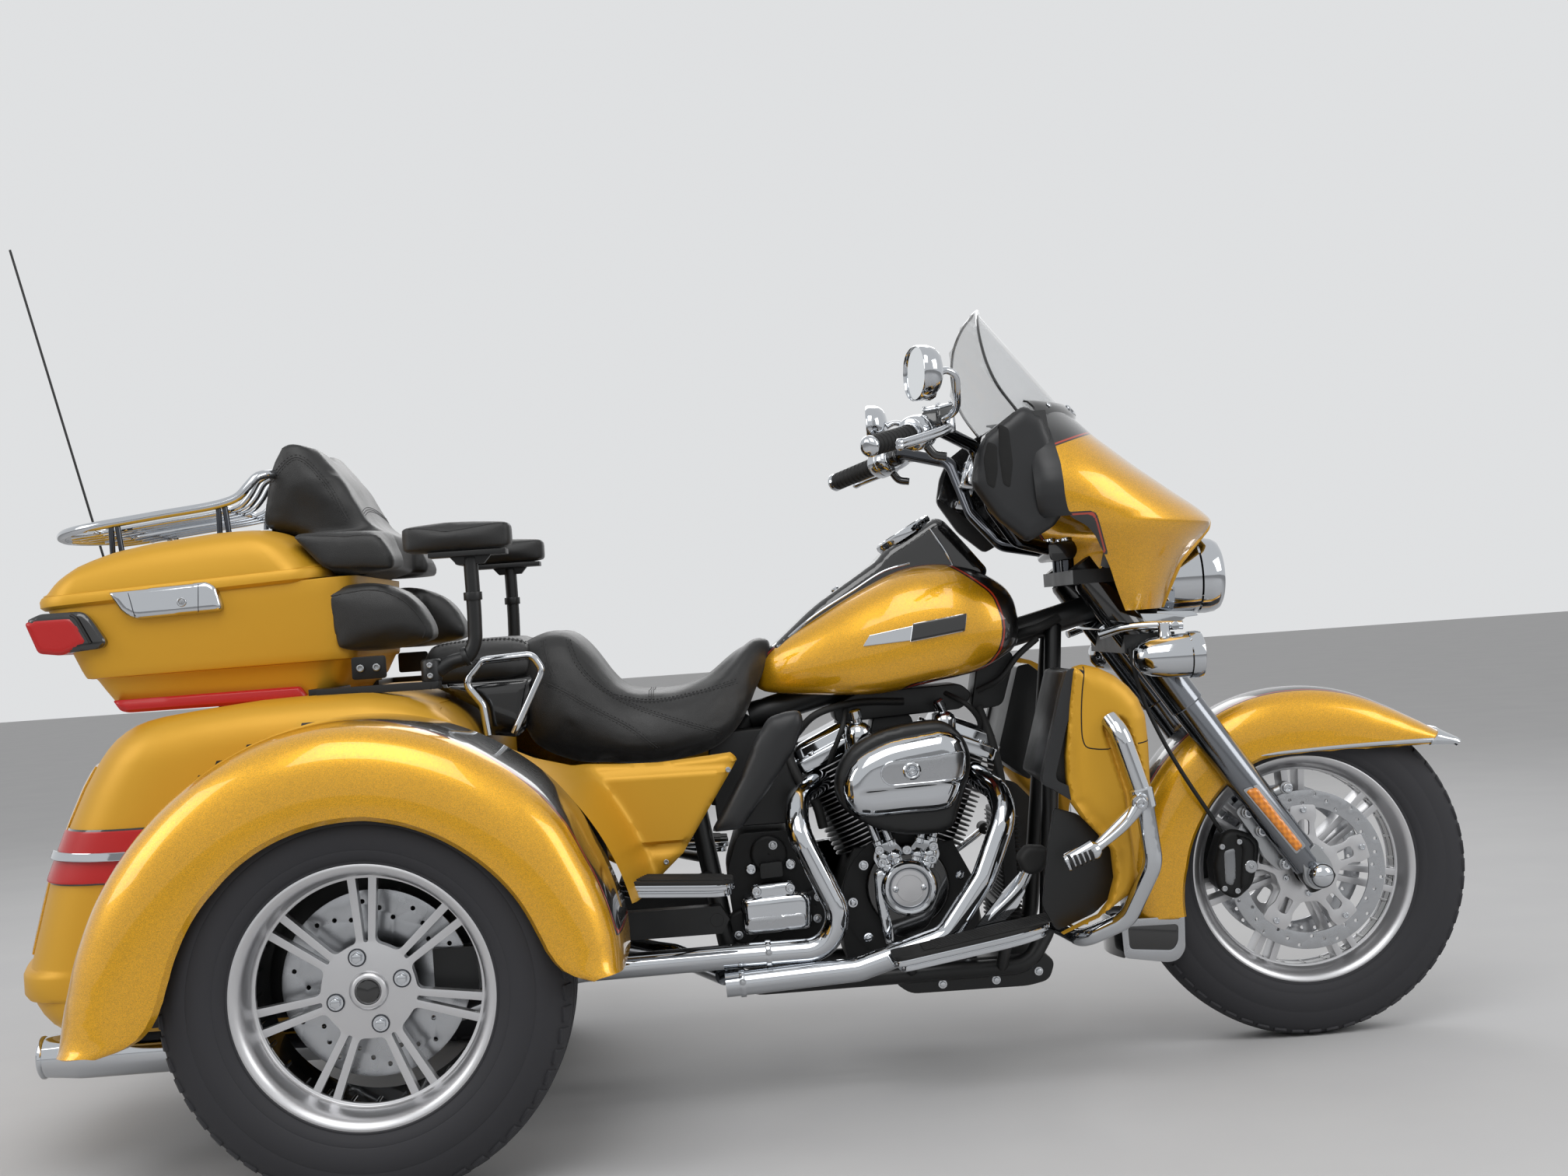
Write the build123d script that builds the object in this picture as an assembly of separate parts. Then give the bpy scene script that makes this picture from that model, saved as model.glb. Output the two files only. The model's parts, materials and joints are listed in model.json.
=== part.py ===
from build123d import *
import math
import os

# Motorized touring trike. Millimetres, X forward, Y left, Z up, floor at z = 0.
# Stations along the length count from the rear axle line; EXPORT_SHIFT centres the length.
# The front end is drawn about AXLE_X, and REACH carries it to the real wheelbase.

# Driving sizes
WHEELBASE = 1670.0
AXLE_X = 1670.0
REACH = WHEELBASE - AXLE_X
FRONT_HUB_Z = 319.0
FRONT_TYRE_R = 319.0
FRONT_TYRE_WIDTH = 130.0
FRONT_SEAT_R = 204.0
FRONT_FLANGE_R = 217.0
FRONT_RIM_HALF = 52.0
REAR_HUB_Z = 323.5
REAR_TYRE_R = 323.5
REAR_TYRE_WIDTH = 205.0
REAR_SEAT_R = 192.0
REAR_FLANGE_R = 207.5
REAR_RIM_HALF = 86.0
REAR_TRACK_HALF = 571.0
SEAT_GAP = 0.3
FLANGE_ROOT = 8.0
RUNNING_GAP = 0.05
FRONT_AXLE_R = 12.5
REAR_AXLE_R = 20.0

# Steering
RAKE_DEG = 26.0
TRAIL = 100.0
FORK_ANGLE_DEG = 33.5
FORK_CLEAR = 51.0
FORK_HALF = FRONT_TYRE_WIDTH / 2 + FORK_CLEAR
FORK_TUBE_R = 24.5
SLIDER_R = 29.0
STEM_R = 15.0
NECK_R = 32.0
NECK_LOW_Z = 806.0
NECK_HIGH_Z = 868.0

# Body shell
WALL = 5.0
TRUNK_HALF = 430.0
TRUNK_CROWN = 70.0
TRUNK_FLOOR_Z = 262.0
TRUNK_FRONT_X = 150.0
TRUNK_BULKHEAD_X = -130.0
DOOR_HALF = 325.0
DOOR_LOW_Z = 375.0
DOOR_HIGH_Z = 690.0
DOOR_GAP = 3.0
HINGE_X = -664.0
HINGE_Z = 366.0
FENDER_CENTRE = (-28.0, 300.0)
FENDER_R = 452.0
FENDER_LIP_R = 303.0
FENDER_OUT_Y = REAR_TRACK_HALF + 126

# Luggage box
BOX_SEAM_Z = 980.0
BOX_GAP = 1.5
BOX_FRONT_X = -30.0
BOX_REAR_X = -598.0
BOX_HALF = 290.0
LID_PIN_R = 4.0
HINGE_STATIONS = (-430.0, -160.0)
LID_PIN_Y = 300.0

# Armrests
ARM_X = 94.0
ARM_Y = 342.0
ARM_PIN_R = 8.0
ARM_PAD_HALF = 42.0

# Antenna
ANTENNA_BASE = (-612.0, 285.0, 968.0)
ANTENNA_TIP = (-786.0, 285.0, 1717.0)
ANTENNA_R = 2.5

EXPORT_SHIFT = -(WHEELBASE + FRONT_TYRE_R + ANTENNA_TIP[0] - ANTENNA_R) / 2

LOW = (Align.CENTER, Align.CENTER, Align.MIN)


def slab(outline, y_low, y_high):
    """Plate with a side-view outline of (x, z) corners, from y_low to y_high."""
    plane = Plane(origin=(0, y_high, 0), x_dir=(1, 0, 0), z_dir=(0, -1, 0))
    return extrude(plane * make_face(Polyline(*outline, close=True)), amount=y_high - y_low)


def block(x, y, z):
    """Box from three (low, high) pairs."""
    size = Box(x[1] - x[0], y[1] - y[0], z[1] - z[0])
    return Pos((x[0] + x[1]) / 2, (y[0] + y[1]) / 2, (z[0] + z[1]) / 2) * size


def rod(start, end, radius, end_radius=None):
    """Round bar, or a cone, from one point to another."""
    start, end = Vector(*start), Vector(*end)
    length = (end - start).length
    if end_radius is None:
        solid = Cylinder(radius, length, align=LOW)
    else:
        solid = Cone(radius, end_radius, length, align=LOW)
    return Plane(origin=start, z_dir=end - start) * solid


def bend_radii(points, bend):
    """Each bend's radius, as large as its runs allow up to bend."""
    corners = [Vector(*point) for point in points]
    radii = []
    for before, at, after in zip(corners, corners[1:], corners[2:]):
        turn = math.radians((at - before).get_angle(after - at))
        room = 0.45 * min((at - before).length, (after - at).length) / math.tan(turn / 2)
        radii.append(min(bend, room))
    return radii


def pipe(points, bend, radius):
    """Round tube along straight runs joined by bends."""
    path = FilletPolyline(*points, radius=bend_radii(points, bend))
    return sweep(Plane(origin=path @ 0, z_dir=path % 0) * Circle(radius), path=path)


def both(solid):
    """A right-hand piece with its left-hand twin."""
    return solid + mirror(solid, about=Plane.XZ)


def lathe(edges, x, z, start=0.0, arc=360.0, y=0.0):
    """Turned body about a cross-wise axis at (x, z); edges are in (radius, y)."""
    a = math.radians(start)
    plane = Plane(
        origin=(x, y, z),
        x_dir=(math.cos(a), 0, math.sin(a)),
        z_dir=(-math.sin(a), 0, math.cos(a)),
    )
    return revolve(plane * make_face(edges), axis=Axis((x, y, z), (0, -1, 0)), revolution_arc=arc)


def plan_loft(rows):
    """Skin through level sections; a row is (z, x_corner, x_crown, x_far, half_width)."""
    sections = []
    for z, x_corner, x_crown, x_far, half in rows:
        curve = ThreePointArc((x_corner, -half), (x_crown, 0), (x_corner, half))
        sides = Polyline((x_corner, half), (x_far, half), (x_far, -half), (x_corner, -half))
        sections.append(Pos(0, 0, z) * make_face([curve] + sides.edges()))
    return loft(sections, ruled=True)


def rounded_stack(rows):
    """Skin through level rounded rectangles; a row is (z, x_rear, x_front, half_width, corner)."""
    sections = [
        Pos((rear + front) / 2, 0, z) * RectangleRounded(front - rear, 2 * half, corner)
        for z, rear, front, half, corner in rows
    ]
    return loft(sections, ruled=True)


def steer_x(z):
    """Station of the steering axis at a height."""
    return AXLE_X + TRAIL - math.tan(math.radians(RAKE_DEG)) * z


def fork_x(z):
    """Station of a fork leg's centre line at a height."""
    return AXLE_X - math.tan(math.radians(FORK_ANGLE_DEG)) * (z - FRONT_HUB_Z)


# Wheels


def tyre(x, y, z, radius, width, seat_r, flange_r, rim_half):
    """Inflated tyre, its beads just off the rim seats and inside the flanges."""
    bead = seat_r + SEAT_GAP
    lip = flange_r + 1
    shoulder = radius - 0.16 * width
    half = width / 2
    foot = rim_half - FLANGE_ROOT - SEAT_GAP
    wide = (lip + shoulder) / 2
    edges = [
        Line((bead, -foot), (bead, foot)),
        Line((bead, foot), (lip, foot)),
        ThreePointArc((lip, foot), (wide, half), (shoulder, 0.86 * half)),
        ThreePointArc((shoulder, 0.86 * half), (radius, 0), (shoulder, -0.86 * half)),
        ThreePointArc((shoulder, -0.86 * half), (wide, -half), (lip, -foot)),
        Line((lip, -foot), (bead, -foot)),
    ]
    return lathe(edges, x, z, y=y)


def cast_wheel(x, y, z, seat_r, flange_r, half, hub, spokes, face):
    """Cast wheel: barrel with lips, hub and pairs of split spokes.

    hub is (radius, half_length, bore_radius); spokes is (pairs, spread_deg, root, tip, depth);
    face is the spokes' offset from the wheel's centre plane.
    """
    inner = seat_r - 12
    ring = Polyline(
        (flange_r, -half),
        (flange_r, -half + 5),
        (seat_r, -half + FLANGE_ROOT),
        (seat_r, half - FLANGE_ROOT),
        (flange_r, half - 5),
        (flange_r, half),
        (inner + 4, half - 4),
        (inner, half - 26),
        (inner, -half + 26),
        (inner + 4, -half + 4),
        close=True,
    )
    wheel = lathe([ring], x, z, y=y)
    hub_r, hub_half, bore_r = hub
    wheel += rod((x, y - hub_half, z), (x, y + hub_half, z), hub_r)
    pairs, spread, root, tip, depth = spokes
    low, high = sorted((y + face - depth / 2, y + face + depth / 2))
    bar = slab(
        [(x - root / 2, z + hub_r - 8), (x + root / 2, z + hub_r - 8),
         (x + tip / 2, z + inner + 3), (x - tip / 2, z + inner + 3)],
        low, high,
    )
    axle = Axis((x, y, z), (0, 1, 0))
    for index in range(pairs):
        for side in (-spread, spread):
            wheel += bar.rotate(axle, 360 / pairs * index + side)
    return wheel - rod((x, y - hub_half - 1, z), (x, y + hub_half + 1, z), bore_r)


def disc(x, y, z, radius, inner, thick):
    """Flat brake disc."""
    ring = rod((x, y - thick / 2, z), (x, y + thick / 2, z), radius)
    return ring - rod((x, y - thick, z), (x, y + thick, z), inner)


def front_tyre():
    return tyre(AXLE_X, 0, FRONT_HUB_Z, FRONT_TYRE_R, FRONT_TYRE_WIDTH, FRONT_SEAT_R,
                FRONT_FLANGE_R, FRONT_RIM_HALF)


def front_rim():
    return cast_wheel(
        AXLE_X, 0, FRONT_HUB_Z, FRONT_SEAT_R, FRONT_FLANGE_R, FRONT_RIM_HALF,
        (52, 60, FRONT_AXLE_R + RUNNING_GAP), (9, 7.5, 11, 15, 22), 0,
    )


def front_discs():
    """Drilled discs, each on a carrier of five arms."""
    x, z = AXLE_X, FRONT_HUB_Z
    plate = disc(x, -68, z, 150, 112, 5) + disc(x, -65.4, z, 70, 40, 10.2)
    arm = slab([(x - 9, z + 60), (x + 9, z + 60), (x + 13, z + 118), (x - 13, z + 118)], -70.5, -65.5)
    axle = Axis((x, 0, z), (0, 1, 0))
    for index in range(5):
        plate += arm.rotate(axle, 72 * index)
    holes = []
    for ring, radius in enumerate((122, 132, 142)):
        hole = rod((x, -72, z + radius), (x, -64, z + radius), 3.5)
        holes += [hole.rotate(axle, 24 * index + 8 * ring) for index in range(15)]
    return both(plate - holes)


def rear_tyre(side):
    return tyre(0, side * REAR_TRACK_HALF, REAR_HUB_Z, REAR_TYRE_R, REAR_TYRE_WIDTH, REAR_SEAT_R,
                REAR_FLANGE_R, REAR_RIM_HALF)


def rear_rim(side):
    return cast_wheel(
        0, side * REAR_TRACK_HALF, REAR_HUB_Z, REAR_SEAT_R, REAR_FLANGE_R, REAR_RIM_HALF,
        (66, 26, REAR_AXLE_R + RUNNING_GAP), (7, 8.5, 14, 19, 24), side * 2,
    )


def rear_disc(side):
    y = REAR_TRACK_HALF - 41
    return disc(0, side * y, REAR_HUB_Z, 150, 60, 8) + disc(0, side * (y + 9.6), REAR_HUB_Z, 68, 45, 11.5)


# Rear axle and chassis


def rear_axle():
    """Differential case, axle tubes, stub axles, arms and the brake callipers."""
    hub, track = REAR_HUB_Z, REAR_TRACK_HALF
    case = rod((0, -95, hub), (0, 95, hub), 82) + rod((0, 91 - track, hub), (0, track - 91, hub), 34)
    case += rod((0, -track - 23, hub), (0, track + 23, hub), REAR_AXLE_R)
    case += both(rod((0, 79 - track, hub), (0, 91 - track, hub), 62))
    arm = slab([(20, 300), (20, 350), (560, 350), (575, 325), (560, 300)], -172, -140)
    arm -= rod((552, -180, 325), (552, -130, 325), 12 + SEAT_GAP)
    calliper = block((95, 165), (23 - track, 60 - track), (300, 372))
    calliper -= block((90, 153), (35 - track, 47 - track), (290, 380))
    hanger = block((30, 110), (60 - track, 85 - track), (325, 345))
    return case + both(arm) + both(calliper + hanger)


SPINE_R = 26.0


def spine(radius):
    """Backbone tube, or the room it takes."""
    return rod((steer_x(850) - 5 + REACH, 0, 850), (640, 0, 680), radius)


def riser(radius):
    """Strut from the backbone down to the cross tube, or the room it takes."""
    return rod((640, 0, 680), (520, 0, 540), radius)


CRADLE_R = 16.0
TUNNEL_TOP_Z = 585.0
RAIL_Z = TUNNEL_TOP_Z - SEAT_GAP - CRADLE_R


def cradle(radius):
    """Right-hand cradle and rear rail tube, or the room it takes."""
    route = [(1230 + REACH, -20, 812), (1165 + REACH, -95, 250), (1120 + REACH, -120, 190), (580, -120, 190),
             (520, -120, RAIL_Z), (-108, -120, RAIL_Z)]
    return pipe(route, 60, radius)


def frame():
    """Backbone, neck, down tubes, cradle and rear rails of round tube."""
    low, high = NECK_LOW_Z, NECK_HIGH_Z
    neck = rod((steer_x(low), 0, low), (steer_x(high), 0, high), NECK_R)
    stem = rod((steer_x(low - 40), 0, low - 40), (steer_x(high + 40), 0, high + 40), STEM_R + RUNNING_GAP)
    cross = rod((520, -120, 540), (520, 120, 540), 15) + rod((1010, -120, 190), (1010, 120, 190), 15)
    pivot = rod((552, -172, 325), (552, 172, 325), 12)
    tubes = spine(SPINE_R) + both(cradle(CRADLE_R)) + cross + riser(20) + pivot
    return Pos(REACH, 0, 0) * neck + tubes - Pos(REACH, 0, 0) * stem


CRANK = (908.0, 330.0)
V_HALF_DEG = 24.0


def engine_block():
    """Crankcases as one heavy block of turned and flat faces."""
    x, z = CRANK
    case = rod((x, -95, z), (x, 95, z), 120)
    case += slab([(790, 215), (1030, 215), (1045, 330), (1000, 425), (815, 425), (775, 330)], -92, 92)
    return case + both(block((890, 940), (-120, -80), (206 + SEAT_GAP, 222)))


def timing_cover():
    x, z = CRANK
    cover = rod((x, -130, z + 22), (x, -95 - SEAT_GAP, z + 22), 78)
    return cover + rod((x, -150, z + 22), (x, -130, z + 22), 52)


def cylinders():
    """Two finned cylinders in a V, with their heads."""
    solids = []
    for lean in (-V_HALF_DEG, V_HALF_DEG):
        base = Plane(origin=(CRANK[0], 0, CRANK[1]), z_dir=(math.sin(math.radians(lean)), 0, math.cos(math.radians(lean))))
        barrel = base * Pos(0, 0, 112) * Cylinder(58, 178, align=LOW)
        for index in range(11):
            fin = Cylinder(80 if index < 7 else 86, 5, align=LOW)
            barrel += base * Pos(0, 0, 126 + index * 14.5) * fin
        solids.append(barrel)
    v = solids[0] + solids[1]
    x, z = CRANK
    return v - rod((x, -96, z), (x, 96, z), 120.3) - slab(
        [(789, 214), (1031, 214), (1046, 330), (1000.3, 425.3), (814.7, 425.3), (774, 330)], -93, 93)


def rocker_covers():
    covers = []
    for lean in (-V_HALF_DEG, V_HALF_DEG):
        base = Plane(origin=(CRANK[0], 0, CRANK[1]), x_dir=(math.cos(math.radians(lean)), 0, -math.sin(math.radians(lean))),
                     z_dir=(math.sin(math.radians(lean)), 0, math.cos(math.radians(lean))))
        cover = Box(150, 170, 52, align=LOW)
        cover = fillet(cover.edges().filter_by(Axis.Z), 22)
        covers.append(base * Pos(0, 0, 290.3) * cover)
    return covers[0] + covers[1]


def head_room(radius):
    """Room taken by the two cylinders and heads."""
    room = []
    for lean in (-V_HALF_DEG, V_HALF_DEG):
        a = math.radians(lean)
        base = Plane(origin=(CRANK[0], 0, CRANK[1]), z_dir=(math.sin(a), 0, math.cos(a)))
        room.append(base * Pos(0, 0, 112) * Cylinder(radius, 178, align=LOW))
    return room[0] + room[1]


def air_cleaner():
    """Oval cover with its backing plate and the inlet between the cylinders."""
    rim = Pos(905, -150, 575) * Rot(90, 0, 0) * extrude(Ellipse(126, 80), 40)
    bowl = Pos(905, -190, 580) * Rot(90, 0, 0) * extrude(Ellipse(120, 72), 45, taper=18)
    neck = rod((908, -152, 612), (908, -40, 612), 22)
    plenum = block((864, 952), (-45, 30), (592, 634)) - head_room(86 + SEAT_GAP)
    return rim + bowl + neck + plenum


def gearbox():
    case = slab([(590, 225), (760, 225), (768, 400), (700, 470), (600, 470), (575, 400)], -103, 103)
    cover = slab([(600, 285), (722, 285), (722, 362), (600, 362)], -160, -103)
    case += both(block((655, 700), (-122, -80), (206 + SEAT_GAP, 224)) + block((655, 700), (-103, -80), (206, 240)))
    return case + cover + slab([(625, 375), (700, 375), (700, 392), (625, 392)], -150, -103)


def primary_cover():
    """Long chain case on the left side."""
    case = rod((890, 103.3, 330), (890, 170, 330), 105) + rod((680, 103.3, 320), (680, 170, 320), 95)
    return case + slab([(680, 225), (890, 225), (890, 435), (680, 415)], 103.3, 170)


def exhaust_pipes():
    rear = pipe([(775, -50, 560), (712, -150, 530), (706, -205, 480), (775, -205, 320), (740, -200, 262), (560, -200, 262),
                 (300, -215, 262), (60, -322, 222), (0, -330, 205), (-61.7, -330, 205)],
                80, 22)
    front = pipe([(1035, -50, 560), (1080, -150, 520), (1085, -205, 480), (1035, -215, 370), (960, -215, 270), (800, -215, 225), (560, -215, 215)], 60, 22)
    left = pipe([(560, -180, 228), (470, 0, 240), (300, 230, 240), (60, 322, 222), (0, 330, 205), (-61.7, 330, 205)], 60, 20)
    return (rear + front - head_room(86 + SEAT_GAP)) + left


def mufflers():
    body = rod((-62, -330, 205), (-120, -330, 205), 24, 40) + rod((-120, -330, 205), (-540, -330, 205), 40)
    body += rod((-540, -330, 205), (-600, -330, 205), 40, 34)
    return both(body - rod((-604, -330, 205), (-540, -330, 205), 29))


# Rear body


TRUNK_ROWS = [  # z, corner x, half width
    (262, -553, TRUNK_HALF - 8),
    (316, -596, TRUNK_HALF),
    (356, -596, TRUNK_HALF),
    (364, -587, TRUNK_HALF),
    (511, -545, TRUNK_HALF),
    (650, -480, TRUNK_HALF - 6),
    (725, -432, TRUNK_HALF - 18),
    (800, -380, TRUNK_HALF - 34),
]


def trunk_skin(inset):
    """Outer skin of the trunk, or its inside when inset by the wall."""
    rows = [
        (z, x + inset, x - TRUNK_CROWN + inset, TRUNK_FRONT_X - inset, half - inset)
        for z, x, half in TRUNK_ROWS
    ]
    deck = [(-700, 200), (-700, 700 - inset), (-440, 752 - inset), (-250, 772 - inset), (0, 781 - inset),
            (90, 772 - inset), (TRUNK_FRONT_X, 735 - inset), (TRUNK_FRONT_X, 200)]
    return plan_loft(rows) & slab(deck, -TRUNK_HALF, TRUNK_HALF)


def door_block(grow):
    return block((-700, -460), (-DOOR_HALF - grow, DOOR_HALF + grow), (DOOR_LOW_Z - grow, DOOR_HIGH_Z + grow))


def trunk_body():
    """Hollow trunk between the wheels, open at its doorway and above the axle."""
    hull = trunk_skin(0)
    room = trunk_skin(WALL) & block((-700, TRUNK_BULKHEAD_X - WALL), (-TRUNK_HALF, TRUNK_HALF),
                                      (TRUNK_FLOOR_Z + 2 * WALL, 790))
    tunnel = block((TRUNK_BULKHEAD_X + WALL, 400), (-TRUNK_HALF - 1, TRUNK_HALF + 1), (200, TUNNEL_TOP_Z))
    hull = hull - room - tunnel - door_block(0)
    for y in (-90, 90):
        for side in (-1, 1):
            hull += block((HINGE_X - 7, HINGE_X + 16), (y + side * 20 - 5, y + side * 20 + 5), (HINGE_Z - 8, HINGE_Z + 8))
        hull += rod((HINGE_X, y - 24, HINGE_Z), (HINGE_X, y + 24, HINGE_Z), 3.5)
    return hull


def trunk_door():
    """Curved rear door with its hinge knuckles."""
    door = (trunk_skin(0) & door_block(-DOOR_GAP)) - trunk_skin(WALL)
    for y in (-90, 90):
        door += rod((HINGE_X, y - 14, HINGE_Z), (HINGE_X, y + 14, HINGE_Z), 7)
        door += block((HINGE_X - 6, HINGE_X + 6), (y - 14, y + 14), (HINGE_Z + 2, HINGE_Z + 26))
        door += block((HINGE_X - 6, HINGE_X + 20), (y - 14, y + 14), (HINGE_Z + 14, HINGE_Z + 26))
        door -= rod((HINGE_X, y - 15, HINGE_Z), (HINGE_X, y + 15, HINGE_Z), 3.5 + RUNNING_GAP)
    return door


def rear_fender(side):
    """Round fender over a rear wheel, joined to the trunk's side."""
    w = WALL
    out = FENDER_OUT_Y
    edges = [
        ThreePointArc((FENDER_LIP_R, -out + 7), (360, -out), (415, -out + 17)),
        ThreePointArc((415, -out + 17), (441, -out + 55), (449, -out + 125)),
        Line((449, -out + 125), (FENDER_R, -TRUNK_HALF - SEAT_GAP)),
        Line((FENDER_R, -TRUNK_HALF - SEAT_GAP), (FENDER_R - w, -TRUNK_HALF - SEAT_GAP)),
        Line((FENDER_R - w, -TRUNK_HALF - SEAT_GAP), (449 - w, -out + 125)),
        ThreePointArc((449 - w, -out + 125), (441 - w, -out + 58), (412, -out + 21)),
        ThreePointArc((412, -out + 21), (360, -out + w), (FENDER_LIP_R, -out + 7 + w)),
        Line((FENDER_LIP_R, -out + 7 + w), (FENDER_LIP_R, -out + 7)),
    ]
    right = lathe(edges, FENDER_CENTRE[0], FENDER_CENTRE[1], start=6, arc=178)
    return right if side < 0 else mirror(right, about=Plane.XZ)


def trunk_lamps():
    outer = plan_loft([
        (z, x - 6, x - TRUNK_CROWN - 6, TRUNK_FRONT_X, half + 6) for z, x, half in TRUNK_ROWS
    ])
    zone = block((-640, -450), (-TRUNK_HALF - 15, 85 - TRUNK_HALF), (508, 598))
    return both(((outer & zone) - trunk_skin(-SEAT_GAP)))


def side_covers():
    panel = slab([(150.3, 700), (225, 676), (319, 629), (468, 621), (598, 626), (606, 614), (500, 460),
                  (445, 408), (385, 372), (150.3, 372)], -262, -215)
    return both(panel)


def heat_deflectors():
    return both(slab([(606.4, 614.6), (630, 660), (700, 690), (728, 680), (712, 626), (606, 490), (560, 490)], -262, -250))


# Seats and luggage


def rider_seat():
    outline = [(230, 690), (317, 640), (467, 630), (580, 640), (640, 705), (654, 790), (656, 826), (617, 800),
               (567, 757), (518, 738), (424, 741), (397, 757), (359, 816), (319, 861), (287, 866), (262, 852)]
    return slab(outline, -185, 185) - spine(SPINE_R + 3) - riser(23)


def passenger_seat():
    return slab([(62, 775.2), (62, 852), (200, 858), (255, 850), (226, 700), (150.3, 700), (150.3, 735.3), (90, 772.4)],
                -170, 170)


BASE_ROWS = [  # z, rear x, front x, half width, corner
    (795, -478, -60, BOX_HALF - 50, 40),
    (836, -505, -52, BOX_HALF - 28, 45),
    (843, -516, -50, BOX_HALF - 20, 50),
    (886, -542, -42, BOX_HALF - 9, 55),
    (BOX_SEAM_Z - BOX_GAP / 2, BOX_REAR_X, BOX_FRONT_X, BOX_HALF, 60),
]
LID_ROWS = [  # z, rear x, front x, half width, corner
    (BOX_SEAM_Z + BOX_GAP / 2, BOX_REAR_X, BOX_FRONT_X, BOX_HALF, 60),
    (1002, -574, -98, BOX_HALF - 2, 62),
    (1034, -518, -130, BOX_HALF - 10, 64),
    (1056, -452, -156, BOX_HALF - 28, 66),
    (1078, -330, -176, BOX_HALF - 65, 60),
]


def box_skin(rows, inset, closed_end, open_end):
    """Skin of the box or its lid, or its inside when inset, which runs out through the open end."""
    through = 1 if inset > 0 else 0
    moved = []
    for index, (z, rear, front, half, corner) in enumerate(rows):
        if index == closed_end:
            z += inset if closed_end == 0 else -inset
        elif index == open_end:
            z += through if closed_end == 0 else -through
        moved.append((z, rear + inset, front - inset, half - inset, corner))
    return rounded_stack(moved)


def base_skin(inset):
    return box_skin(BASE_ROWS, inset, 0, len(BASE_ROWS) - 1)


def lid_skin(inset):
    return box_skin(LID_ROWS, inset, len(LID_ROWS) - 1, 0)


def luggage_base():
    """Open-topped box on four feet, with the arms and upright pins that carry the armrests."""
    box = base_skin(0) - base_skin(WALL)
    feet = both(block((-330, -290), (-120, -90), (740, 798))) + both(block((-140, -100), (-120, -90), (740, 798)))
    box += feet - trunk_skin(-SEAT_GAP)
    arm = block((-100, ARM_X), (-ARM_Y - 16, -ARM_Y + 16), (783, 796))
    arm += rod((ARM_X, -ARM_Y, 783), (ARM_X, -ARM_Y, 796), 16)
    arm += block((-120, -80), (-ARM_Y - 16, -150), (783, 796)) + rod((ARM_X, -ARM_Y, 783), (ARM_X, -ARM_Y, 828), ARM_PIN_R)
    return box + both(arm) + lid_hinges()


def lid_hinges():
    """Fixed hinge pins on the left wall of the luggage base."""
    pins = []
    for x in HINGE_STATIONS:
        pin = rod((x - 34, LID_PIN_Y, BOX_SEAM_Z), (x + 34, LID_PIN_Y, BOX_SEAM_Z), LID_PIN_R)
        for low, high in ((x - 34, x - 18), (x + 18, x + 34)):
            pin += block((low, high), (BOX_HALF - 4, LID_PIN_Y + 8), (BOX_SEAM_Z - 30, BOX_SEAM_Z - 2))
            pin += rod((low, LID_PIN_Y, BOX_SEAM_Z), (high, LID_PIN_Y, BOX_SEAM_Z), 8)
        pins.append(pin)
    return pins[0] + pins[1]


def luggage_lid():
    lid = lid_skin(0) - lid_skin(WALL)
    for x in HINGE_STATIONS:
        knuckle = rod((x - 16, LID_PIN_Y, BOX_SEAM_Z), (x + 16, LID_PIN_Y, BOX_SEAM_Z), 8)
        arm = block((x - 16, x + 16), (BOX_HALF - 4, LID_PIN_Y), (BOX_SEAM_Z + 2, BOX_SEAM_Z + 8))
        lid += knuckle + arm
        lid -= rod((x - 17, LID_PIN_Y, BOX_SEAM_Z), (x + 17, LID_PIN_Y, BOX_SEAM_Z), LID_PIN_R + RUNNING_GAP)
    return lid


def lid_latch():
    return slab([(-455, 952), (-268, 962), (-280, 998), (-466, 990)], -303, -BOX_HALF - SEAT_GAP)


def luggage_rack():
    """Tube rack on the lid."""
    rail = pipe(
        [(-600, 0, 1110), (-600, -150, 1110), (-560, -195, 1108), (-280, -204, 1132),
         (-236, -200, 1182), (-222, -150, 1182), (-222, 0, 1182)],
        40, 7,
    )
    feet = rod((-470, -180, 1040), (-470, -198, 1115), 7) + rod((-280, -180, 1050), (-280, -203, 1130), 7)
    bars = rod((-500, -196, 1113), (-500, 196, 1113), 6)
    for x, z in ((-400, 1121), (-300, 1130)):
        bars += rod((x, -198, z), (x, 198, z), 6)
    return both(rail) + both(feet - lid_skin(-SEAT_GAP)) + bars


def antenna():
    """Thin whip on a short foot at the box's side."""
    foot = rod((-580, 258, 966), ANTENNA_BASE, 9) - base_skin(-SEAT_GAP)
    return foot + rod(ANTENNA_BASE, ANTENNA_TIP, ANTENNA_R)


def box_lamps():
    corner = block((-606, -478), (-302, -225), (893, 955)) - base_skin(-SEAT_GAP)
    strip = block((-470, -150), (-238, -222), (779, 795 - SEAT_GAP))
    return both(corner + strip)


def backrest_top():
    """Upper bolster with its wrap-round side pads, on the lid."""
    bolster = slab([(-232, 1100), (-205, 1200), (-172, 1258), (-134, 1246), (-70, 1165), (-28, 1075), (20, 1060), (20, 990), (-60, 990)],
                   -165, 165)
    side = slab([(-150, 1068), (18, 1064), (44, 1018), (44, 990), (-90, 990), (-112, 1018)], -292, 292)
    side -= block((10, 60), (-200, 200), (980, 1080))
    return bolster + side - lid_skin(-2 * SEAT_GAP)


def backrest_base():
    """Lower pads on the luggage base's front."""
    pad = slab([(-120, 970), (1, 976), (66, 948), (98, 888), (96, 862), (-80, 853)], -292, 292)
    return pad - block((0, 120), (-200, 200), (840, 990)) - base_skin(-2 * SEAT_GAP)


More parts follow.
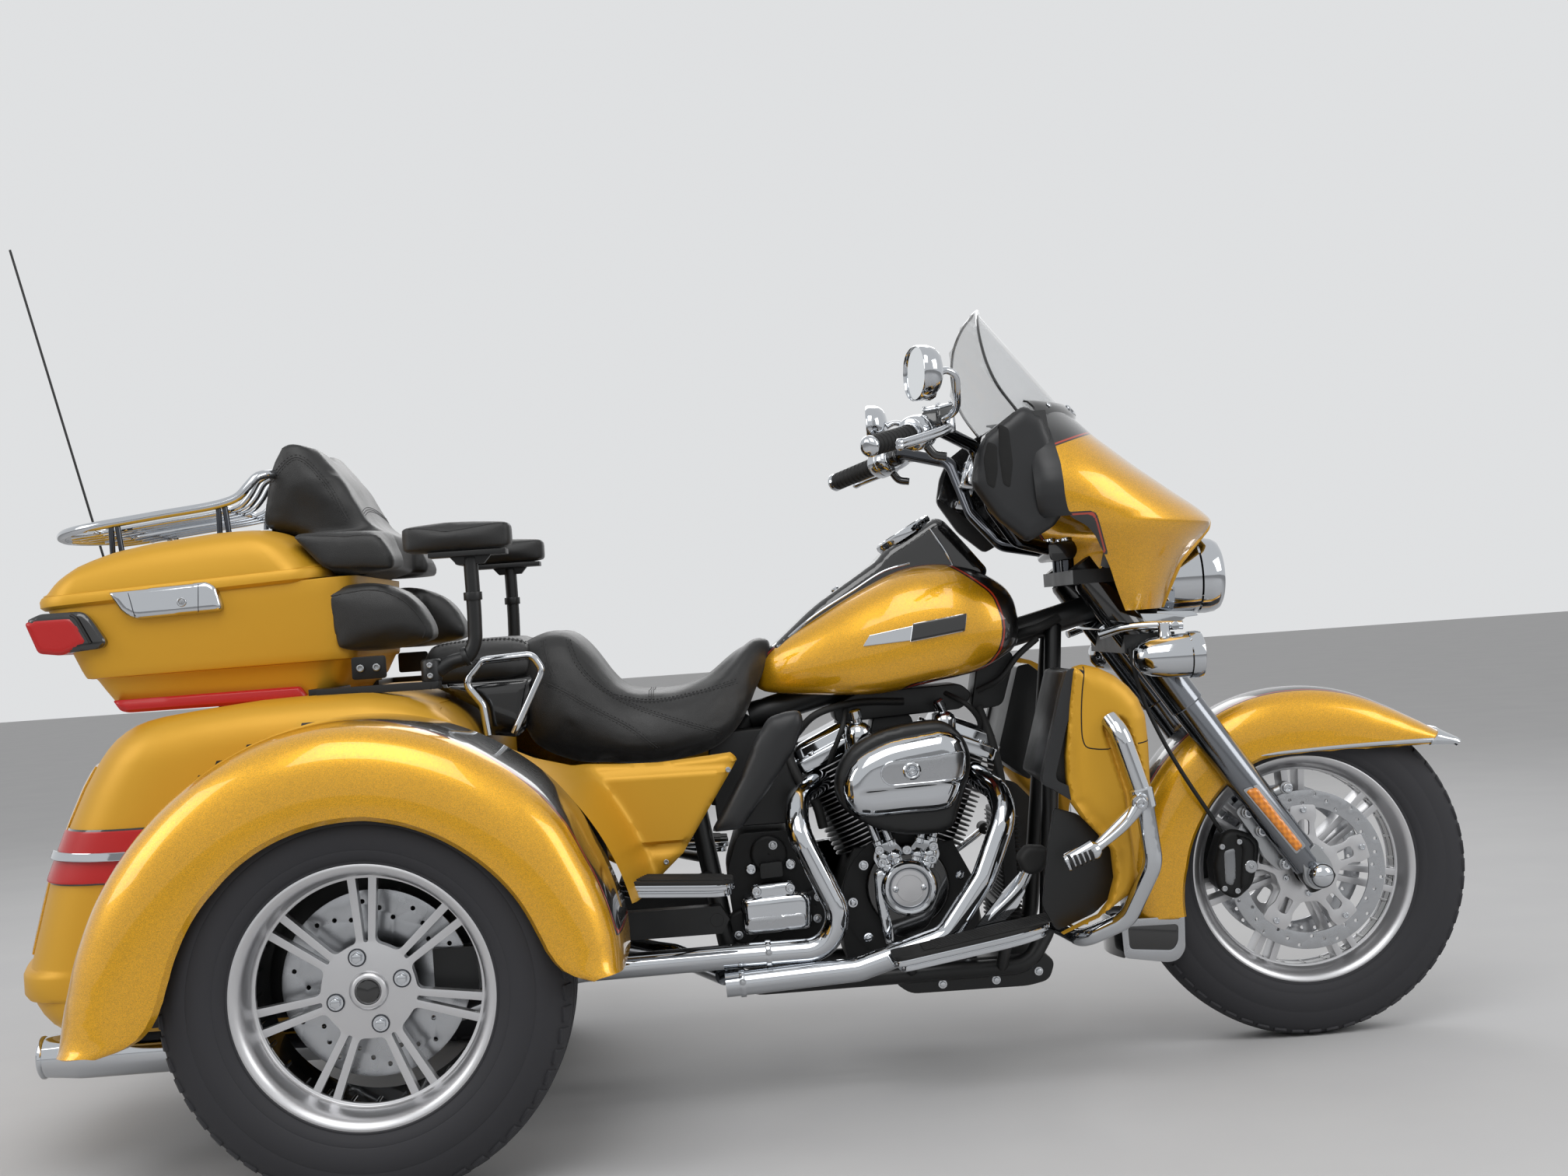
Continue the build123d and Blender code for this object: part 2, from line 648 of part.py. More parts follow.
def armrest_post(side):
    socket = rod((ARM_X, -ARM_Y, 796 + SEAT_GAP), (ARM_X, -ARM_Y, 832), 17)
    post = pipe([(ARM_X + 6, -ARM_Y, 814), (173, -ARM_Y, 830), (173, -ARM_Y, 1008)], 34, 12)
    plate = slab([(100, 1006), (240, 1006), (240, 1014.7), (100, 1014.7)], -ARM_Y - 25, -ARM_Y + 25)
    arm = socket + post + plate - rod((ARM_X, -ARM_Y, 790), (ARM_X, -ARM_Y, 828.5), ARM_PIN_R + RUNNING_GAP)
    return arm if side < 0 else mirror(arm, about=Plane.XZ)


def armrest_pad(side):
    pad = block((ARM_X, 254), (-ARM_Y - ARM_PAD_HALF, -ARM_Y + ARM_PAD_HALF), (1015, 1066))
    pad += rod((ARM_X, -ARM_Y, 1015), (ARM_X, -ARM_Y, 1066), ARM_PAD_HALF)
    return pad if side < 0 else mirror(pad, about=Plane.XZ)


def grab_rails():
    y = -215 + 7 + SEAT_GAP
    rail = pipe([(168, y, 690), (162, y, 745), (132, y, 786), (165, y, 824), (255, y, 828), (272, y, 800), (214, y, 690)],
                20, 7)
    return both(rail)


# Tank and front end


TANK_ROWS = [  # x, bottom, top, half width
    (662, 727, 775, 52),
    (750, 718, 842, 100),
    (880, 712, 912, 142),
    (990, 726, 942, 165),
    (1085, 745, 925, 160),
    (1150, 780, 880, 118),
]


def tank_loft(rows):
    sections = []
    for x, low, high, half in rows:
        rise = high - low
        foot, waist, shoulder = 0.72 * half, low + 0.38 * rise, low + 0.84 * rise
        edges = [
            Line((-foot, low), (foot, low)),
            ThreePointArc((foot, low), (half, waist), (0.66 * half, shoulder)),
            ThreePointArc((0.66 * half, shoulder), (0, high), (-0.66 * half, shoulder)),
            ThreePointArc((-0.66 * half, shoulder), (-half, waist), (-foot, low)),
        ]
        plane = Plane(origin=(x, 0, 0), x_dir=(0, 1, 0), z_dir=(1, 0, 0))
        sections.append(plane * make_face(edges))
    return loft(sections)


def fuel_tank():
    return tank_loft(TANK_ROWS) - spine(SPINE_R + 1)


def tank_console():
    outline = [(688, 760), (692, 812), (775, 881), (899, 958), (985, 1018), (1020, 1028), (1058, 985), (1112, 925),
               (1150, 860), (1120, 800), (760, 740)]
    return slab(outline, -60, 60) - tank_loft([(x, z0, z1 + SEAT_GAP, h + SEAT_GAP) for x, z0, z1, h in TANK_ROWS])


LOWER_OUTLINE = [(1196, 745), (1242, 737), (1285, 707), (1318, 660), (1320, 518), (1262, 505), (1226, 443), (1250, 389),
                 (1239, 334), (1142, 285), (1160, 400), (1174, 525), (1171, 581)]
LOWER_OUT_Y = 382.0
LOWER_IN_Y = 318.0
LOWER_WALL = 5.0


def lower_form():
    """Side outline of the right-hand lower fairing, rounded in plan at its front outer corner."""
    plan = [
        Line((1130, -LOWER_OUT_Y), (1262, -LOWER_OUT_Y)),
        ThreePointArc((1262, -LOWER_OUT_Y), (1307, -LOWER_OUT_Y + 20), (1325, -LOWER_IN_Y)),
        Line((1325, -LOWER_IN_Y), (1130, -LOWER_IN_Y)),
        Line((1130, -LOWER_IN_Y), (1130, -LOWER_OUT_Y)),
    ]
    rounding = extrude(Pos(0, 0, 270) * make_face(plan), amount=500)
    return slab(LOWER_OUTLINE, -LOWER_OUT_Y, -LOWER_IN_Y) & rounding


def lower_fairings():
    """Shields in front of the rider's legs, with a side wall and a rounded front wall."""
    form = lower_form()
    return both(form - Pos(-LOWER_WALL, LOWER_WALL, 0) * form - pipe(GUARD_ROUTE, 60, GUARD_R + SEAT_GAP))


def lower_inners():
    """Leaning panels behind the shields, each with a vent window."""
    outline = [(1213, 738), (1182, 738), (1126, 555), (1144, 538), (1192, 500), (1216, 500), (1190, 556), (1236, 716)]
    panel = slab(outline, -LOWER_OUT_Y + LOWER_WALL + SEAT_GAP, -150)
    window = slab([(1000, 590), (1400, 590), (1400, 690), (1000, 690)], -300, -200)
    return both(panel - window - pipe(GUARD_ROUTE, 60, GUARD_R + SEAT_GAP))


GUARD_R = 16.0
GUARD_ROUTE = [(1167, -95, 266), (1192, -300, 262), (1262, -350, 300), (1304, -398, 400), (1292, -402, 520),
               (1262, -402, 625), (1250, -378.3, 650)]


def engine_guard():
    """Guard bars at the frame's front with a foot peg on each."""
    bar = pipe(GUARD_ROUTE, 60, GUARD_R) - Pos(-REACH, 0, 0) * cradle(CRADLE_R + SEAT_GAP)
    peg = rod((1292, -402, 510), (1190, -430, 430), 9) + rod((1150, -430, 418), (1195, -430, 440), 14)
    return both(bar + peg)


def floorboards():
    """Rider's boards and the passenger's shorter ones, each with its stay."""
    board = slab([(850, 262), (1125, 305), (1140, 288), (1132, 276), (858, 238)], -345, -242)
    stay = rod((1070, -246, 282), (1070, -120, 190), 10)
    rear_board = slab([(387, 436), (585, 422), (590, 402), (540, 372), (386, 384)], -TRUNK_HALF + 55, -275)
    rear_stay = rod((470, -280, 400), (546, -120, 400), 10)
    return both(board + rear_board + (stay + rear_stay - cradle(CRADLE_R + SEAT_GAP)))


def foot_controls():
    arm = pipe([(1100, -120, 195), (1100, -225, 330), (1110, -255, 400)], 20, 7) - cradle(CRADLE_R + SEAT_GAP)
    pedal = block((1095, 1150), (-285, -235), (398, 412))
    return both(arm) + pedal + rod((1110, 235, 404), (1110, 285, 404), 11)


def fork():
    """Two legs, two yokes, the stem that turns in the neck, and the front axle."""
    top, low, y = 925, 690, FORK_HALF
    leg = rod((fork_x(low), -y, low), (fork_x(top), -y, top), FORK_TUBE_R)
    leg += rod((fork_x(FRONT_HUB_Z - 20), -y, FRONT_HUB_Z - 20), (fork_x(low), -y, low), SLIDER_R)
    leg += rod((AXLE_X, -y - 47, FRONT_HUB_Z), (AXLE_X, -y - 24, FRONT_HUB_Z), 22)
    axle = rod((AXLE_X, -y - 34, FRONT_HUB_Z), (AXLE_X, y + 34, FRONT_HUB_Z), FRONT_AXLE_R)
    yokes = []
    for z, depth in ((770, 34), (900, 26)):
        rear, front = fork_x(z) - 36, steer_x(z) + 36
        low_z, high_z = z - depth / 2, z + depth / 2
        yokes.append(slab([(rear, low_z), (front, low_z), (front, high_z), (rear, high_z)], -y - 34, y + 34))
    stem = rod((steer_x(760), 0, 760), (steer_x(905), 0, 905), STEM_R)
    return both(leg) + axle + yokes[0] + yokes[1] + stem


def callipers():
    """Front brake callipers, each straddling its disc and held by a lug on the fork leg."""
    body = slab([(1490, 300), (1525, 278), (1562, 306), (1578, 380), (1530, 410), (1500, 384)], -98, -52)
    body -= rod((AXLE_X, -72, FRONT_HUB_Z), (AXLE_X, -64, FRONT_HUB_Z), 153)
    lug = slab([(1540, 395), (1575, 380), (1600, 410), (1580, 440)], -FORK_HALF + 6, -92)
    top = 690
    leg = rod((fork_x(FRONT_HUB_Z), -FORK_HALF, FRONT_HUB_Z), (fork_x(top), -FORK_HALF, top), SLIDER_R + SEAT_GAP)
    return both(body + lug - leg)


def front_fender():
    """Full skirted fender, an arched section turned about the front axle."""
    half, w = FRONT_TYRE_WIDTH / 2 + 17, 3.0
    edges = [
        Line((226, -half), (296, -half)),
        ThreePointArc((296, -half), (334, -half + 24), (342, 0)),
        ThreePointArc((342, 0), (334, half - 24), (296, half)),
        Line((296, half), (226, half)),
        Line((226, half), (226, half - w)),
        Line((226, half - w), (296, half - w)),
        ThreePointArc((296, half - w), (331, half - 26), (342 - w, 0)),
        ThreePointArc((342 - w, 0), (331, -half + 26), (296, -half + w)),
        Line((296, -half + w), (226, -half + w)),
        Line((226, -half + w), (226, -half)),
    ]
    ring = lathe(edges, AXLE_X, FRONT_HUB_Z, start=34, arc=158)
    outline = [(1300, 245), (1430, 249), (1441, 344), (1474, 429), (1428, 548), (1592, 545), (1940, 552),
               (1990, 600), (1900, 700), (1450, 700), (1300, 500)]
    bridge = slab([(1490, 560), (1540, 560), (1528, 600), (1478, 600)], -FORK_HALF + SLIDER_R + SEAT_GAP, -half + 1)
    return (ring & slab(outline, -100, 100)) + both(bridge)


FAIRING_ROWS = [  # z, rear x, nose x, half width
    (832, 1336, 1440, 178),
    (914, 1302, 1482, 226),
    (967, 1276, 1532, 264),
    (990, 1258, 1543, 283),
    (1020, 1222, 1515, 297),
    (1071, 1210, 1442, 302),
    (1133, 1204, 1360, 276),
    (1180, 1198, 1311, 232),
    (1229, 1192, 1261, 152),
]
LAMP_Z = 888.0
NACELLE_R = 112.0


def fairing_loft(inset, back):
    sections = []
    for z, rear, nose, half in FAIRING_ROWS:
        a, b, c = (rear - back, -half + inset), (nose - inset, 0), (rear - back, half - inset)
        sections.append(Pos(0, 0, z) * make_face([ThreePointArc(a, b, c), Line(c, a)]))
    return loft(sections, ruled=True)


def fairing_outer():
    """Outer fairing shell with the opening for the lamp, which runs out at its lower edge."""
    shell = fairing_loft(0, 0) - fairing_loft(WALL, 6)
    opening = rod((1385, 0, LAMP_Z), (1600, 0, LAMP_Z), NACELLE_R)
    opening += block((1385, 1600), (-NACELLE_R + 14, NACELLE_R - 14), (800, LAMP_Z))
    return shell - opening


def fairing_inner():
    """Dash side of the fairing, with its wing vents and gauge shelf."""
    outline = [(1088, 1163), (1141, 1200), (1198, 1200), (1212, 1071), (1220, 1020), (1150, 1010), (1060, 1082)]
    dash = slab(outline, -268, 268)
    recess = slab([(1000, 960), (1150, 960), (1150, 1060), (1172, 1180), (1100, 1240), (1000, 1240)], -225, 225)
    return dash - recess - fairing_loft(-SEAT_GAP, SEAT_GAP)


def windshield():
    depth, half, thick = 130, 235, 5
    rise = Vector(-170, 0, 220)
    base = [
        ThreePointArc((1290 - depth, -half), (1290, 0), (1290 - depth, half)),
        Line((1290 - depth, half), (1290 - depth - thick, half - 2)),
        ThreePointArc((1290 - depth - thick, half - 2), (1290 - thick, 0), (1290 - depth - thick, -half + 2)),
        Line((1290 - depth - thick, -half + 2), (1290 - depth, -half)),
    ]
    sheet = extrude(Pos(0, 0, 1200) * make_face(base), amount=rise.length, dir=rise.normalized())
    plane = Plane(origin=(1000, 0, 0), x_dir=(0, 1, 0), z_dir=(1, 0, 0))
    front = make_face(Polyline((-240, 1195), (240, 1195), (225, 1290), (170, 1370), (90, 1408), (0, 1418),
                               (-90, 1408), (-170, 1370), (-225, 1290), close=True))
    return (sheet & extrude(plane * front, amount=400)) - fairing_loft(-SEAT_GAP, SEAT_GAP)


def headlight():
    lamp = rod((1440, 0, 888), (1540, 0, 888), 74) + rod((1540, 0, 888), (1562, 0, 888), 74, 60)
    return lamp + rod((steer_x(900) + 36 + SEAT_GAP, 0, 899), (1441, 0, 899), 10)


def aux_lamps():
    """Bar across the fork legs with a lamp hung at each end."""
    y = FORK_HALF
    bar = block((1424, 1446), (-y - 89, y + 89), (792, 806))
    strap = block((1365, 1430), (-y - 14, -y + 14), (794, 804))
    strap -= rod((fork_x(690), -y, 690), (fork_x(925), -y, 925), FORK_TUBE_R + SEAT_GAP)
    lamp = rod((1372, -y - 80, 744), (1462, -y - 80, 744), 42) + rod((1434, -y - 80, 780), (1434, -y - 80, 800), 9)
    return bar + both(lamp + strap)


def handlebar():
    grip_out, grip_in = (868, -412, 1143), (1000, -262, 1182)
    half = pipe([grip_out, grip_in, (1082, -170, 1150), (1112, -130, 1040), (1160, -90, 975), (1240, -40, 955), (1250, 0, 955)], 40, 12.5)
    risers = both(rod((1262, -40, 955), (1262, -40, 913 + SEAT_GAP), 13))
    return both(half) + risers


def grips():
    start, end = Vector(868, -412, 1143), Vector(1000, -262, 1182)
    run = (end - start).normalized()
    tip, mid = start - run * 6, start + run * 120
    grip = rod(tuple(tip), tuple(mid), 17.5) - rod(tuple(start - run * 0.3), tuple(end), 12.5 + SEAT_GAP)
    return both(grip)


def housing_room():
    """Room taken by the right-hand switch housing."""
    start, end = Vector(868, -412, 1143), Vector(1000, -262, 1182)
    run = (end - start).normalized()
    return rod(tuple(start + run * 123.7), tuple(start + run * 172.3), 27 + SEAT_GAP)


def switch_housings():
    start, end = Vector(868, -412, 1143), Vector(1000, -262, 1182)
    run = (end - start).normalized()
    low, high = start + run * 124, start + run * 172
    housing = rod(tuple(low), tuple(high), 27) - rod(tuple(start), tuple(end), 12.5 + SEAT_GAP)
    lever = pipe([tuple(high + Vector(20, -6, 0) - run * 12), tuple(start + run * 120 + Vector(62, -40, -4)), tuple(start + Vector(40, -30, -6))], 30, 6)
    return both(housing + lever)


def mirrors():
    head = Pos(966, -440, 1258) * Rot(0, 0, 8) * extrude(Plane.YZ * Ellipse(74, 46), 22, both=True)
    arm = pipe([(972, -428, 1250), (1020, -420, 1252), (1026, -360, 1200), (975, -305, 1180)], 18, 6)
    return both(head + (arm - housing_room()))


HOSE_BEND = 160.0


def hose_route():
    """Corners of the front brake hose, from the lower yoke to the right calliper."""
    y = FORK_HALF + 38.3
    return [(1344, -y, 762), (1352, -y - 4, 690), (1388, -150, 600), (1432, -132, 520), (1478, -106, 450), (1508, -84, 405)]


def brake_hose():
    return pipe(hose_route(), HOSE_BEND, 4)


def engine_covers():
    return rocker_covers() + timing_cover() + primary_cover()


def exhaust():
    return exhaust_pipes() + mufflers()


def rear_fenders():
    return rear_fender(-1) + rear_fender(1)


def rear_lamps():
    return trunk_lamps() + box_lamps()


NODES = {
    "frame": frame,
    "rear_axle": rear_axle,
    "engine_block": engine_block,
    "engine_covers": engine_covers,
    "cylinders": cylinders,
    "air_cleaner": air_cleaner,
    "gearbox": gearbox,
    "exhaust": exhaust,
    "trunk_body": trunk_body,
    "trunk_door": trunk_door,
    "rear_fenders": rear_fenders,
    "rear_lamps": rear_lamps,
    "side_covers": side_covers,
    "heat_deflectors": heat_deflectors,
    "rider_seat": rider_seat,
    "passenger_seat": passenger_seat,
    "grab_rails": grab_rails,
    "luggage_base": luggage_base,
    "luggage_lid": luggage_lid,
    "lid_latch": lid_latch,
    "luggage_rack": luggage_rack,
    "antenna": antenna,
    "backrest_top": backrest_top,
    "backrest_base": backrest_base,
    "armrest_post_right": lambda: armrest_post(-1),
    "armrest_post_left": lambda: armrest_post(1),
    "armrest_pad_right": lambda: armrest_pad(-1),
    "armrest_pad_left": lambda: armrest_pad(1),
    "fuel_tank": fuel_tank,
    "tank_console": tank_console,
    "lower_fairings": lower_fairings,
    "lower_inners": lower_inners,
    "engine_guard": engine_guard,
    "footboards": floorboards,
    "foot_controls": foot_controls,
    "fork": fork,
    "callipers": callipers,
    "front_fender": front_fender,
    "fairing_outer": fairing_outer,
    "fairing_inner": fairing_inner,
    "windshield": windshield,
    "headlight": headlight,
    "aux_lamps": aux_lamps,
    "handlebar": handlebar,
    "grips": grips,
    "hand_controls": switch_housings,
    "mirrors": mirrors,
    "brake_hose": brake_hose,
    "front_tyre": front_tyre,
    "front_rim": front_rim,
    "front_discs": front_discs,
    "rear_tyre_right": lambda: rear_tyre(-1),
    "rear_tyre_left": lambda: rear_tyre(1),
    "rear_rim_right": lambda: rear_rim(-1) + rear_disc(-1),
    "rear_rim_left": lambda: rear_rim(1) + rear_disc(1),
}

CARRIED = {
    "lower_fairings", "lower_inners", "engine_guard", "fork", "callipers", "front_fender", "fairing_outer", "fairing_inner",
    "windshield", "headlight", "aux_lamps", "handlebar", "grips", "hand_controls", "mirrors", "brake_hose", "front_tyre",
    "front_rim", "front_discs",
}

print("brake hose bend radii in mm:", [round(radius) for radius in bend_radii(hose_route(), HOSE_BEND)])
os.makedirs("parts", exist_ok=True)
for name, make in NODES.items():
    shift = EXPORT_SHIFT + (REACH if name in CARRIED else 0)
    export_step(Pos(shift, 0, 0) * make(), f"parts/{name}.step")
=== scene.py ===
"""Motorized touring trike: the looks of a full-dress three-wheeler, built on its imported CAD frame.

Forms are written in model millimetres: x forward from the rear axle line, y to the left, z up from the floor.
"""

from __future__ import annotations

import json
import logging
import math
from dataclasses import dataclass
from enum import Enum
from typing import Callable, Iterable, Sequence

import bmesh
import bpy
import numpy as np
from mathutils import Euler, Matrix, Vector
from mathutils.bvhtree import BVHTree
from mathutils.geometry import delaunay_2d_cdt

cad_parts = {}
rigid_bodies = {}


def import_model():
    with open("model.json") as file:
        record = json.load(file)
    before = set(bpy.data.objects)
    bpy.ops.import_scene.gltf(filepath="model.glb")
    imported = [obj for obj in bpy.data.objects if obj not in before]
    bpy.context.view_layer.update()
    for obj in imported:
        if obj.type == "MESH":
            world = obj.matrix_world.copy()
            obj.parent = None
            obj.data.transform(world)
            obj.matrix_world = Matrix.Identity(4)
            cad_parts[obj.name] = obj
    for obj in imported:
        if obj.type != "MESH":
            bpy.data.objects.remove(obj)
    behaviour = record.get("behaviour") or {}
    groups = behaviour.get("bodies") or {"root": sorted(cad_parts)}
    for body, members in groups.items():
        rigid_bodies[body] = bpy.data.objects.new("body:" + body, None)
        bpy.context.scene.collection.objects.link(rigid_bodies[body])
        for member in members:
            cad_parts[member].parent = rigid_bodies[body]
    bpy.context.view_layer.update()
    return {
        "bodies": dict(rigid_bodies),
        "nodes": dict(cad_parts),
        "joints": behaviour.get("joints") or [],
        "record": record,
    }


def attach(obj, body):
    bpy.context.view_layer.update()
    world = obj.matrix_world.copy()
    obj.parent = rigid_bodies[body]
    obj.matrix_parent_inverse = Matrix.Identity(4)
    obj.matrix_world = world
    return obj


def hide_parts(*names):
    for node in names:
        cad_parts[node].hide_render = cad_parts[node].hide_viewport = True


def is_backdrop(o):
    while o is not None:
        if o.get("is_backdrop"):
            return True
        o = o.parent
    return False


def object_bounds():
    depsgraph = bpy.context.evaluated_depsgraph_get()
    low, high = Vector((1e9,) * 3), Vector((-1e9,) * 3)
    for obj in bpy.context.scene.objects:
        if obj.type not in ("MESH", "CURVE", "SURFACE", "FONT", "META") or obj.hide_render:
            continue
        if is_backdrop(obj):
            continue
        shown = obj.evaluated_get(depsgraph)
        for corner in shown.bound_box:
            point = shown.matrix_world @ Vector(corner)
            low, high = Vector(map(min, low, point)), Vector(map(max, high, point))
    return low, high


LOG = logging.getLogger("trike")
SHIFT = -600.25
MERGE = 2e-6
RIGHT = -1
LEFT = 1
SIDES = ((RIGHT, "right"), (LEFT, "left"))
AHEAD, LEFTWARD, RIGHTWARD, UPWARD = (1, 0, 0), (0, 1, 0), (0, -1, 0), (0, 0, 1)
Points = Sequence[Sequence[float]]


def to_row(points: np.ndarray) -> np.ndarray:
    """Model millimetres in the row frame's metres.

    Args:
        points: points in model millimetres.

    Returns:
        The same points in the row frame.
    """
    moved = np.array(points, float)
    moved[..., 0] += SHIFT
    return moved / 1000.0


def smooth(points: Points, count: int, closed: bool = False) -> np.ndarray:
    """Evenly spaced points on a curve through the given ones.

    Args:
        points: two or more points of any dimension.
        count: how many points to return.
        closed: whether the curve returns to its first point, which isn't repeated.

    Returns:
        An array of count rows.
    """
    p = np.asarray(points, float)
    ends = (p[-1:], p[:2]) if closed else (2 * p[:1] - p[1:2], 2 * p[-1:] - p[-2:-1])
    run = np.vstack([ends[0], p, ends[1]])
    t = np.concatenate([[0.0], np.cumsum(np.linalg.norm(np.diff(run, axis=0), axis=1) ** 0.5 + 1e-9)])
    fine = []
    for i in range(1, len(run) - 2):
        (p0, p1, p2, p3), (t0, t1, t2, t3) = run[i - 1:i + 3], t[i - 1:i + 3]
        s = np.linspace(t1, t2, 16, endpoint=False)[:, None]
        a1 = ((t1 - s) * p0 + (s - t0) * p1) / (t1 - t0)
        a2 = ((t2 - s) * p1 + (s - t1) * p2) / (t2 - t1)
        a3 = ((t3 - s) * p2 + (s - t2) * p3) / (t3 - t2)
        b1 = ((t2 - s) * a1 + (s - t0) * a2) / (t2 - t0)
        b2 = ((t3 - s) * a2 + (s - t1) * a3) / (t3 - t1)
        fine.append(((t2 - s) * b1 + (s - t1) * b2) / (t2 - t1))
    fine.append(run[-2:-1])
    return even(np.vstack(fine), count, closed)


def even(points: Points, count: int, closed: bool = False) -> np.ndarray:
    """Points spaced evenly along a polyline.

    Args:
        points: the corners of the polyline.
        count: how many points are wanted.
        closed: whether it ends where it starts.

    Returns:
        The points, one a row.
    """
    p = np.asarray(points, float)
    along = np.concatenate([[0.0], np.cumsum(np.linalg.norm(np.diff(p, axis=0), axis=1))])
    at = np.linspace(0, along[-1], count + 1)[:-1] if closed else np.linspace(0, along[-1], count)
    return np.stack([np.interp(at, along, p[:, k]) for k in range(p.shape[1])], axis=1)


def rounded(corners: Points, cut: float | Sequence[float], steps: int = 5) -> np.ndarray:
    """A closed outline with its corners rounded.

    Args:
        corners: the polygon's corners.
        cut: how far from each corner the rounding starts, one number or one for each corner.
        steps: points for each rounded corner.

    Returns:
        The outline's points.
    """
    p = np.asarray(corners, float)
    cuts = np.broadcast_to(np.asarray(cut, float), (len(p),))
    out = []
    for i, here in enumerate(p):
        back, ahead = p[i - 1] - here, p[(i + 1) % len(p)] - here
        a = here + back * min(0.49, cuts[i] / np.linalg.norm(back))
        b = here + ahead * min(0.49, cuts[i] / np.linalg.norm(ahead))
        if cuts[i] <= 0:
            out.append(here[None])
            continue
        s = np.linspace(0, 1, steps)[:, None]
        out.append((1 - s) ** 2 * a + 2 * s * (1 - s) * here + s ** 2 * b)
    return np.vstack(out)


def arc_points(centre: Sequence[float], radius: float, first: float = 0.0, last: float = 360.0,
               count: int = 48) -> list[tuple[float, float]]:
    """Points of a circle in a plane, evenly from one angle to another; a whole circle leaves out the last.

    Args:
        centre: the circle's centre.
        radius: its radius.
        first: the first angle in degrees.
        last: the last angle in degrees.
        count: how many points are wanted.

    Returns:
        The points.
    """
    angles = np.radians(np.linspace(first, last, count, endpoint=abs(last - first) < 360))
    return [(centre[0] + radius * math.cos(t), centre[1] + radius * math.sin(t)) for t in angles]


def span(side: int, near: float, far: float) -> tuple[float, float]:
    """Two distances from the middle, on one side, in rising order."""
    return min(side * near, side * far), max(side * near, side * far)


def side_view(outline: Points, y: float) -> np.ndarray:
    """(x, z) points at a distance y from the middle."""
    p = np.asarray(outline, float)
    return np.stack([p[:, 0], np.full(len(p), y), p[:, 1]], axis=1)


def frame_about(axis: Sequence[float]) -> tuple[np.ndarray, np.ndarray, np.ndarray]:
    """Two directions across an axis, and the axis itself, each of length one.

    Args:
        axis: the axis, of any length.

    Returns:
        The two directions across, and then the axis.
    """
    w = np.asarray(axis, float) / np.linalg.norm(axis)
    helper = np.array([0.0, 0.0, 1.0]) if abs(w[2]) < 0.9 else np.array([1.0, 0.0, 0.0])
    u = np.cross(helper, w)
    u /= np.linalg.norm(u)
    return u, np.cross(w, u), w


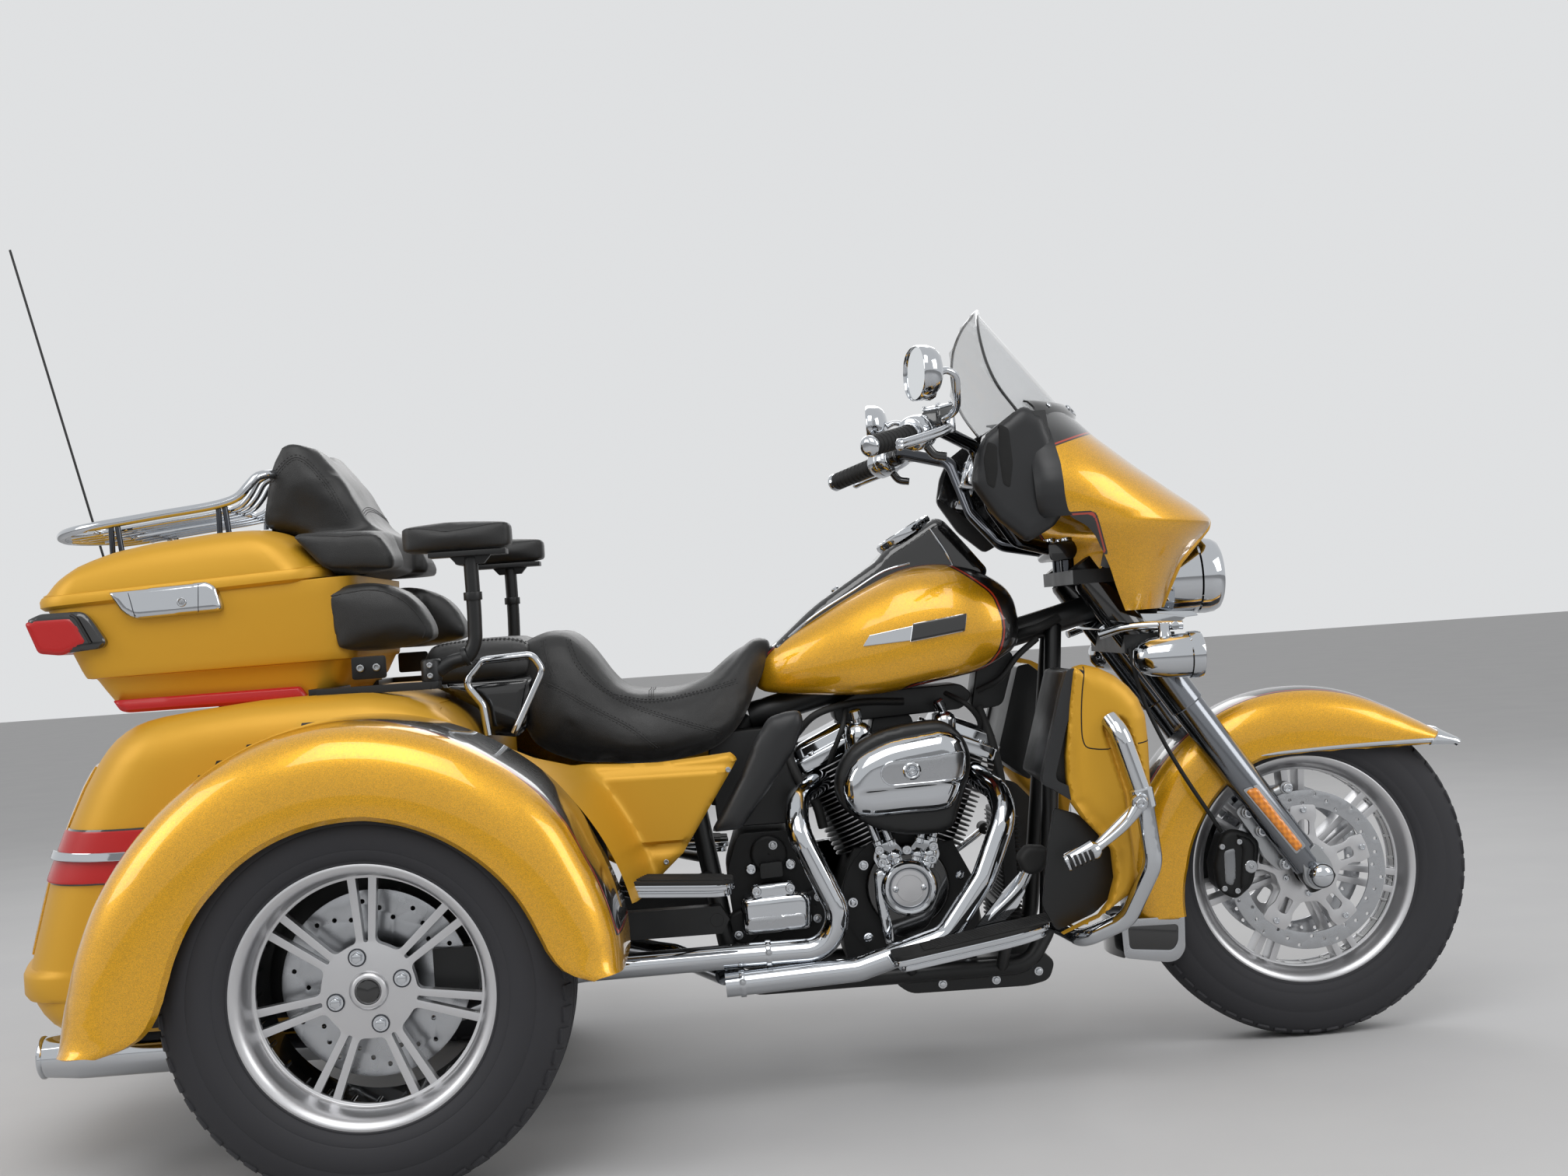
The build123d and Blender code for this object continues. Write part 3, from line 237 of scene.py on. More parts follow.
class Form:
    """Faces of one piece, in model millimetres, gathered before they become a mesh."""

    def __init__(self) -> None:
        """Starts with no points and no faces."""
        self.points: list[np.ndarray] = []
        self.faces: list[tuple[int, ...]] = []
        self.marks: list[int] = []
        self.count = 0
        self.mark = 0

    def paint(self, mark: int) -> Form:
        """Gives what is added next the finish of that number."""
        self.mark = mark
        return self

    def add(self, points: np.ndarray, faces: Iterable[Sequence[int]]) -> Form:
        """Adds points and the faces between them.

        Args:
            points: the new points in model millimetres.
            faces: for each face, the numbers of its points among the new ones.

        Returns:
            The form itself.
        """
        faces = list(faces)
        self.points.append(np.asarray(points, float).reshape(-1, 3))
        self.faces += [tuple(self.count + i for i in face) for face in faces]
        self.marks += [self.mark] * len(faces)
        self.count += len(self.points[-1])
        return self

    def grid(self, points: np.ndarray, wrap: bool = False, caps: bool = False, loop: bool = False) -> Form:
        """Quads over an array of points.

        Args:
            points: shape (rows, columns, 3).
            wrap: joins the last column to the first.
            caps: closes the first and last rows with a face each.
            loop: joins the last row to the first.

        Returns:
            This form.
        """
        rows, cols = points.shape[:2]
        faces = []
        for r in range(rows if loop else rows - 1):
            for c in range(cols if wrap else cols - 1):
                d, e = (c + 1) % cols, (r + 1) % rows
                faces.append((r * cols + c, r * cols + d, e * cols + d, e * cols + c))
        if caps:
            faces.append(tuple(reversed(range(cols))))
            faces.append(tuple((rows - 1) * cols + c for c in range(cols)))
        return self.add(points, faces)

    def skin(self, points: np.ndarray, thick: float, wrap: bool = False, keep: np.ndarray | None = None,
             lining: int | None = None, close: bool = False) -> Form:
        """A sheet of even thickness over an array of points.

        Args:
            points: shape (rows, columns, 3); the outside is where rows cross columns points.
            thick: how far the inside lies behind it.
            wrap: joins the last column to the first.
            keep: which faces stay, of shape (rows - 1, columns or columns - 1); the others are openings.
            lining: the mark of the inside, or None for the same.
            close: spans the last row with a face.

        Returns:
            This form.
        """
        rows, cols = points.shape[:2]
        faces = []
        for r in range(rows - 1):
            for c in range(cols if wrap else cols - 1):
                if keep is None or keep[r, c]:
                    d = (c + 1) % cols
                    faces.append((r * cols + c, r * cols + d, (r + 1) * cols + d, (r + 1) * cols + c))
        flat = points.reshape(-1, 3)
        quads = flat[np.array(faces)]
        out = np.cross(quads[:, 2] - quads[:, 0], quads[:, 1] - quads[:, 3])
        normal = np.zeros_like(flat)
        for k in range(4):
            np.add.at(normal, np.array(faces)[:, k], out)
        normal /= np.maximum(np.linalg.norm(normal, axis=1, keepdims=True), 1e-9)
        size = len(flat)
        ways = {(face[k], face[(k + 1) % 4]) for face in faces for k in range(4)}
        if close:
            faces.append(tuple((rows - 1) * cols + c for c in range(cols)))
            ways |= {(faces[-1][k - 1], faces[-1][k]) for k in range(cols)}
        rims = [(b, a, a + size, b + size) for a, b in sorted(ways) if (b, a) not in ways]
        inside = [tuple(i + size for i in reversed(face)) for face in faces]
        self.add(np.vstack([flat, flat - normal * thick]), [*faces, *rims, *inside])
        if lining is not None:
            for k in range(len(self.marks) - len(inside), len(self.marks)):
                self.marks[k] = lining
        return self

    def lathe(self, profile: Points, centre: Sequence[float], axis: Sequence[float] = LEFTWARD, start: float = 0.0,
              arc: float = 360.0, steps: int = 64, closed: bool = True) -> Form:
        """Turns a profile about an axis.

        Args:
            profile: (radius, distance along the axis) points.
            centre: a point on the axis.
            axis: the axis' direction; about (0, 1, 0), angles run from +x to +z.
            start: the first angle in degrees.
            arc: how far it turns in degrees.
            steps: faces around.
            closed: whether the profile is a closed outline.

        Returns:
            This form.
        """
        u, v, w = frame_about(axis)
        if tuple(axis) == LEFTWARD:
            u, v = np.array([1.0, 0, 0]), np.array([0, 0, 1.0])
        p = np.asarray(profile, float)
        whole = arc >= 360
        angles = np.radians(start + np.linspace(0, arc, steps, endpoint=not whole))
        spin = np.cos(angles)[:, None] * u + np.sin(angles)[:, None] * v
        points = np.asarray(centre, float) + p[None, :, :1] * spin[:, None] + p[None, :, 1:2] * w
        return self.grid(points, wrap=closed, caps=closed and not whole, loop=whole)

    def tube(self, path: Points, radius: float | Sequence[float], sides: int = 14, closed: bool = False) -> Form:
        """A round tube of even or changing radius along a path.

        Args:
            path: points along the middle.
            radius: one radius, or one for each point of the path.
            sides: faces round the tube.
            closed: whether the path ends where it starts.

        Returns:
            The form itself.
        """
        p = np.asarray(path, float)
        radii = np.broadcast_to(np.asarray(radius, float), (len(p),))
        ahead = np.roll(p, -1, axis=0) - np.roll(p, 1, axis=0)
        if not closed:
            ahead[0], ahead[-1] = p[1] - p[0], p[-1] - p[-2]
        ahead /= np.linalg.norm(ahead, axis=1, keepdims=True)
        side = frame_about(ahead[0])[0]
        turn = np.linspace(0, 2 * math.pi, sides, endpoint=False)
        rings = []
        for at, way, r in zip(p, ahead, radii):
            side = side - way * np.dot(side, way)
            side /= np.linalg.norm(side)
            other = np.cross(way, side)
            rings.append(at + r * (np.cos(turn)[:, None] * side + np.sin(turn)[:, None] * other))
        return self.grid(np.array(rings), wrap=True, caps=not closed, loop=closed)

    def bar(self, start: Sequence[float], end: Sequence[float], profile: Points, sides: int = 24) -> Form:
        """A turned bar between two points; profile holds (share of the length, radius) pairs.

        Args:
            start: the middle of one end.
            end: the middle of the other.
            profile: the (share of the length, radius) pairs.
            sides: faces round the bar.

        Returns:
            The form itself.
        """
        a, b = np.asarray(start, float), np.asarray(end, float)
        u, v, _ = frame_about(b - a)
        turn = np.linspace(0, 2 * math.pi, sides, endpoint=False)
        ring = np.cos(turn)[:, None] * u + np.sin(turn)[:, None] * v
        rows = [a + (b - a) * share + ring * max(radius, 0.01) for share, radius in profile]
        return self.grid(np.array(rows), wrap=True, caps=True)

    def plate(self, outline: Points, low: float, high: float, holes: Sequence[Points] = (),
              place: Callable[[np.ndarray, float], np.ndarray] = side_view, walls: int | None = None) -> Form:
        """A flat plate with an outline and through holes.

        Args:
            outline: its corners, in two dimensions.
            low: where one face lies.
            high: where the other face lies.
            holes: outlines of the holes.
            place: turns the outline's points and a level into points in space; a side view unless told.
            walls: the mark of the walls between the faces, or None for the same.

        Returns:
            This form.
        """
        loops = [np.asarray(loop, float) for loop in (outline, *holes)]
        flat = np.vstack(loops)
        starts = np.cumsum([0] + [len(loop) for loop in loops])
        rims = [list(range(starts[i], starts[i + 1])) for i in range(len(loops))]
        if holes:
            edges = [(rim[i - 1], rim[i]) for rim in rims for i in range(len(rim))]
            found = delaunay_2d_cdt([Vector(p) for p in flat], edges, [], 0, 1e-7)
            faces = [[int(found[3][i][0]) for i in face] for face in found[2] if all(found[3][i] for i in face)]
            faces = [f for f in faces if self._inside(flat[f].mean(axis=0), loops)]
        else:
            faces = [rims[0]]
        size = len(flat)
        sides = [(rim[i - 1], rim[i], rim[i] + size, rim[i - 1] + size) for rim in rims for i in range(len(rim))]
        twins = [[i + size for i in reversed(face)] for face in faces]
        self.add(np.vstack([place(flat, low), place(flat, high)]), [*faces, *twins, *sides])
        if walls is not None:
            self.marks[len(self.marks) - len(sides):] = [walls] * len(sides)
        return self

    @staticmethod
    def _inside(point: np.ndarray, loops: Sequence[np.ndarray]) -> bool:
        """Whether a point is in the first loop and in none of the others.

        Args:
            point: the point in the plane.
            loops: the outline, and then the outlines of its holes.

        Returns:
            Whether it is in the material.
        """
        hits = []
        for loop in loops:
            x, y = loop[:, 0], loop[:, 1]
            x2, y2 = np.roll(x, -1), np.roll(y, -1)
            cross = (y > point[1]) != (y2 > point[1])
            with np.errstate(divide="ignore", invalid="ignore"):
                at = x + (point[1] - y) / (y2 - y) * (x2 - x)
            hits.append(bool(np.count_nonzero(cross & (at > point[0])) % 2))
        return hits[0] and not any(hits[1:])

    def pillow(self, outline: Points, y: float, depth: float, rise: float, reach: float = 12.0, pitch: float = 7.0,
               side: int = RIGHT, shape: Callable[[np.ndarray], np.ndarray] | None = None) -> Form:
        """A closed panel whose face rises from its edge and stays flat beyond the reach.

        Args:
            outline: (x, z) corners.
            y: distance of the panel's edge from the middle.
            depth: how thick it is at the edge.
            rise: how far the face stands out of the edge.
            reach: distance from the edge over which it rises.
            pitch: size of its faces.
            side: which side it faces.
            shape: gives what is added to y at (x, z) points, at the face and the back alike.

        Returns:
            This form.
        """
        rim = even(np.vstack([outline, outline[:1]]), max(12, int(self._length(outline) / pitch)), closed=True)
        low, high = rim.min(axis=0), rim.max(axis=0)
        xs, zs = np.arange(low[0], high[0], pitch), np.arange(low[1], high[1], pitch * 0.87)
        inner = np.array([(x + (pitch / 2 if j % 2 else 0), z) for j, z in enumerate(zs) for x in xs])
        inside = np.array([self._inside(p, [rim]) for p in inner])
        gap = self._gap(inner, rim)
        inner, gap = inner[inside & (gap > 0.45 * pitch)], gap[inside & (gap > 0.45 * pitch)]
        flat = np.vstack([rim, inner])
        edges = [(i - 1 if i else len(rim) - 1, i) for i in range(len(rim))]
        found = delaunay_2d_cdt([Vector(p) for p in flat], edges, [], 1, 1e-7)
        at = np.array([tuple(p) for p in found[0]])
        away = self._gap(at, rim)
        swell = rise * np.sqrt(np.clip(1 - (1 - np.clip(away / reach, 0, 1)) ** 2, 0, 1))
        more = np.zeros(len(at)) if shape is None else shape(at)
        front = np.stack([at[:, 0], side * (y + swell + more), at[:, 1]], axis=1)
        back = np.stack([at[:, 0], side * (y - depth + more), at[:, 1]], axis=1)
        size = len(at)
        walls = [(a, b, b + size, a + size) for a, b in edges]
        faces = [list(f) for f in found[2]]
        return self.add(np.vstack([front, back]), [*faces, *[[i + size for i in reversed(f)] for f in faces], *walls])

    @staticmethod
    def _length(outline: Points) -> float:
        """The length of a closed outline."""
        p = np.asarray(outline, float)
        return float(np.linalg.norm(np.roll(p, -1, axis=0) - p, axis=1).sum())

    @staticmethod
    def _gap(points: np.ndarray, rim: np.ndarray) -> np.ndarray:
        """Each point's distance from a closed outline.

        Args:
            points: the points in the plane.
            rim: the corners of the outline.

        Returns:
            One distance for each point.
        """
        a, b = rim, np.roll(rim, -1, axis=0)
        run = b - a
        share = np.einsum("pij,ij->pi", points[:, None] - a, run) / np.maximum((run ** 2).sum(axis=1), 1e-9)
        near = a + np.clip(share, 0, 1)[..., None] * run
        return np.linalg.norm(points[:, None] - near, axis=2).min(axis=1)

    def join(self, other: Form) -> Form:
        """Adds another form's faces with their own marks.

        Args:
            other: the form that is added.

        Returns:
            The form itself.
        """
        for index, mark in enumerate(other.marks):
            self.faces.append(tuple(self.count + i for i in other.faces[index]))
            self.marks.append(mark)
        self.points += other.points
        self.count += other.count
        return self

    def placed(self, change: Callable[[np.ndarray], np.ndarray]) -> Form:
        """This form with every point changed."""
        self.points = [change(np.vstack(self.points))]
        return self

    def twin(self) -> Form:
        """Adds the form's mirror image across the middle.

        Returns:
            The form itself.
        """
        other = Form()
        other.points = [np.vstack(self.points) * (1, -1, 1)]
        other.faces = [tuple(reversed(face)) for face in self.faces]
        other.marks, other.count = list(self.marks), self.count
        return self.join(other)

    def other_side(self) -> Form:
        """Turns the form into its mirror image across the middle.

        Returns:
            The form itself.
        """
        self.points = [np.vstack(self.points) * (1, -1, 1)]
        self.faces = [tuple(reversed(face)) for face in self.faces]
        return self

    def mesh(self, name: str, local: bool = False, bevel: float = 0.0, steps: int = 2,
             angle: float = 35.0) -> bpy.types.Mesh:
        """Makes the mesh, its seams closed and its faces outward.

        Args:
            name: the mesh's name.
            local: whether the points are already about the origin, as for a small form that repeats.
            bevel: width in millimetres of the rounding of its sharp edges.
            steps: faces across a rounded edge.
            angle: edges sharper than this many degrees count as sharp.

        Returns:
            The mesh.
        """
        points = np.vstack(self.points)
        mesh = bpy.data.meshes.new(name)
        mesh.from_pydata((points / 1000.0 if local else to_row(points)).tolist(), [], self.faces)
        mesh.polygons.foreach_set("material_index", np.array(self.marks, np.int32))
        work = bmesh.new()
        work.from_mesh(mesh)
        bmesh.ops.remove_doubles(work, verts=work.verts, dist=MERGE)
        bmesh.ops.dissolve_degenerate(work, edges=work.edges, dist=MERGE)
        bmesh.ops.recalc_face_normals(work, faces=work.faces)
        if bevel > 0:
            sharp = [e for e in work.edges if len(e.link_faces) == 2 and e.calc_face_angle(0) > math.radians(angle)]
            bmesh.ops.bevel(work, geom=sharp, offset=bevel / 1000.0, offset_type="OFFSET", segments=steps,
                            profile=0.6, affect="EDGES", clamp_overlap=True, material=-1)
        work.to_mesh(mesh)
        work.free()
        shade(mesh, angle)
        return mesh

    def build(self, name: str, body: str, finishes: Sequence[Finish], slot: str | None = None,
              replaces: Sequence[str] = (), bevel: float = 0.0, steps: int = 2, angle: float = 35.0,
              bands: Callable[[np.ndarray], np.ndarray] | None = None) -> bpy.types.Object:
        """Makes the piece and lets it ride on its body.

        Args:
            name: the piece's name.
            body: the CAD body that carries it.
            finishes: its finishes, in the order of its faces' marks.
            slot: the record's material slot.
            replaces: CAD nodes that it stands for.
            bevel: width in millimetres of the rounding of its sharp edges.
            steps: faces across a rounded edge.
            angle: edges sharper than this many degrees count as sharp.
            bands: gives each point's distance in millimetres past the edge of the second colour.

        Returns:
            The piece.
        """
        mesh = self.mesh(name, bevel=bevel, steps=steps, angle=angle)
        if bands is not None:
            mark_bands(mesh, bands)
        return settle(mesh, name, body, finishes, slot, replaces)


def shade(mesh: bpy.types.Mesh, angle: float) -> None:
    """Smooth shading that breaks at edges sharper than an angle in degrees.

    Args:
        mesh: the mesh that is shaded.
        angle: the least angle that stays sharp.
    """
    mesh.polygons.foreach_set("use_smooth", np.ones(len(mesh.polygons), bool))
    mesh.set_sharp_from_angle(angle=math.radians(angle))
    mesh.update()


def mark_bands(mesh: bpy.types.Mesh, bands: Callable[[np.ndarray], np.ndarray]) -> None:
    """Stores each vertex's distance past a colour's edge, in millimetres, for the paint to read.

    Args:
        mesh: the mesh that is marked.
        bands: gives the distance for each of its points in model millimetres.
    """
    at = np.zeros(len(mesh.vertices) * 3)
    mesh.vertices.foreach_get("co", at)
    at = at.reshape(-1, 3) * 1000.0
    at[:, 0] -= SHIFT
    mesh.attributes.new("band", "FLOAT", "POINT").data.foreach_set("value", bands(at).astype(np.float32))


def settle(mesh: bpy.types.Mesh, name: str, body: str, finishes: Sequence[Finish], slot: str | None = None,
           replaces: Sequence[str] = ()) -> bpy.types.Object:
    """Puts a finished mesh in the scene as a piece of the object.

    Args:
        mesh: the finished mesh.
        name: the piece's name.
        body: the CAD body that carries it.
        finishes: its finishes, in the order of its faces' marks.
        slot: the record's material slot; not used.
        replaces: CAD nodes that it stands for.

    Returns:
        The piece.
    """
    mesh.materials.clear()
    for finish in finishes:
        mesh.materials.append(finish.material())
    piece = bpy.data.objects.new(name, mesh)
    bpy.context.scene.collection.objects.link(piece)
    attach(piece, body)
    if replaces:
        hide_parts(*replaces)
    LOG.info("%s: %d faces", name, len(mesh.polygons))
    return piece


# Finishes


class Texture(Enum):
    """What a surface shows close up."""

    FLAKE = "metal flakes under lacquer"
    GLOSS = "lacquer"
    POLISHED = "polished metal with faint smears"
    BRUSHED = "metal with fine parallel lines"
    CAST = "fine cast grain"
    MOULDED = "moulded plastic grain"
    LEATHER = "creased leather cells"
    RUBBER = "dull rubber with dust"
    LENS = "prismed lens"


def linear(code: str) -> tuple[float, float, float, float]:
    """A colour code of six hex digits as linear red, green, blue and one."""
    parts = [int(code[i:i + 2], 16) / 255 for i in (0, 2, 4)]
    return (*[p / 12.92 if p <= 0.04045 else ((p + 0.055) / 1.055) ** 2.4 for p in parts], 1.0)


class Graph:
    """Short hand for building a material's nodes."""

    def __init__(self, material: bpy.types.Material) -> None:
        """Empties the node tree of a material.

        Args:
            material: the material that is written.
        """
        material.use_nodes = True
        self.tree = material.node_tree
        self.tree.nodes.clear()

    def add(self, kind: str, inputs: dict | None = None, **settings: object) -> bpy.types.Node:
        """Adds a node; an input that is a socket is linked, and any other is set.

        Args:
            kind: the node's type.
            inputs: a socket or a value for each named input.
            settings: the node's own settings.

        Returns:
            The node.
        """
        node = self.tree.nodes.new(kind)
        for key, value in settings.items():
            setattr(node, key, value)
        for key, value in (inputs or {}).items():
            if isinstance(value, bpy.types.NodeSocket):
                self.tree.links.new(value, node.inputs[key])
            else:
                node.inputs[key].default_value = value
        return node

    def maths(self, operation: str, a: object, b: object = 0.0) -> bpy.types.NodeSocket:
        """The result of one sum."""
        return self.add("ShaderNodeMath", {0: a, 1: b}, operation=operation).outputs[0]

    def ranged(self, value: bpy.types.NodeSocket, low: float, high: float, start: float,
               end: float) -> bpy.types.NodeSocket:
        """A value from one range put in another."""
        node = self.add("ShaderNodeMapRange", {"Value": value, "From Min": low, "From Max": high, "To Min": start,
                "To Max": end})
        return node.outputs[0]

    def mixed(self, share: object, a: object, b: object) -> bpy.types.NodeSocket:
        """Two colours mixed."""
        node = self.add("ShaderNodeMix", {0: share, 6: a, 7: b}, data_type="RGBA")
        return node.outputs[2]


@dataclass(frozen=True)
class Finish:
    """How one surface looks.

    Attributes:
        name: the material's name.
        colour: its colour as six hex digits.
        texture: what it shows close up.
        metallic: how metallic it is, from 0 to 1.
        roughness: its mean roughness.
        spread: how much the roughness varies.
        mottle: how much its tone varies.
        relief: height of its grain, in millimetres.
        pitch: size of its grain, in millimetres.
        coat: weight of a clear coat.
        see_through: how much light passes, from 0 to 1.
        second: the band's colour, where the paint has a second one.
        stripe: the colour of the fine line beside the band.
        glow: strength of its own light, which here paints a faint glow on lenses that no lamp lights.
    """

    name: str
    colour: str
    texture: Texture
    metallic: float = 0.0
    roughness: float = 0.4
    spread: float = 0.1
    mottle: float = 0.08
    relief: float = 0.02
    pitch: float = 1.0
    coat: float = 0.0
    see_through: float = 0.0
    second: str = ""
    stripe: str = ""
    glow: float = 0.0

    def material(self) -> bpy.types.Material:
        """The material, made once.

        Returns:
            The material of this finish.
        """
        known = bpy.data.materials.get(self.name)
        if known is not None:
            return known
        material = bpy.data.materials.new(self.name)
        graph = Graph(material)
        place = graph.add("ShaderNodeTexCoord").outputs["Object"]
        height, tone = self._grain(graph, place)
        colour = linear(self.colour)
        dark = tuple(c * (1 - self.mottle) for c in colour[:3]) + (1.0,)
        light = tuple(min(1.0, c * (1 + self.mottle)) for c in colour[:3]) + (1.0,)
        base = graph.mixed(tone, dark, light)
        shine: object = self.metallic
        if self.second:
            base, shine = self._banded(graph, base)
        smear = graph.add("ShaderNodeTexNoise", {"Vector": place, "Scale": 9.0, "Detail": 4.0, "Roughness": 0.6})
        rough = graph.ranged(smear.outputs["Fac"], 0.3, 0.7, max(0.02, self.roughness - self.spread),
                             min(1.0, self.roughness + self.spread))
        bump = graph.add("ShaderNodeBump", {"Height": height, "Distance": self.relief / 1000.0, "Strength": 1.0})
        shader = graph.add("ShaderNodeBsdfPrincipled", {"Base Color": base, "Roughness": rough, "Metallic": shine,
                "Normal": bump.outputs[0], "Coat Weight": self.coat, "Coat Roughness": 0.04,
                "Transmission Weight": self.see_through, "IOR": 1.49 if self.see_through else 1.5})
        if self.texture is Texture.LEATHER:
            shader.inputs["Sheen Weight"].default_value = 0.12
            shader.inputs["Sheen Roughness"].default_value = 0.45
        if self.glow:
            shader.inputs["Emission Color"].default_value = linear(self.colour)
            shader.inputs["Emission Strength"].default_value = self.glow
        end = graph.add("ShaderNodeOutputMaterial", {"Surface": shader.outputs[0]})
        end.is_active_output = True
        return material

    def _banded(self, graph: Graph, base: bpy.types.NodeSocket) -> tuple[bpy.types.NodeSocket, object]:
        """The paint's first colour, its band and the fine line beside it.

        Args:
            graph: the material's nodes.
            base: the first colour.

        Returns:
            The mixed colour, and how metallic it is there.
        """
        past = graph.add("ShaderNodeAttribute", attribute_name="band").outputs["Fac"]
        inside = graph.ranged(past, -0.4, 0.4, 0.0, 1.0)
        colour = graph.mixed(inside, base, linear(self.second))
        if self.stripe:
            off = graph.maths("ABSOLUTE", graph.maths("SUBTRACT", past, 4.5))
            line = graph.ranged(off, 1.9, 1.3, 0.0, 1.0)
            colour = graph.mixed(line, colour, linear(self.stripe))
        return colour, graph.ranged(past, -0.4, 0.4, self.metallic, 0.0)

    def _grain(self, graph: Graph, place: bpy.types.NodeSocket) -> tuple[bpy.types.NodeSocket, bpy.types.NodeSocket]:
        """The height of the surface's grain and the tone that goes with it.

        Args:
            graph: the material's nodes.
            place: the coordinates that the grain follows.

        Returns:
            The height and the tone.
        """
        scale = 1000.0 / self.pitch
        if self.texture is Texture.FLAKE:
            cells = graph.add("ShaderNodeTexVoronoi", {"Vector": place, "Scale": scale})
            tone = graph.add("ShaderNodeSeparateColor", {"Color": cells.outputs["Color"]}).outputs[0]
            return tone, tone
        if self.texture is Texture.BRUSHED:
            lines = graph.add("ShaderNodeMapping", {"Vector": place, "Scale": (scale, scale * 0.04, scale)})
            noise = graph.add("ShaderNodeTexNoise", {"Vector": lines.outputs[0], "Scale": 1.0, "Detail": 2.0})
            return noise.outputs["Fac"], noise.outputs["Fac"]
        if self.texture is Texture.LEATHER:
            cells = graph.add("ShaderNodeTexVoronoi", {"Vector": place, "Scale": scale}, feature="DISTANCE_TO_EDGE")
            folds = graph.add("ShaderNodeTexNoise", {"Vector": place, "Scale": scale * 0.12, "Detail": 3.0})
            height = graph.maths("ADD", graph.ranged(cells.outputs["Distance"], 0.0, 0.25, 0.0, 1.0),
                                 folds.outputs["Fac"])
            return height, folds.outputs["Fac"]
        if self.texture is Texture.LENS:
            waves = [graph.add("ShaderNodeTexWave", {"Vector": place, "Scale": scale / 6.2},
                               bands_direction=way).outputs["Fac"] for way in ("X", "Z")]
            height = graph.maths("ADD", *waves)
            return height, graph.ranged(height, 0.0, 2.0, 0.0, 1.0)
        detail = {Texture.CAST: 6.0, Texture.MOULDED: 2.0, Texture.RUBBER: 5.0}.get(self.texture, 3.0)
        noise = graph.add("ShaderNodeTexNoise", {"Vector": place, "Scale": scale, "Detail": detail,
                "Roughness": 0.55})
        broad = graph.add("ShaderNodeTexNoise", {"Vector": place, "Scale": 6.0, "Detail": 4.0})
        return noise.outputs["Fac"], broad.outputs["Fac"]


GOLD = Finish("gold_paint", "e0a512", Texture.FLAKE, 0.62, 0.34, 0.05, 0.30, 0.010, 0.7, coat=1.0)
GOLD_BANDED = Finish("gold_paint_banded", "e0a512", Texture.FLAKE, 0.62, 0.34, 0.05, 0.30, 0.010, 0.7, coat=1.0,
                     second="070708", stripe="b0341a")
GLOSS_BLACK = Finish("gloss_black_paint", "0a0a0b", Texture.GLOSS, 0.0, 0.18, 0.05, 0.2, 0.004, 2.0, coat=1.0)
SATIN_BLACK = Finish("satin_black_paint", "101112", Texture.CAST, 0.1, 0.42, 0.08, 0.2, 0.03, 1.2)
BLACK_PLASTIC = Finish("moulded_black_plastic", "1b1c1e", Texture.MOULDED, 0.0, 0.44, 0.08, 0.12, 0.04, 0.9)
CHROME = Finish("chrome_plate", "c6c9cd", Texture.POLISHED, 1.0, 0.06, 0.03, 0.04, 0.002, 3.0)
# Chrome darkened in colour: a painted reflection of dark surroundings, which the pale studio doesn't give.
CHROME_DARK_REFLECTION = Finish("chrome_painted_dark_reflection", "4a4c50", Texture.POLISHED, 1.0, 0.12, 0.04, 0.06, 0.002, 3.0)
MACHINED = Finish("machined_aluminium", "c9ccd0", Texture.BRUSHED, 1.0, 0.24, 0.06, 0.12, 0.006, 0.5, coat=0.2)
SILVER = Finish("silver_cast_metal", "a9abad", Texture.CAST, 1.0, 0.36, 0.06, 0.1, 0.02, 0.8)
STEEL = Finish("brushed_steel", "b2b4b7", Texture.BRUSHED, 1.0, 0.26, 0.06, 0.15, 0.008, 0.6)
# Polished metal whose grey is darkened: a painted reflection of dark surroundings on the fork sliders.
POLISHED = Finish("fork_metal_painted_dark_reflection", "7c7f84", Texture.BRUSHED, 1.0, 0.15, 0.04, 0.1, 0.003, 0.6)
WRINKLE = Finish("wrinkle_black_metal", "0e0f10", Texture.CAST, 0.3, 0.55, 0.08, 0.2, 0.12, 1.4)
LEATHER = Finish("black_leather", "151515", Texture.LEATHER, 0.0, 0.44, 0.07, 0.16, 0.10, 1.9)
THREAD = Finish("black_thread", "232324", Texture.MOULDED, 0.0, 0.6, 0.05, 0.2, 0.1, 0.4)
RUBBER = Finish("black_rubber", "121212", Texture.RUBBER, 0.0, 0.68, 0.08, 0.2, 0.05, 1.0)
TYRE = Finish("tyre_rubber", "171717", Texture.RUBBER, 0.0, 0.74, 0.08, 0.25, 0.06, 1.3)
# The red lenses' faint emission is a painted glow: no lamp lights them, and the side reflectors wear it too.
RED_LENS = Finish("red_lens", "a30d0c", Texture.LENS, 0.0, 0.14, 0.04, 0.35, 0.35, 6.0, coat=1.0, glow=0.12)
AMBER_LENS = Finish("amber_lens", "f28a12", Texture.LENS, 0.0, 0.16, 0.04, 0.3, 0.3, 5.0, coat=1.0)
CLEAR_LENS = Finish("clear_lens", "f2f5f7", Texture.LENS, 0.0, 0.05, 0.02, 0.02, 0.2, 9.0, coat=1.0, see_through=0.9)
SCREEN = Finish("clear_screen", "dfe8ea", Texture.GLOSS, 0.0, 0.04, 0.02, 0.02, 0.001, 5.0, see_through=0.97)
MIRROR = Finish("mirror_glass", "eef1f3", Texture.POLISHED, 1.0, 0.02, 0.01, 0.01, 0.001, 4.0)
SPECKLE = Finish("speckled_cast_panel", "8d8f92", Texture.CAST, 1.0, 0.45, 0.1, 0.55, 0.35, 2.6)
# Near-black painted shade: it stands in for the darkness inside slots, gaps and bores.
PAINTED_SHADE = Finish("painted_recess_shade", "050505", Texture.CAST, 0.0, 0.8, 0.05, 0.2, 0.02, 1.5)


# Copies by Geometry Nodes


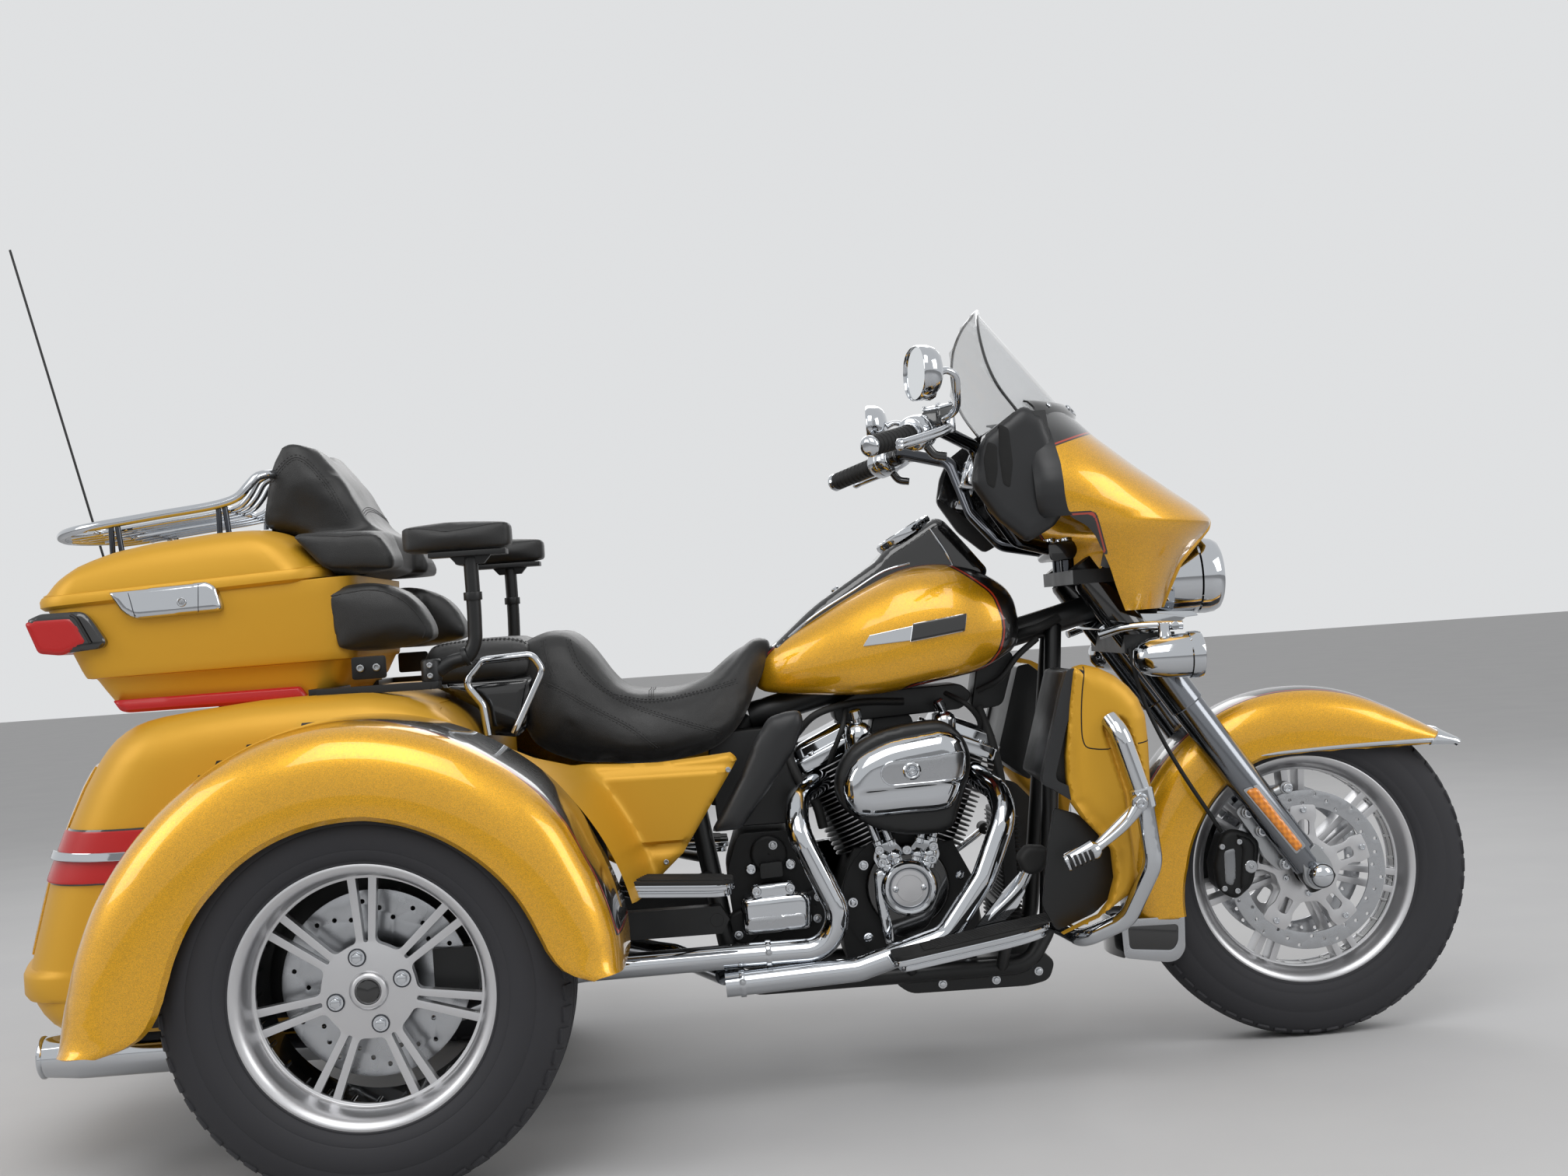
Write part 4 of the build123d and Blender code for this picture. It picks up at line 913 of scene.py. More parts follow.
class Repeater:
    """Sets copies of one small form at many points, with Geometry Nodes."""

    TREE = "copies_at_points"

    @classmethod
    def tree(cls) -> bpy.types.NodeTree:
        """The node group: a copy of Pattern at each vertex, turned and sized by the vertex's attributes.

        Returns:
            The node group, made once.
        """
        known = bpy.data.node_groups.get(cls.TREE)
        if known is not None:
            return known
        tree = bpy.data.node_groups.new(cls.TREE, "GeometryNodeTree")
        for name, kind in (("Geometry", "NodeSocketGeometry"), ("Pattern", "NodeSocketObject"),
                           ("Size", "NodeSocketFloat"), ("Spin", "NodeSocketFloat"), ("Seed", "NodeSocketInt"),
                           ("Material", "NodeSocketMaterial")):
            tree.interface.new_socket(name=name, in_out="INPUT", socket_type=kind)
        tree.interface.new_socket(name="Geometry", in_out="OUTPUT", socket_type="NodeSocketGeometry")
        make, link = tree.nodes.new, tree.links.new
        given, pattern, copies = make("NodeGroupInput"), make("GeometryNodeObjectInfo"), make(
            "GeometryNodeInstanceOnPoints")
        turn, size = make("GeometryNodeInputNamedAttribute"), make("GeometryNodeInputNamedAttribute")
        turn.data_type, size.data_type = "FLOAT_VECTOR", "FLOAT"
        turn.inputs["Name"].default_value, size.inputs["Name"].default_value = "turn", "size"
        scale, chance, about = make("ShaderNodeMath"), make("FunctionNodeRandomValue"), make("ShaderNodeCombineXYZ")
        scale.operation = "MULTIPLY"
        spin = make("FunctionNodeRotateRotation")
        spin.rotation_space = "LOCAL"
        real, paint, end = make("GeometryNodeRealizeInstances"), make("GeometryNodeSetMaterial"), make(
            "NodeGroupOutput")
        link(given.outputs["Pattern"], pattern.inputs["Object"])
        link(given.outputs["Geometry"], copies.inputs["Points"])
        link(pattern.outputs["Geometry"], copies.inputs["Instance"])
        link(size.outputs["Attribute"], scale.inputs[0])
        link(given.outputs["Size"], scale.inputs[1])
        link(scale.outputs[0], copies.inputs["Scale"])
        link(given.outputs["Seed"], chance.inputs["Seed"])
        link(given.outputs["Spin"], chance.inputs[3])
        link(chance.outputs[1], about.inputs["Z"])
        link(turn.outputs["Attribute"], spin.inputs[0])
        link(about.outputs[0], spin.inputs[1])
        link(spin.outputs[0], copies.inputs["Rotation"])
        link(copies.outputs[0], real.inputs[0])
        link(real.outputs[0], paint.inputs["Geometry"])
        link(given.outputs["Material"], paint.inputs["Material"])
        link(paint.outputs[0], end.inputs[0])
        return tree

    @classmethod
    def at(cls, name: str, body: str, pattern: Form, points: Points, ways: Points, finish: Finish,
           slot: str | None = None, sizes: float | Sequence[float] = 1.0, tops: Points | None = None,
           spin: float = 0.0, seed: int = 7, bevel: float = 0.0) -> bpy.types.Object:
        """Makes one piece of many copies.

        Args:
            name: the piece's name.
            body: the CAD body that carries it.
            pattern: the small form, about the origin, its outward side along +z.
            points: where the copies stand, in model millimetres.
            ways: each copy's outward direction.
            finish: the copies' finish.
            slot: the record's material slot.
            sizes: the copies' sizes, one number or one for each.
            tops: each copy's +x direction, where it matters.
            spin: how far in radians a copy may turn about its own axis by chance.
            seed: the seed of that chance.
            bevel: width in millimetres of the rounding of the form's edges.

        Returns:
            The piece.
        """
        at, out = np.asarray(points, float), np.asarray(ways, float)
        tops = [frame_about(way)[0] for way in out] if tops is None else np.asarray(tops, float)
        turns = []
        for way, top in zip(out, tops):
            z = Vector(way).normalized()
            x = (Vector(top) - z * Vector(top).dot(z)).normalized()
            turns.append(tuple(Matrix((x, z.cross(x), z)).transposed().to_euler()))
        carrier_mesh = bpy.data.meshes.new(name + "_points")
        carrier_mesh.from_pydata(to_row(at).tolist(), [], [])
        carrier_mesh.attributes.new("turn", "FLOAT_VECTOR", "POINT").data.foreach_set("vector",
            np.array(turns, np.float32).ravel())
        size = np.broadcast_to(np.asarray(sizes, np.float32), (len(at),)).copy()
        carrier_mesh.attributes.new("size", "FLOAT", "POINT").data.foreach_set("value", size)
        carrier = bpy.data.objects.new(name + "_carrier", carrier_mesh)
        sample = bpy.data.objects.new(name + "_pattern", pattern.mesh(name + "_pattern", local=True, bevel=bevel,
                steps=1))
        for o in (carrier, sample):
            bpy.context.scene.collection.objects.link(o)
        tree = cls.tree()
        modifier = carrier.modifiers.new("copies", "NODES")
        modifier.node_group = tree
        ids = {item.name: item.identifier for item in tree.interface.items_tree if item.in_out == "INPUT"}
        values = {"Pattern": sample, "Size": 1.0, "Spin": spin, "Seed": seed, "Material": finish.material()}
        for key, value in values.items():
            modifier[ids[key]] = value
        carrier.update_tag()
        bpy.context.view_layer.update()
        graph = bpy.context.evaluated_depsgraph_get()
        mesh = bpy.data.meshes.new_from_object(carrier.evaluated_get(graph))
        mesh.name = name
        for o in (carrier, sample):
            bpy.data.objects.remove(o)
        shade(mesh, 35.0)
        return settle(mesh, name, body, [finish], slot)


def ring_points(count: int, radius: float, centre: Sequence[float], axis: Sequence[float] = LEFTWARD,
                start: float = 0.0) -> np.ndarray:
    """Points evenly round a circle about an axis; about (0, 1, 0), angles run from +x to +z.

    Args:
        count: how many points are wanted.
        radius: the circle's radius.
        centre: its centre.
        axis: the axis that it goes about.
        start: the angle of the first point in degrees.

    Returns:
        The points, one a row.
    """
    u, v, _ = frame_about(axis)
    if tuple(np.abs(axis)) == LEFTWARD:
        u, v = np.array([1.0, 0, 0]), np.array([0, 0, 1.0])
    a = np.radians(start) + np.arange(count) * 2 * math.pi / count
    return np.asarray(centre, float) + radius * (np.cos(a)[:, None] * u + np.sin(a)[:, None] * v)


class Fasteners:
    """Small turned and pressed forms that repeat."""

    @staticmethod
    def hex_bolt() -> Form:
        """A bolt head of 10 mm across on its washer."""
        form = Form().lathe([(0.1, 0), (8, 0), (8, 1.4), (0.1, 1.4)], (0, 0, 0), UPWARD, steps=24)
        return form.lathe([(0.1, 1.2), (5.8, 1.2), (5.8, 5.6), (4.9, 6.4), (0.1, 6.4)], (0, 0, 0), UPWARD, steps=6)

    @staticmethod
    def cap_screw() -> Form:
        """A round screw head of 10 mm with a socket."""
        outline = [(0.1, 0), (5, 0), (5, 4), (4.4, 4.8), (2.6, 4.8), (2.4, 4.6), (2.4, 2.2), (0.1, 2.0)]
        return Form().lathe(outline, (0, 0, 0), UPWARD, steps=18)

    @staticmethod
    def rivet() -> Form:
        """A low round head of 8 mm."""
        return Form().lathe([(0.1, 0), (4, 0), (3.6, 1.1), (2.4, 1.9), (0.1, 2.3)], (0, 0, 0), UPWARD, steps=16)

    @staticmethod
    def stitch() -> Form:
        """A thread 4.6 mm long lying on a surface, along +x."""
        rows = [(-2.3, 0.15), (-1.7, 0.55), (0.0, 0.7), (1.7, 0.55), (2.3, 0.15)]
        return Form().tube([(x, 0, 0.1) for x, _ in rows], [r for _, r in rows], sides=6)


# Soft goods


@dataclass(frozen=True)
class Padding:
    """How a padded piece is filled.

    Attributes:
        voxel: size in millimetres of the faces it is simulated with.
        pressure: the filling's pressure.
        cap: how far in millimetres the cover may move outward.
        fill: how full it is, from 0 to 1; not used.
    """

    STEPS = 20
    QUALITY = 5
    TENSION = 12.0
    EVENING = 0.5
    EVENINGS = 2

    voxel: float = 7.0
    pressure: float = 4.0
    cap: float = 8.0
    fill: float = 0.7

    def stuff(self, form: Form, name: str) -> bpy.types.Mesh:
        """Swells a closed form as a stuffed cover and returns its mesh.

        Args:
            form: the closed form of the cover.
            name: the mesh's name.

        Returns:
            The mesh of the filled cover.
        """
        piece = bpy.data.objects.new(name + "_work", form.mesh(name))
        bpy.context.scene.collection.objects.link(piece)
        remesh = piece.modifiers.new("remesh", "REMESH")
        remesh.mode, remesh.voxel_size = "VOXEL", self.voxel / 1000.0
        self._bake(piece)
        start = self._points(piece.data)
        cloth = piece.modifiers.new("cover", "CLOTH")
        cloth.settings.use_pressure = True
        cloth.settings.uniform_pressure_force = self.pressure
        cloth.settings.effector_weights.gravity = 0.0
        cloth.settings.quality = self.QUALITY
        cloth.settings.tension_stiffness = self.TENSION
        scene = bpy.context.scene
        for step in range(1, self.STEPS + 1):
            scene.frame_set(step)
        self._bake(piece)
        scene.frame_set(1)
        moved = self._points(piece.data) - start
        far = np.linalg.norm(moved, axis=1, keepdims=True)
        moved *= np.minimum(1.0, self.cap / 1000.0 / np.maximum(far, 1e-9))
        piece.data.vertices.foreach_set("co", (start + moved).ravel())
        even_out = piece.modifiers.new("even_out", "SMOOTH")
        even_out.factor, even_out.iterations = self.EVENING, self.EVENINGS
        self._bake(piece)
        mesh = piece.data
        bpy.data.objects.remove(piece)
        return mesh

    @staticmethod
    def _points(mesh: bpy.types.Mesh) -> np.ndarray:
        """The places of a mesh's points."""
        at = np.zeros(len(mesh.vertices) * 3)
        mesh.vertices.foreach_get("co", at)
        return at.reshape(-1, 3)

    @staticmethod
    def _bake(piece: bpy.types.Object) -> None:
        """Puts the modifiers' result in the mesh.

        Args:
            piece: the object whose modifiers are spent.
        """
        bpy.context.view_layer.update()
        graph = bpy.context.evaluated_depsgraph_get()
        mesh = bpy.data.meshes.new_from_object(piece.evaluated_get(graph))
        piece.modifiers.clear()
        piece.data = mesh

    def cushion(self, form: Form, name: str, body: str, nodes: Sequence[str] = (),
                finish: Finish = LEATHER) -> bpy.types.Object:
        """Args:
            form: the closed form of the cover.
            name: the piece's name.
            body: the CAD body that carries it.
            nodes: CAD nodes that it stands for.
            finish: what it is covered with.

        Returns:
            The piece.
        """
        mesh = self.stuff(form, name)
        mesh.name = name
        shade(mesh, 60.0)
        piece = settle(mesh, name, body, [finish], "seat_leather", nodes)
        return piece


class Surface:
    """A finished piece's surface, for what is laid on it."""

    def __init__(self, piece: bpy.types.Object) -> None:
        """Reads the faces of a finished piece.

        Args:
            piece: the piece that is laid on.
        """
        mesh = piece.data
        self.tree = BVHTree.FromPolygons([v.co.copy() for v in mesh.vertices],
                                         [tuple(p.vertices) for p in mesh.polygons])

    def drop(self, points: Points, way: Sequence[float]) -> tuple[np.ndarray, np.ndarray]:
        """Where points land when they travel along a direction, and the surface's normals there.

        Args:
            points: starting points in model millimetres, in front of the surface.
            way: the direction they travel in.

        Returns:
            The landing points and the normals; points that miss are left out.
        """
        found, normals = [], []
        towards = Vector(way).normalized()
        for point in to_row(np.asarray(points, float)):
            spot, normal, _, _ = self.tree.ray_cast(Vector(point), towards)
            if spot is not None:
                found.append([spot.x * 1000 - SHIFT, spot.y * 1000, spot.z * 1000])
                normals.append(list(normal if normal.dot(towards) < 0 else -normal))
        return np.array(found), np.array(normals)

    def patch(self, corners: Points, rows: int, cols: int, way: Sequence[float], lift: float) -> np.ndarray:
        """A grid of points over four corners, dropped on the surface and lifted off it.

        Args:
            corners: four corners in front of the surface.
            rows: points along the first side.
            cols: points along the next side.
            way: the direction that the points are dropped in.
            lift: how far they stand off the surface.

        Returns:
            The points by row and column.
        """
        a, b, c, d = np.asarray(corners, float)
        u, v = np.meshgrid(np.linspace(0, 1, cols), np.linspace(0, 1, rows))
        u, v = u[..., None], v[..., None]
        flat = (a * (1 - u) * (1 - v) + b * u * (1 - v) + c * u * v + d * (1 - u) * v).reshape(-1, 3)
        found, normals = self.drop(flat, way)
        return (found + normals * lift).reshape(rows, cols, 3)


@dataclass(frozen=True)
class Seam:
    """A sewn seam with a row of stitches along each side.

    Attributes:
        gap: distance of each row from the seam; 0 for a single row on it.
        pitch: distance between stitches.
        welt: radius of the cord sewn in the seam.
    """

    gap: float = 4.5
    pitch: float = 6.5
    welt: float = 1.3

    def lay(self, name: str, piece: bpy.types.Object, body: str, path: Points, way: Sequence[float]) -> None:
        """Sews along a path that is dropped onto a piece.

        Args:
            name: the seam's name.
            piece: the padded piece.
            body: the CAD body that carries it.
            path: points in model millimetres in front of the piece.
            way: the direction in which they drop.
        """
        length = float(np.linalg.norm(np.diff(np.asarray(path, float), axis=0), axis=1).sum())
        line, normals = Surface(piece).drop(smooth(path, max(8, int(length / self.pitch))), way)
        if len(line) < 4:
            return
        if self.welt:
            Form().tube(line - normals * self.welt * 0.35, self.welt, sides=8).build(f"{name}_welt", body, [THREAD],
                "seat_leather")
        along = np.gradient(line, axis=0)
        along /= np.maximum(np.linalg.norm(along, axis=1, keepdims=True), 1e-9)
        across = np.cross(normals, along)
        rows = [across * self.gap, across * -self.gap] if self.gap else [across * 0]
        points = np.vstack([line + shift + normals * 0.25 for shift in rows])
        Repeater.at(f"{name}_stitches", body, Fasteners.stitch(), points, np.vstack([normals] * len(rows)), THREAD,
                    "seat_leather", tops=np.vstack([along] * len(rows)))


# Rear body


def table(rows: Points, at: np.ndarray | float) -> np.ndarray:
    """Values between a table's (place, value) rows, whose places rise."""
    rows = np.asarray(rows, float)
    return np.interp(at, rows[:, 0], rows[:, 1])


@dataclass(frozen=True)
class RearFender:
    """Bulbous fender over a rear wheel, its crown banded in a second colour.

    Attributes:
        centre: the (x, z) point that its angles are taken about.
        out: distance of its outer face from the middle.
        join: distance of its inner edge from the middle.
        thick: thickness of its sheet.
    """

    centre: tuple[float, float] = (-28.0, 300.0)
    out: float = 697.0
    join: float = 430.4
    thick: float = 4.0

    OPENING = ((4.5, 388), (5.5, 371), (6.6, 357), (8.2, 345), (10.5, 336), (14, 329), (20, 325), (30, 323),
               (40, 319), (50, 315), (60, 312), (70, 309), (80, 306), (90, 300), (105, 292), (120, 284), (130, 278),
               (141, 275), (152, 272), (163, 271), (170, 274), (174.6, 280), (178, 289), (180.8, 303), (182.6, 322),
               (183.8, 346), (184.4, 370))
    CROWN = ((4.5, 431), (12, 438), (21, 440), (29.5, 442), (37, 449), (45, 452), (62, 452), (80, 450), (90, 448),
             (104, 442), (113, 437), (123, 431), (134, 427), (143, 426), (151, 427), (160, 428), (171, 433),
             (178, 440), (184.4, 447))
    SECTION = ((0.04, 14.0), (0.0, 7.0), (0.03, 2.0), (0.10, 0.3), (0.22, 0.0), (0.36, 0.8), (0.50, 3.0),
               (0.62, 7.0), (0.73, 14.0), (0.82, 24.0), (0.89, 37.0), (0.94, 54.0), (0.97, 78.0), (0.985, 108.0),
               (0.995, 150.0), (1.0, 205.0), (1.0, 266.6))
    BAND = ((8, 656), (30, 650), (50, 644), (65, 634), (75, 620), (84, 596), (91, 560), (97, 505), (102, 440),
            (106, 380))

    def surface(self, angle: float, share: float, inward: float) -> np.ndarray:
        """A point of the right-hand fender.

        Args:
            angle: its angle about the axle in degrees.
            share: its share of the way from the opening to the crown.
            inward: how far it stands inside the outer face.

        Returns:
            The point.
        """
        low, high = table(self.OPENING, angle), table(self.CROWN, angle)
        radius = low + share * (high - low)
        a = math.radians(angle)
        return np.array([self.centre[0] + radius * math.cos(a), -(self.out - inward),
                         self.centre[1] + radius * math.sin(a)])

    def grid(self) -> np.ndarray:
        """Points of the right-hand fender's outside, from its front end to its rear end.

        Returns:
            The points by row and column.
        """
        angles = np.concatenate([np.linspace(4.5, 12, 9), np.linspace(14, 170, 84), np.linspace(171.5, 184.4, 16)])
        profile = smooth([(share * 130, inward) for share, inward in self.SECTION], 46) / (130, 1)
        profile[:, 1] = np.minimum(profile[:, 1], self.out - self.join)
        return np.array([[self.surface(a, s, w) for s, w in profile] for a in angles])

    def bands(self, at: np.ndarray) -> np.ndarray:
        """How far each point is past the second colour's edge.

        Args:
            at: points in model millimetres, one a row.

        Returns:
            One distance for each point.
        """
        x, z = at[:, 0] - self.centre[0], at[:, 2] - self.centre[1]
        angle = np.degrees(np.arctan2(z, x))
        inside = table(self.BAND, angle) - np.abs(at[:, 1])
        return np.minimum(inside, (angle - 11.5) * 7.6)

    def build(self) -> None:
        """Makes both fenders with their side reflectors."""
        for side, name in SIDES:
            form = Form().skin(self.grid(), self.thick, lining=1)
            if side == LEFT:
                form.other_side()
            form.build(f"rear_fender_{name}", "chassis", [GOLD_BANDED, SATIN_BLACK], "gold_paint",
                       ["rear_fenders"] if side == RIGHT else (), bands=self.bands)
            self._reflector(side, name)

    def _reflector(self, side: int, name: str) -> None:
        """A long lens with round ends in a thin dark seat.

        Args:
            side: RIGHT or LEFT.
            name: the side as a word, for the piece names.
        """
        outline = rounded([(-49, 620), (40, 616), (41, 645), (-48, 649)], 14.4, 8)
        lens = Form().pillow(outline, self.out - 1.5, 2.0, 4.0, reach=7, pitch=5, side=side)
        lens.build(f"side_reflector_{name}", "chassis", [RED_LENS], "red_lens")
        seat = rounded([(-52, 617), (43, 613), (44, 648), (-51, 652)], 17, 8)
        levels = span(side, self.out - 4, self.out + 1)
        Form().plate(seat, *levels).build(f"side_reflector_seat_{name}", "chassis", [GLOSS_BLACK], "gloss_black",
                                          bevel=1)


@dataclass(frozen=True)
class TrunkShell:
    """Rounded trunk between the rear wheels, with its doorway and door.

    Attributes:
        half: half of its width.
        crown: how far its back bulges in the middle.
        front: where it ends towards the seat.
        door_half: half of the doorway's width.
        door_low: the doorway's sill.
        door_high: the doorway's top.
        wall: thickness of its sheet.
    """

    half: float = 430.0
    crown: float = 70.0
    front: float = 150.0
    door_half: float = 325.0
    door_low: float = 375.0
    door_high: float = 690.0
    wall: float = 5.0

    BACK = ((255, -541), (270, -558), (287, -573), (303, -582), (312, -586), (315, -598), (319, -601), (348, -601),
            (354, -598), (358, -589), (364, -586), (511, -543), (600, -504), (653, -478), (700, -449), (725, -434),
            (750, -416))
    DECK = ((-700, 738), (-500, 748), (-405, 758), (-300, 770), (-208, 778), (-100, 781), (-9, 780), (50, 768),
            (95, 750), (150, 716), (200, 680))
    SHOULDER = ((700, 1.0), (714, 4.0), (727, 10.0), (737, 19.0), (744, 31.0), (748, 47.0), (750, 70.0), (750, 110.0),
                (750, 170.0), (750, 240.0), (750, 320.0))

    def plan(self, back: float, inset: float) -> np.ndarray:
        """The outline at one height, from the middle of the back round the right side to the front and home again.

        Args:
            back: how far back the outline reaches.
            inset: how far it is drawn in.

        Returns:
            The points of the outline.
        """
        ys = np.linspace(0, self.door_half, 14)
        rear = [(back - self.crown * (1 - (y / 400) ** 2), y) for y in ys]
        corner = smooth([(rear[-1][0], self.door_half), (back - 12, 358), (back + 4, 387), (back + 28, 410),
                         (back + 60, 424), (back + 100, self.half)], 15)
        side = [(x, self.half) for x in np.linspace(back + 125, self.front - 40, 22)]
        nose = [(self.front - 12, self.half - 4), (self.front, self.half - 16), (self.front, 300), (self.front, 200),
                (self.front, 100), (self.front, 0)]
        half = np.array([*rear[:-1], *map(tuple, corner), *side, *nose])
        loop = np.vstack([half * (1, -1), half[-2:0:-1]])
        ahead = np.roll(loop, -1, axis=0) - np.roll(loop, 1, axis=0)
        out = np.stack([-ahead[:, 1], ahead[:, 0]], axis=1)
        out /= np.linalg.norm(out, axis=1, keepdims=True)
        moved = loop + out * inset
        limit = max(20.0, self.half - inset)
        moved[:, 1] = np.clip(moved[:, 1], -limit, limit)
        return moved

    def row(self, level: float, inset: float = 0.0) -> np.ndarray:
        """Points round the trunk at a nominal height.

        Args:
            level: the nominal height.
            inset: how far it is drawn in.

        Returns:
            The points of the row.
        """
        loop = self.plan(float(table(self.BACK, level)), inset)
        top = table(self.DECK, loop[:, 0])
        z = 255 + (level - 255) * np.where(loop[:, 0] < -300,
                                           1.0 + (top - 750) / 495 * np.clip((level - 600) / 150, 0, 1),
                                           (top - 255) / 495)
        return np.column_stack([loop, z])

    def rows(self) -> np.ndarray:
        """All rows, from the bottom to the middle of the deck.

        Returns:
            The points by row.
        """
        low = [(255, 30), (256, 12), (262, 3), (272, 0), (287, 0), (303, 0), (312, 0), (315, 0), (319, 0), (334, 0),
               (348, 0), (354, 0), (358, 0), (364, 0), (self.door_low, 0)]
        wall = [(z, 0) for z in np.linspace(self.door_low, self.door_high, 18)[1:]]
        return np.array([self.row(z, inset) for z, inset in (*low, *wall, *self.SHOULDER)])

    def build(self) -> None:
        """Makes the shell, its lining, the door and the lamps."""
        self._body()
        self._door()
        for side, name in SIDES:
            self._lamp(side, name)

    def _body(self) -> None:
        """The shell round the trunk with its openings, dark by the wheels and inside, and its floor."""
        points = self.rows()
        middle = (points + np.roll(points, -1, axis=1))[:-1] / 2
        x, y, z = middle[..., 0], np.abs(middle[..., 1]), (points[1:, :, 2] + points[:-1, :, 2]) / 2
        doorway = (x < -440) & (y < self.door_half) & (z > self.door_low) & (z < self.door_high)
        axle = (y > self.half - 5) & (np.hypot(x, z - 323) < 130)
        front = (x > self.front - 60) & (y < self.half - 4) & (z < 600)
        form = Form().skin(points, self.wall, wrap=True, keep=~(doorway | axle | front), lining=1)
        lid = points[-1]
        form.paint(0).add(lid, [tuple(range(len(lid)))])
        body = form.build("trunk_shell", "chassis", [GOLD, SATIN_BLACK], "gold_paint", ["trunk_body"], angle=40)
        wheel_side = [p for p in body.data.polygons if abs(p.normal.y) > 0.95 and self._by_wheel(p.center)]
        for face in wheel_side:
            face.material_index = 1
        inside = Form().plate([(-540, 262), (-132, 262), (-132, 560), (-138, 560), (-138, 272), (-540, 272)], -396,
                              396)
        inside.build("trunk_floor_lining", "chassis", [SATIN_BLACK], "black_plastic", bevel=1)

    @staticmethod
    def _by_wheel(centre: Vector) -> bool:
        """Whether a point in metres lies in the right or left wheel's room."""
        return math.hypot(centre.x * 1000 - SHIFT + 28, centre.z * 1000 - 300) < 444 and abs(centre.y) > 0.42

    def _door(self) -> None:
        """The door's skin, standing a little proud, with a dark middle and a fine line."""
        ys = np.linspace(-self.door_half + 3, self.door_half - 3, 48)
        zs = np.linspace(self.door_low + 3, self.door_high - 3, 30)
        grid = []
        for z in zs:
            back = float(table(self.BACK, z))
            proud = [2.5 * min(1.0, min(self.door_half - abs(y), z - self.door_low, self.door_high - z) / 14)
                     for y in ys]
            grid.append([(back - self.crown * (1 - (y / 400) ** 2) - p, -y, z) for y, p in zip(ys, proud)])

        def bands(at: np.ndarray) -> np.ndarray:
            """Each point's distance past the edge of the second colour."""
            edge = np.minimum(self.door_half - np.abs(at[:, 1]),
                              np.minimum(at[:, 2] - self.door_low, self.door_high - at[:, 2]))
            return edge - 30.0

        form = Form().skin(np.array(grid), 8.0)
        for y in (-90, 90):
            form.bar((-664, y - 14, 366), (-664, y + 14, 366), [(0, 7), (1, 7)], 16)
            form.plate([(-672, 368), (-656, 368), (-650, 392), (-664, 394)], y - 13, y + 13)
        form.build("trunk_door_skin", "door", [GOLD_BANDED], "gold_paint", ["trunk_door"], bands=bands, bevel=0.8)

    def _patch(self, low: float, high: float, first: int, last: int, proud: float, rows: int = 12) -> np.ndarray:
        """Points over the trunk's corner between two heights and two columns, standing proud of it."""
        return np.array([self.row(z, -proud)[first:last] for z in np.linspace(low, high, rows)])

    def _lamp(self, side: int, name: str) -> None:
        """A red lens wrapped round the corner, split by a bright bar, its front end trimmed.

        Args:
            side: RIGHT or LEFT.
            name: the side as a word, for the piece names.
        """
        def made(form: Form, label: str, finish: Finish, slot: str, node: Sequence[str] = ()) -> None:
            """Builds one piece of the lamp.

            Args:
                form: its form.
                label: the piece's name without its side.
                finish: its finish.
                slot: the record's material slot.
                node: CAD nodes that it stands for.
            """
            if side == LEFT:
                form.other_side()
            form.build(f"{label}_{name}", "chassis", [finish], slot, node, bevel=1.2)

        lens = Form().skin(self._patch(504, 541, 15, 29, 5.5), 7.0).skin(self._patch(553, 588, 15, 31, 5.5), 7.0)
        made(lens, "tail_lamp_lens", RED_LENS, "red_lens", ["rear_lamps"] if side == RIGHT else ())
        bar = Form().skin(self._patch(540, 554, 15, 32, 9.0), 11.0)
        bar.skin(self._patch(503, 541, 29, 32, 7.0), 9.0).skin(self._patch(553, 589, 31, 33, 7.0), 9.0)
        made(bar, "tail_lamp_trim", CHROME, "chrome")
        made(Form().skin(self._patch(501, 591, 14, 33, 2.5), 5.0), "tail_lamp_seat", GLOSS_BLACK, "gloss_black")


# Wheels


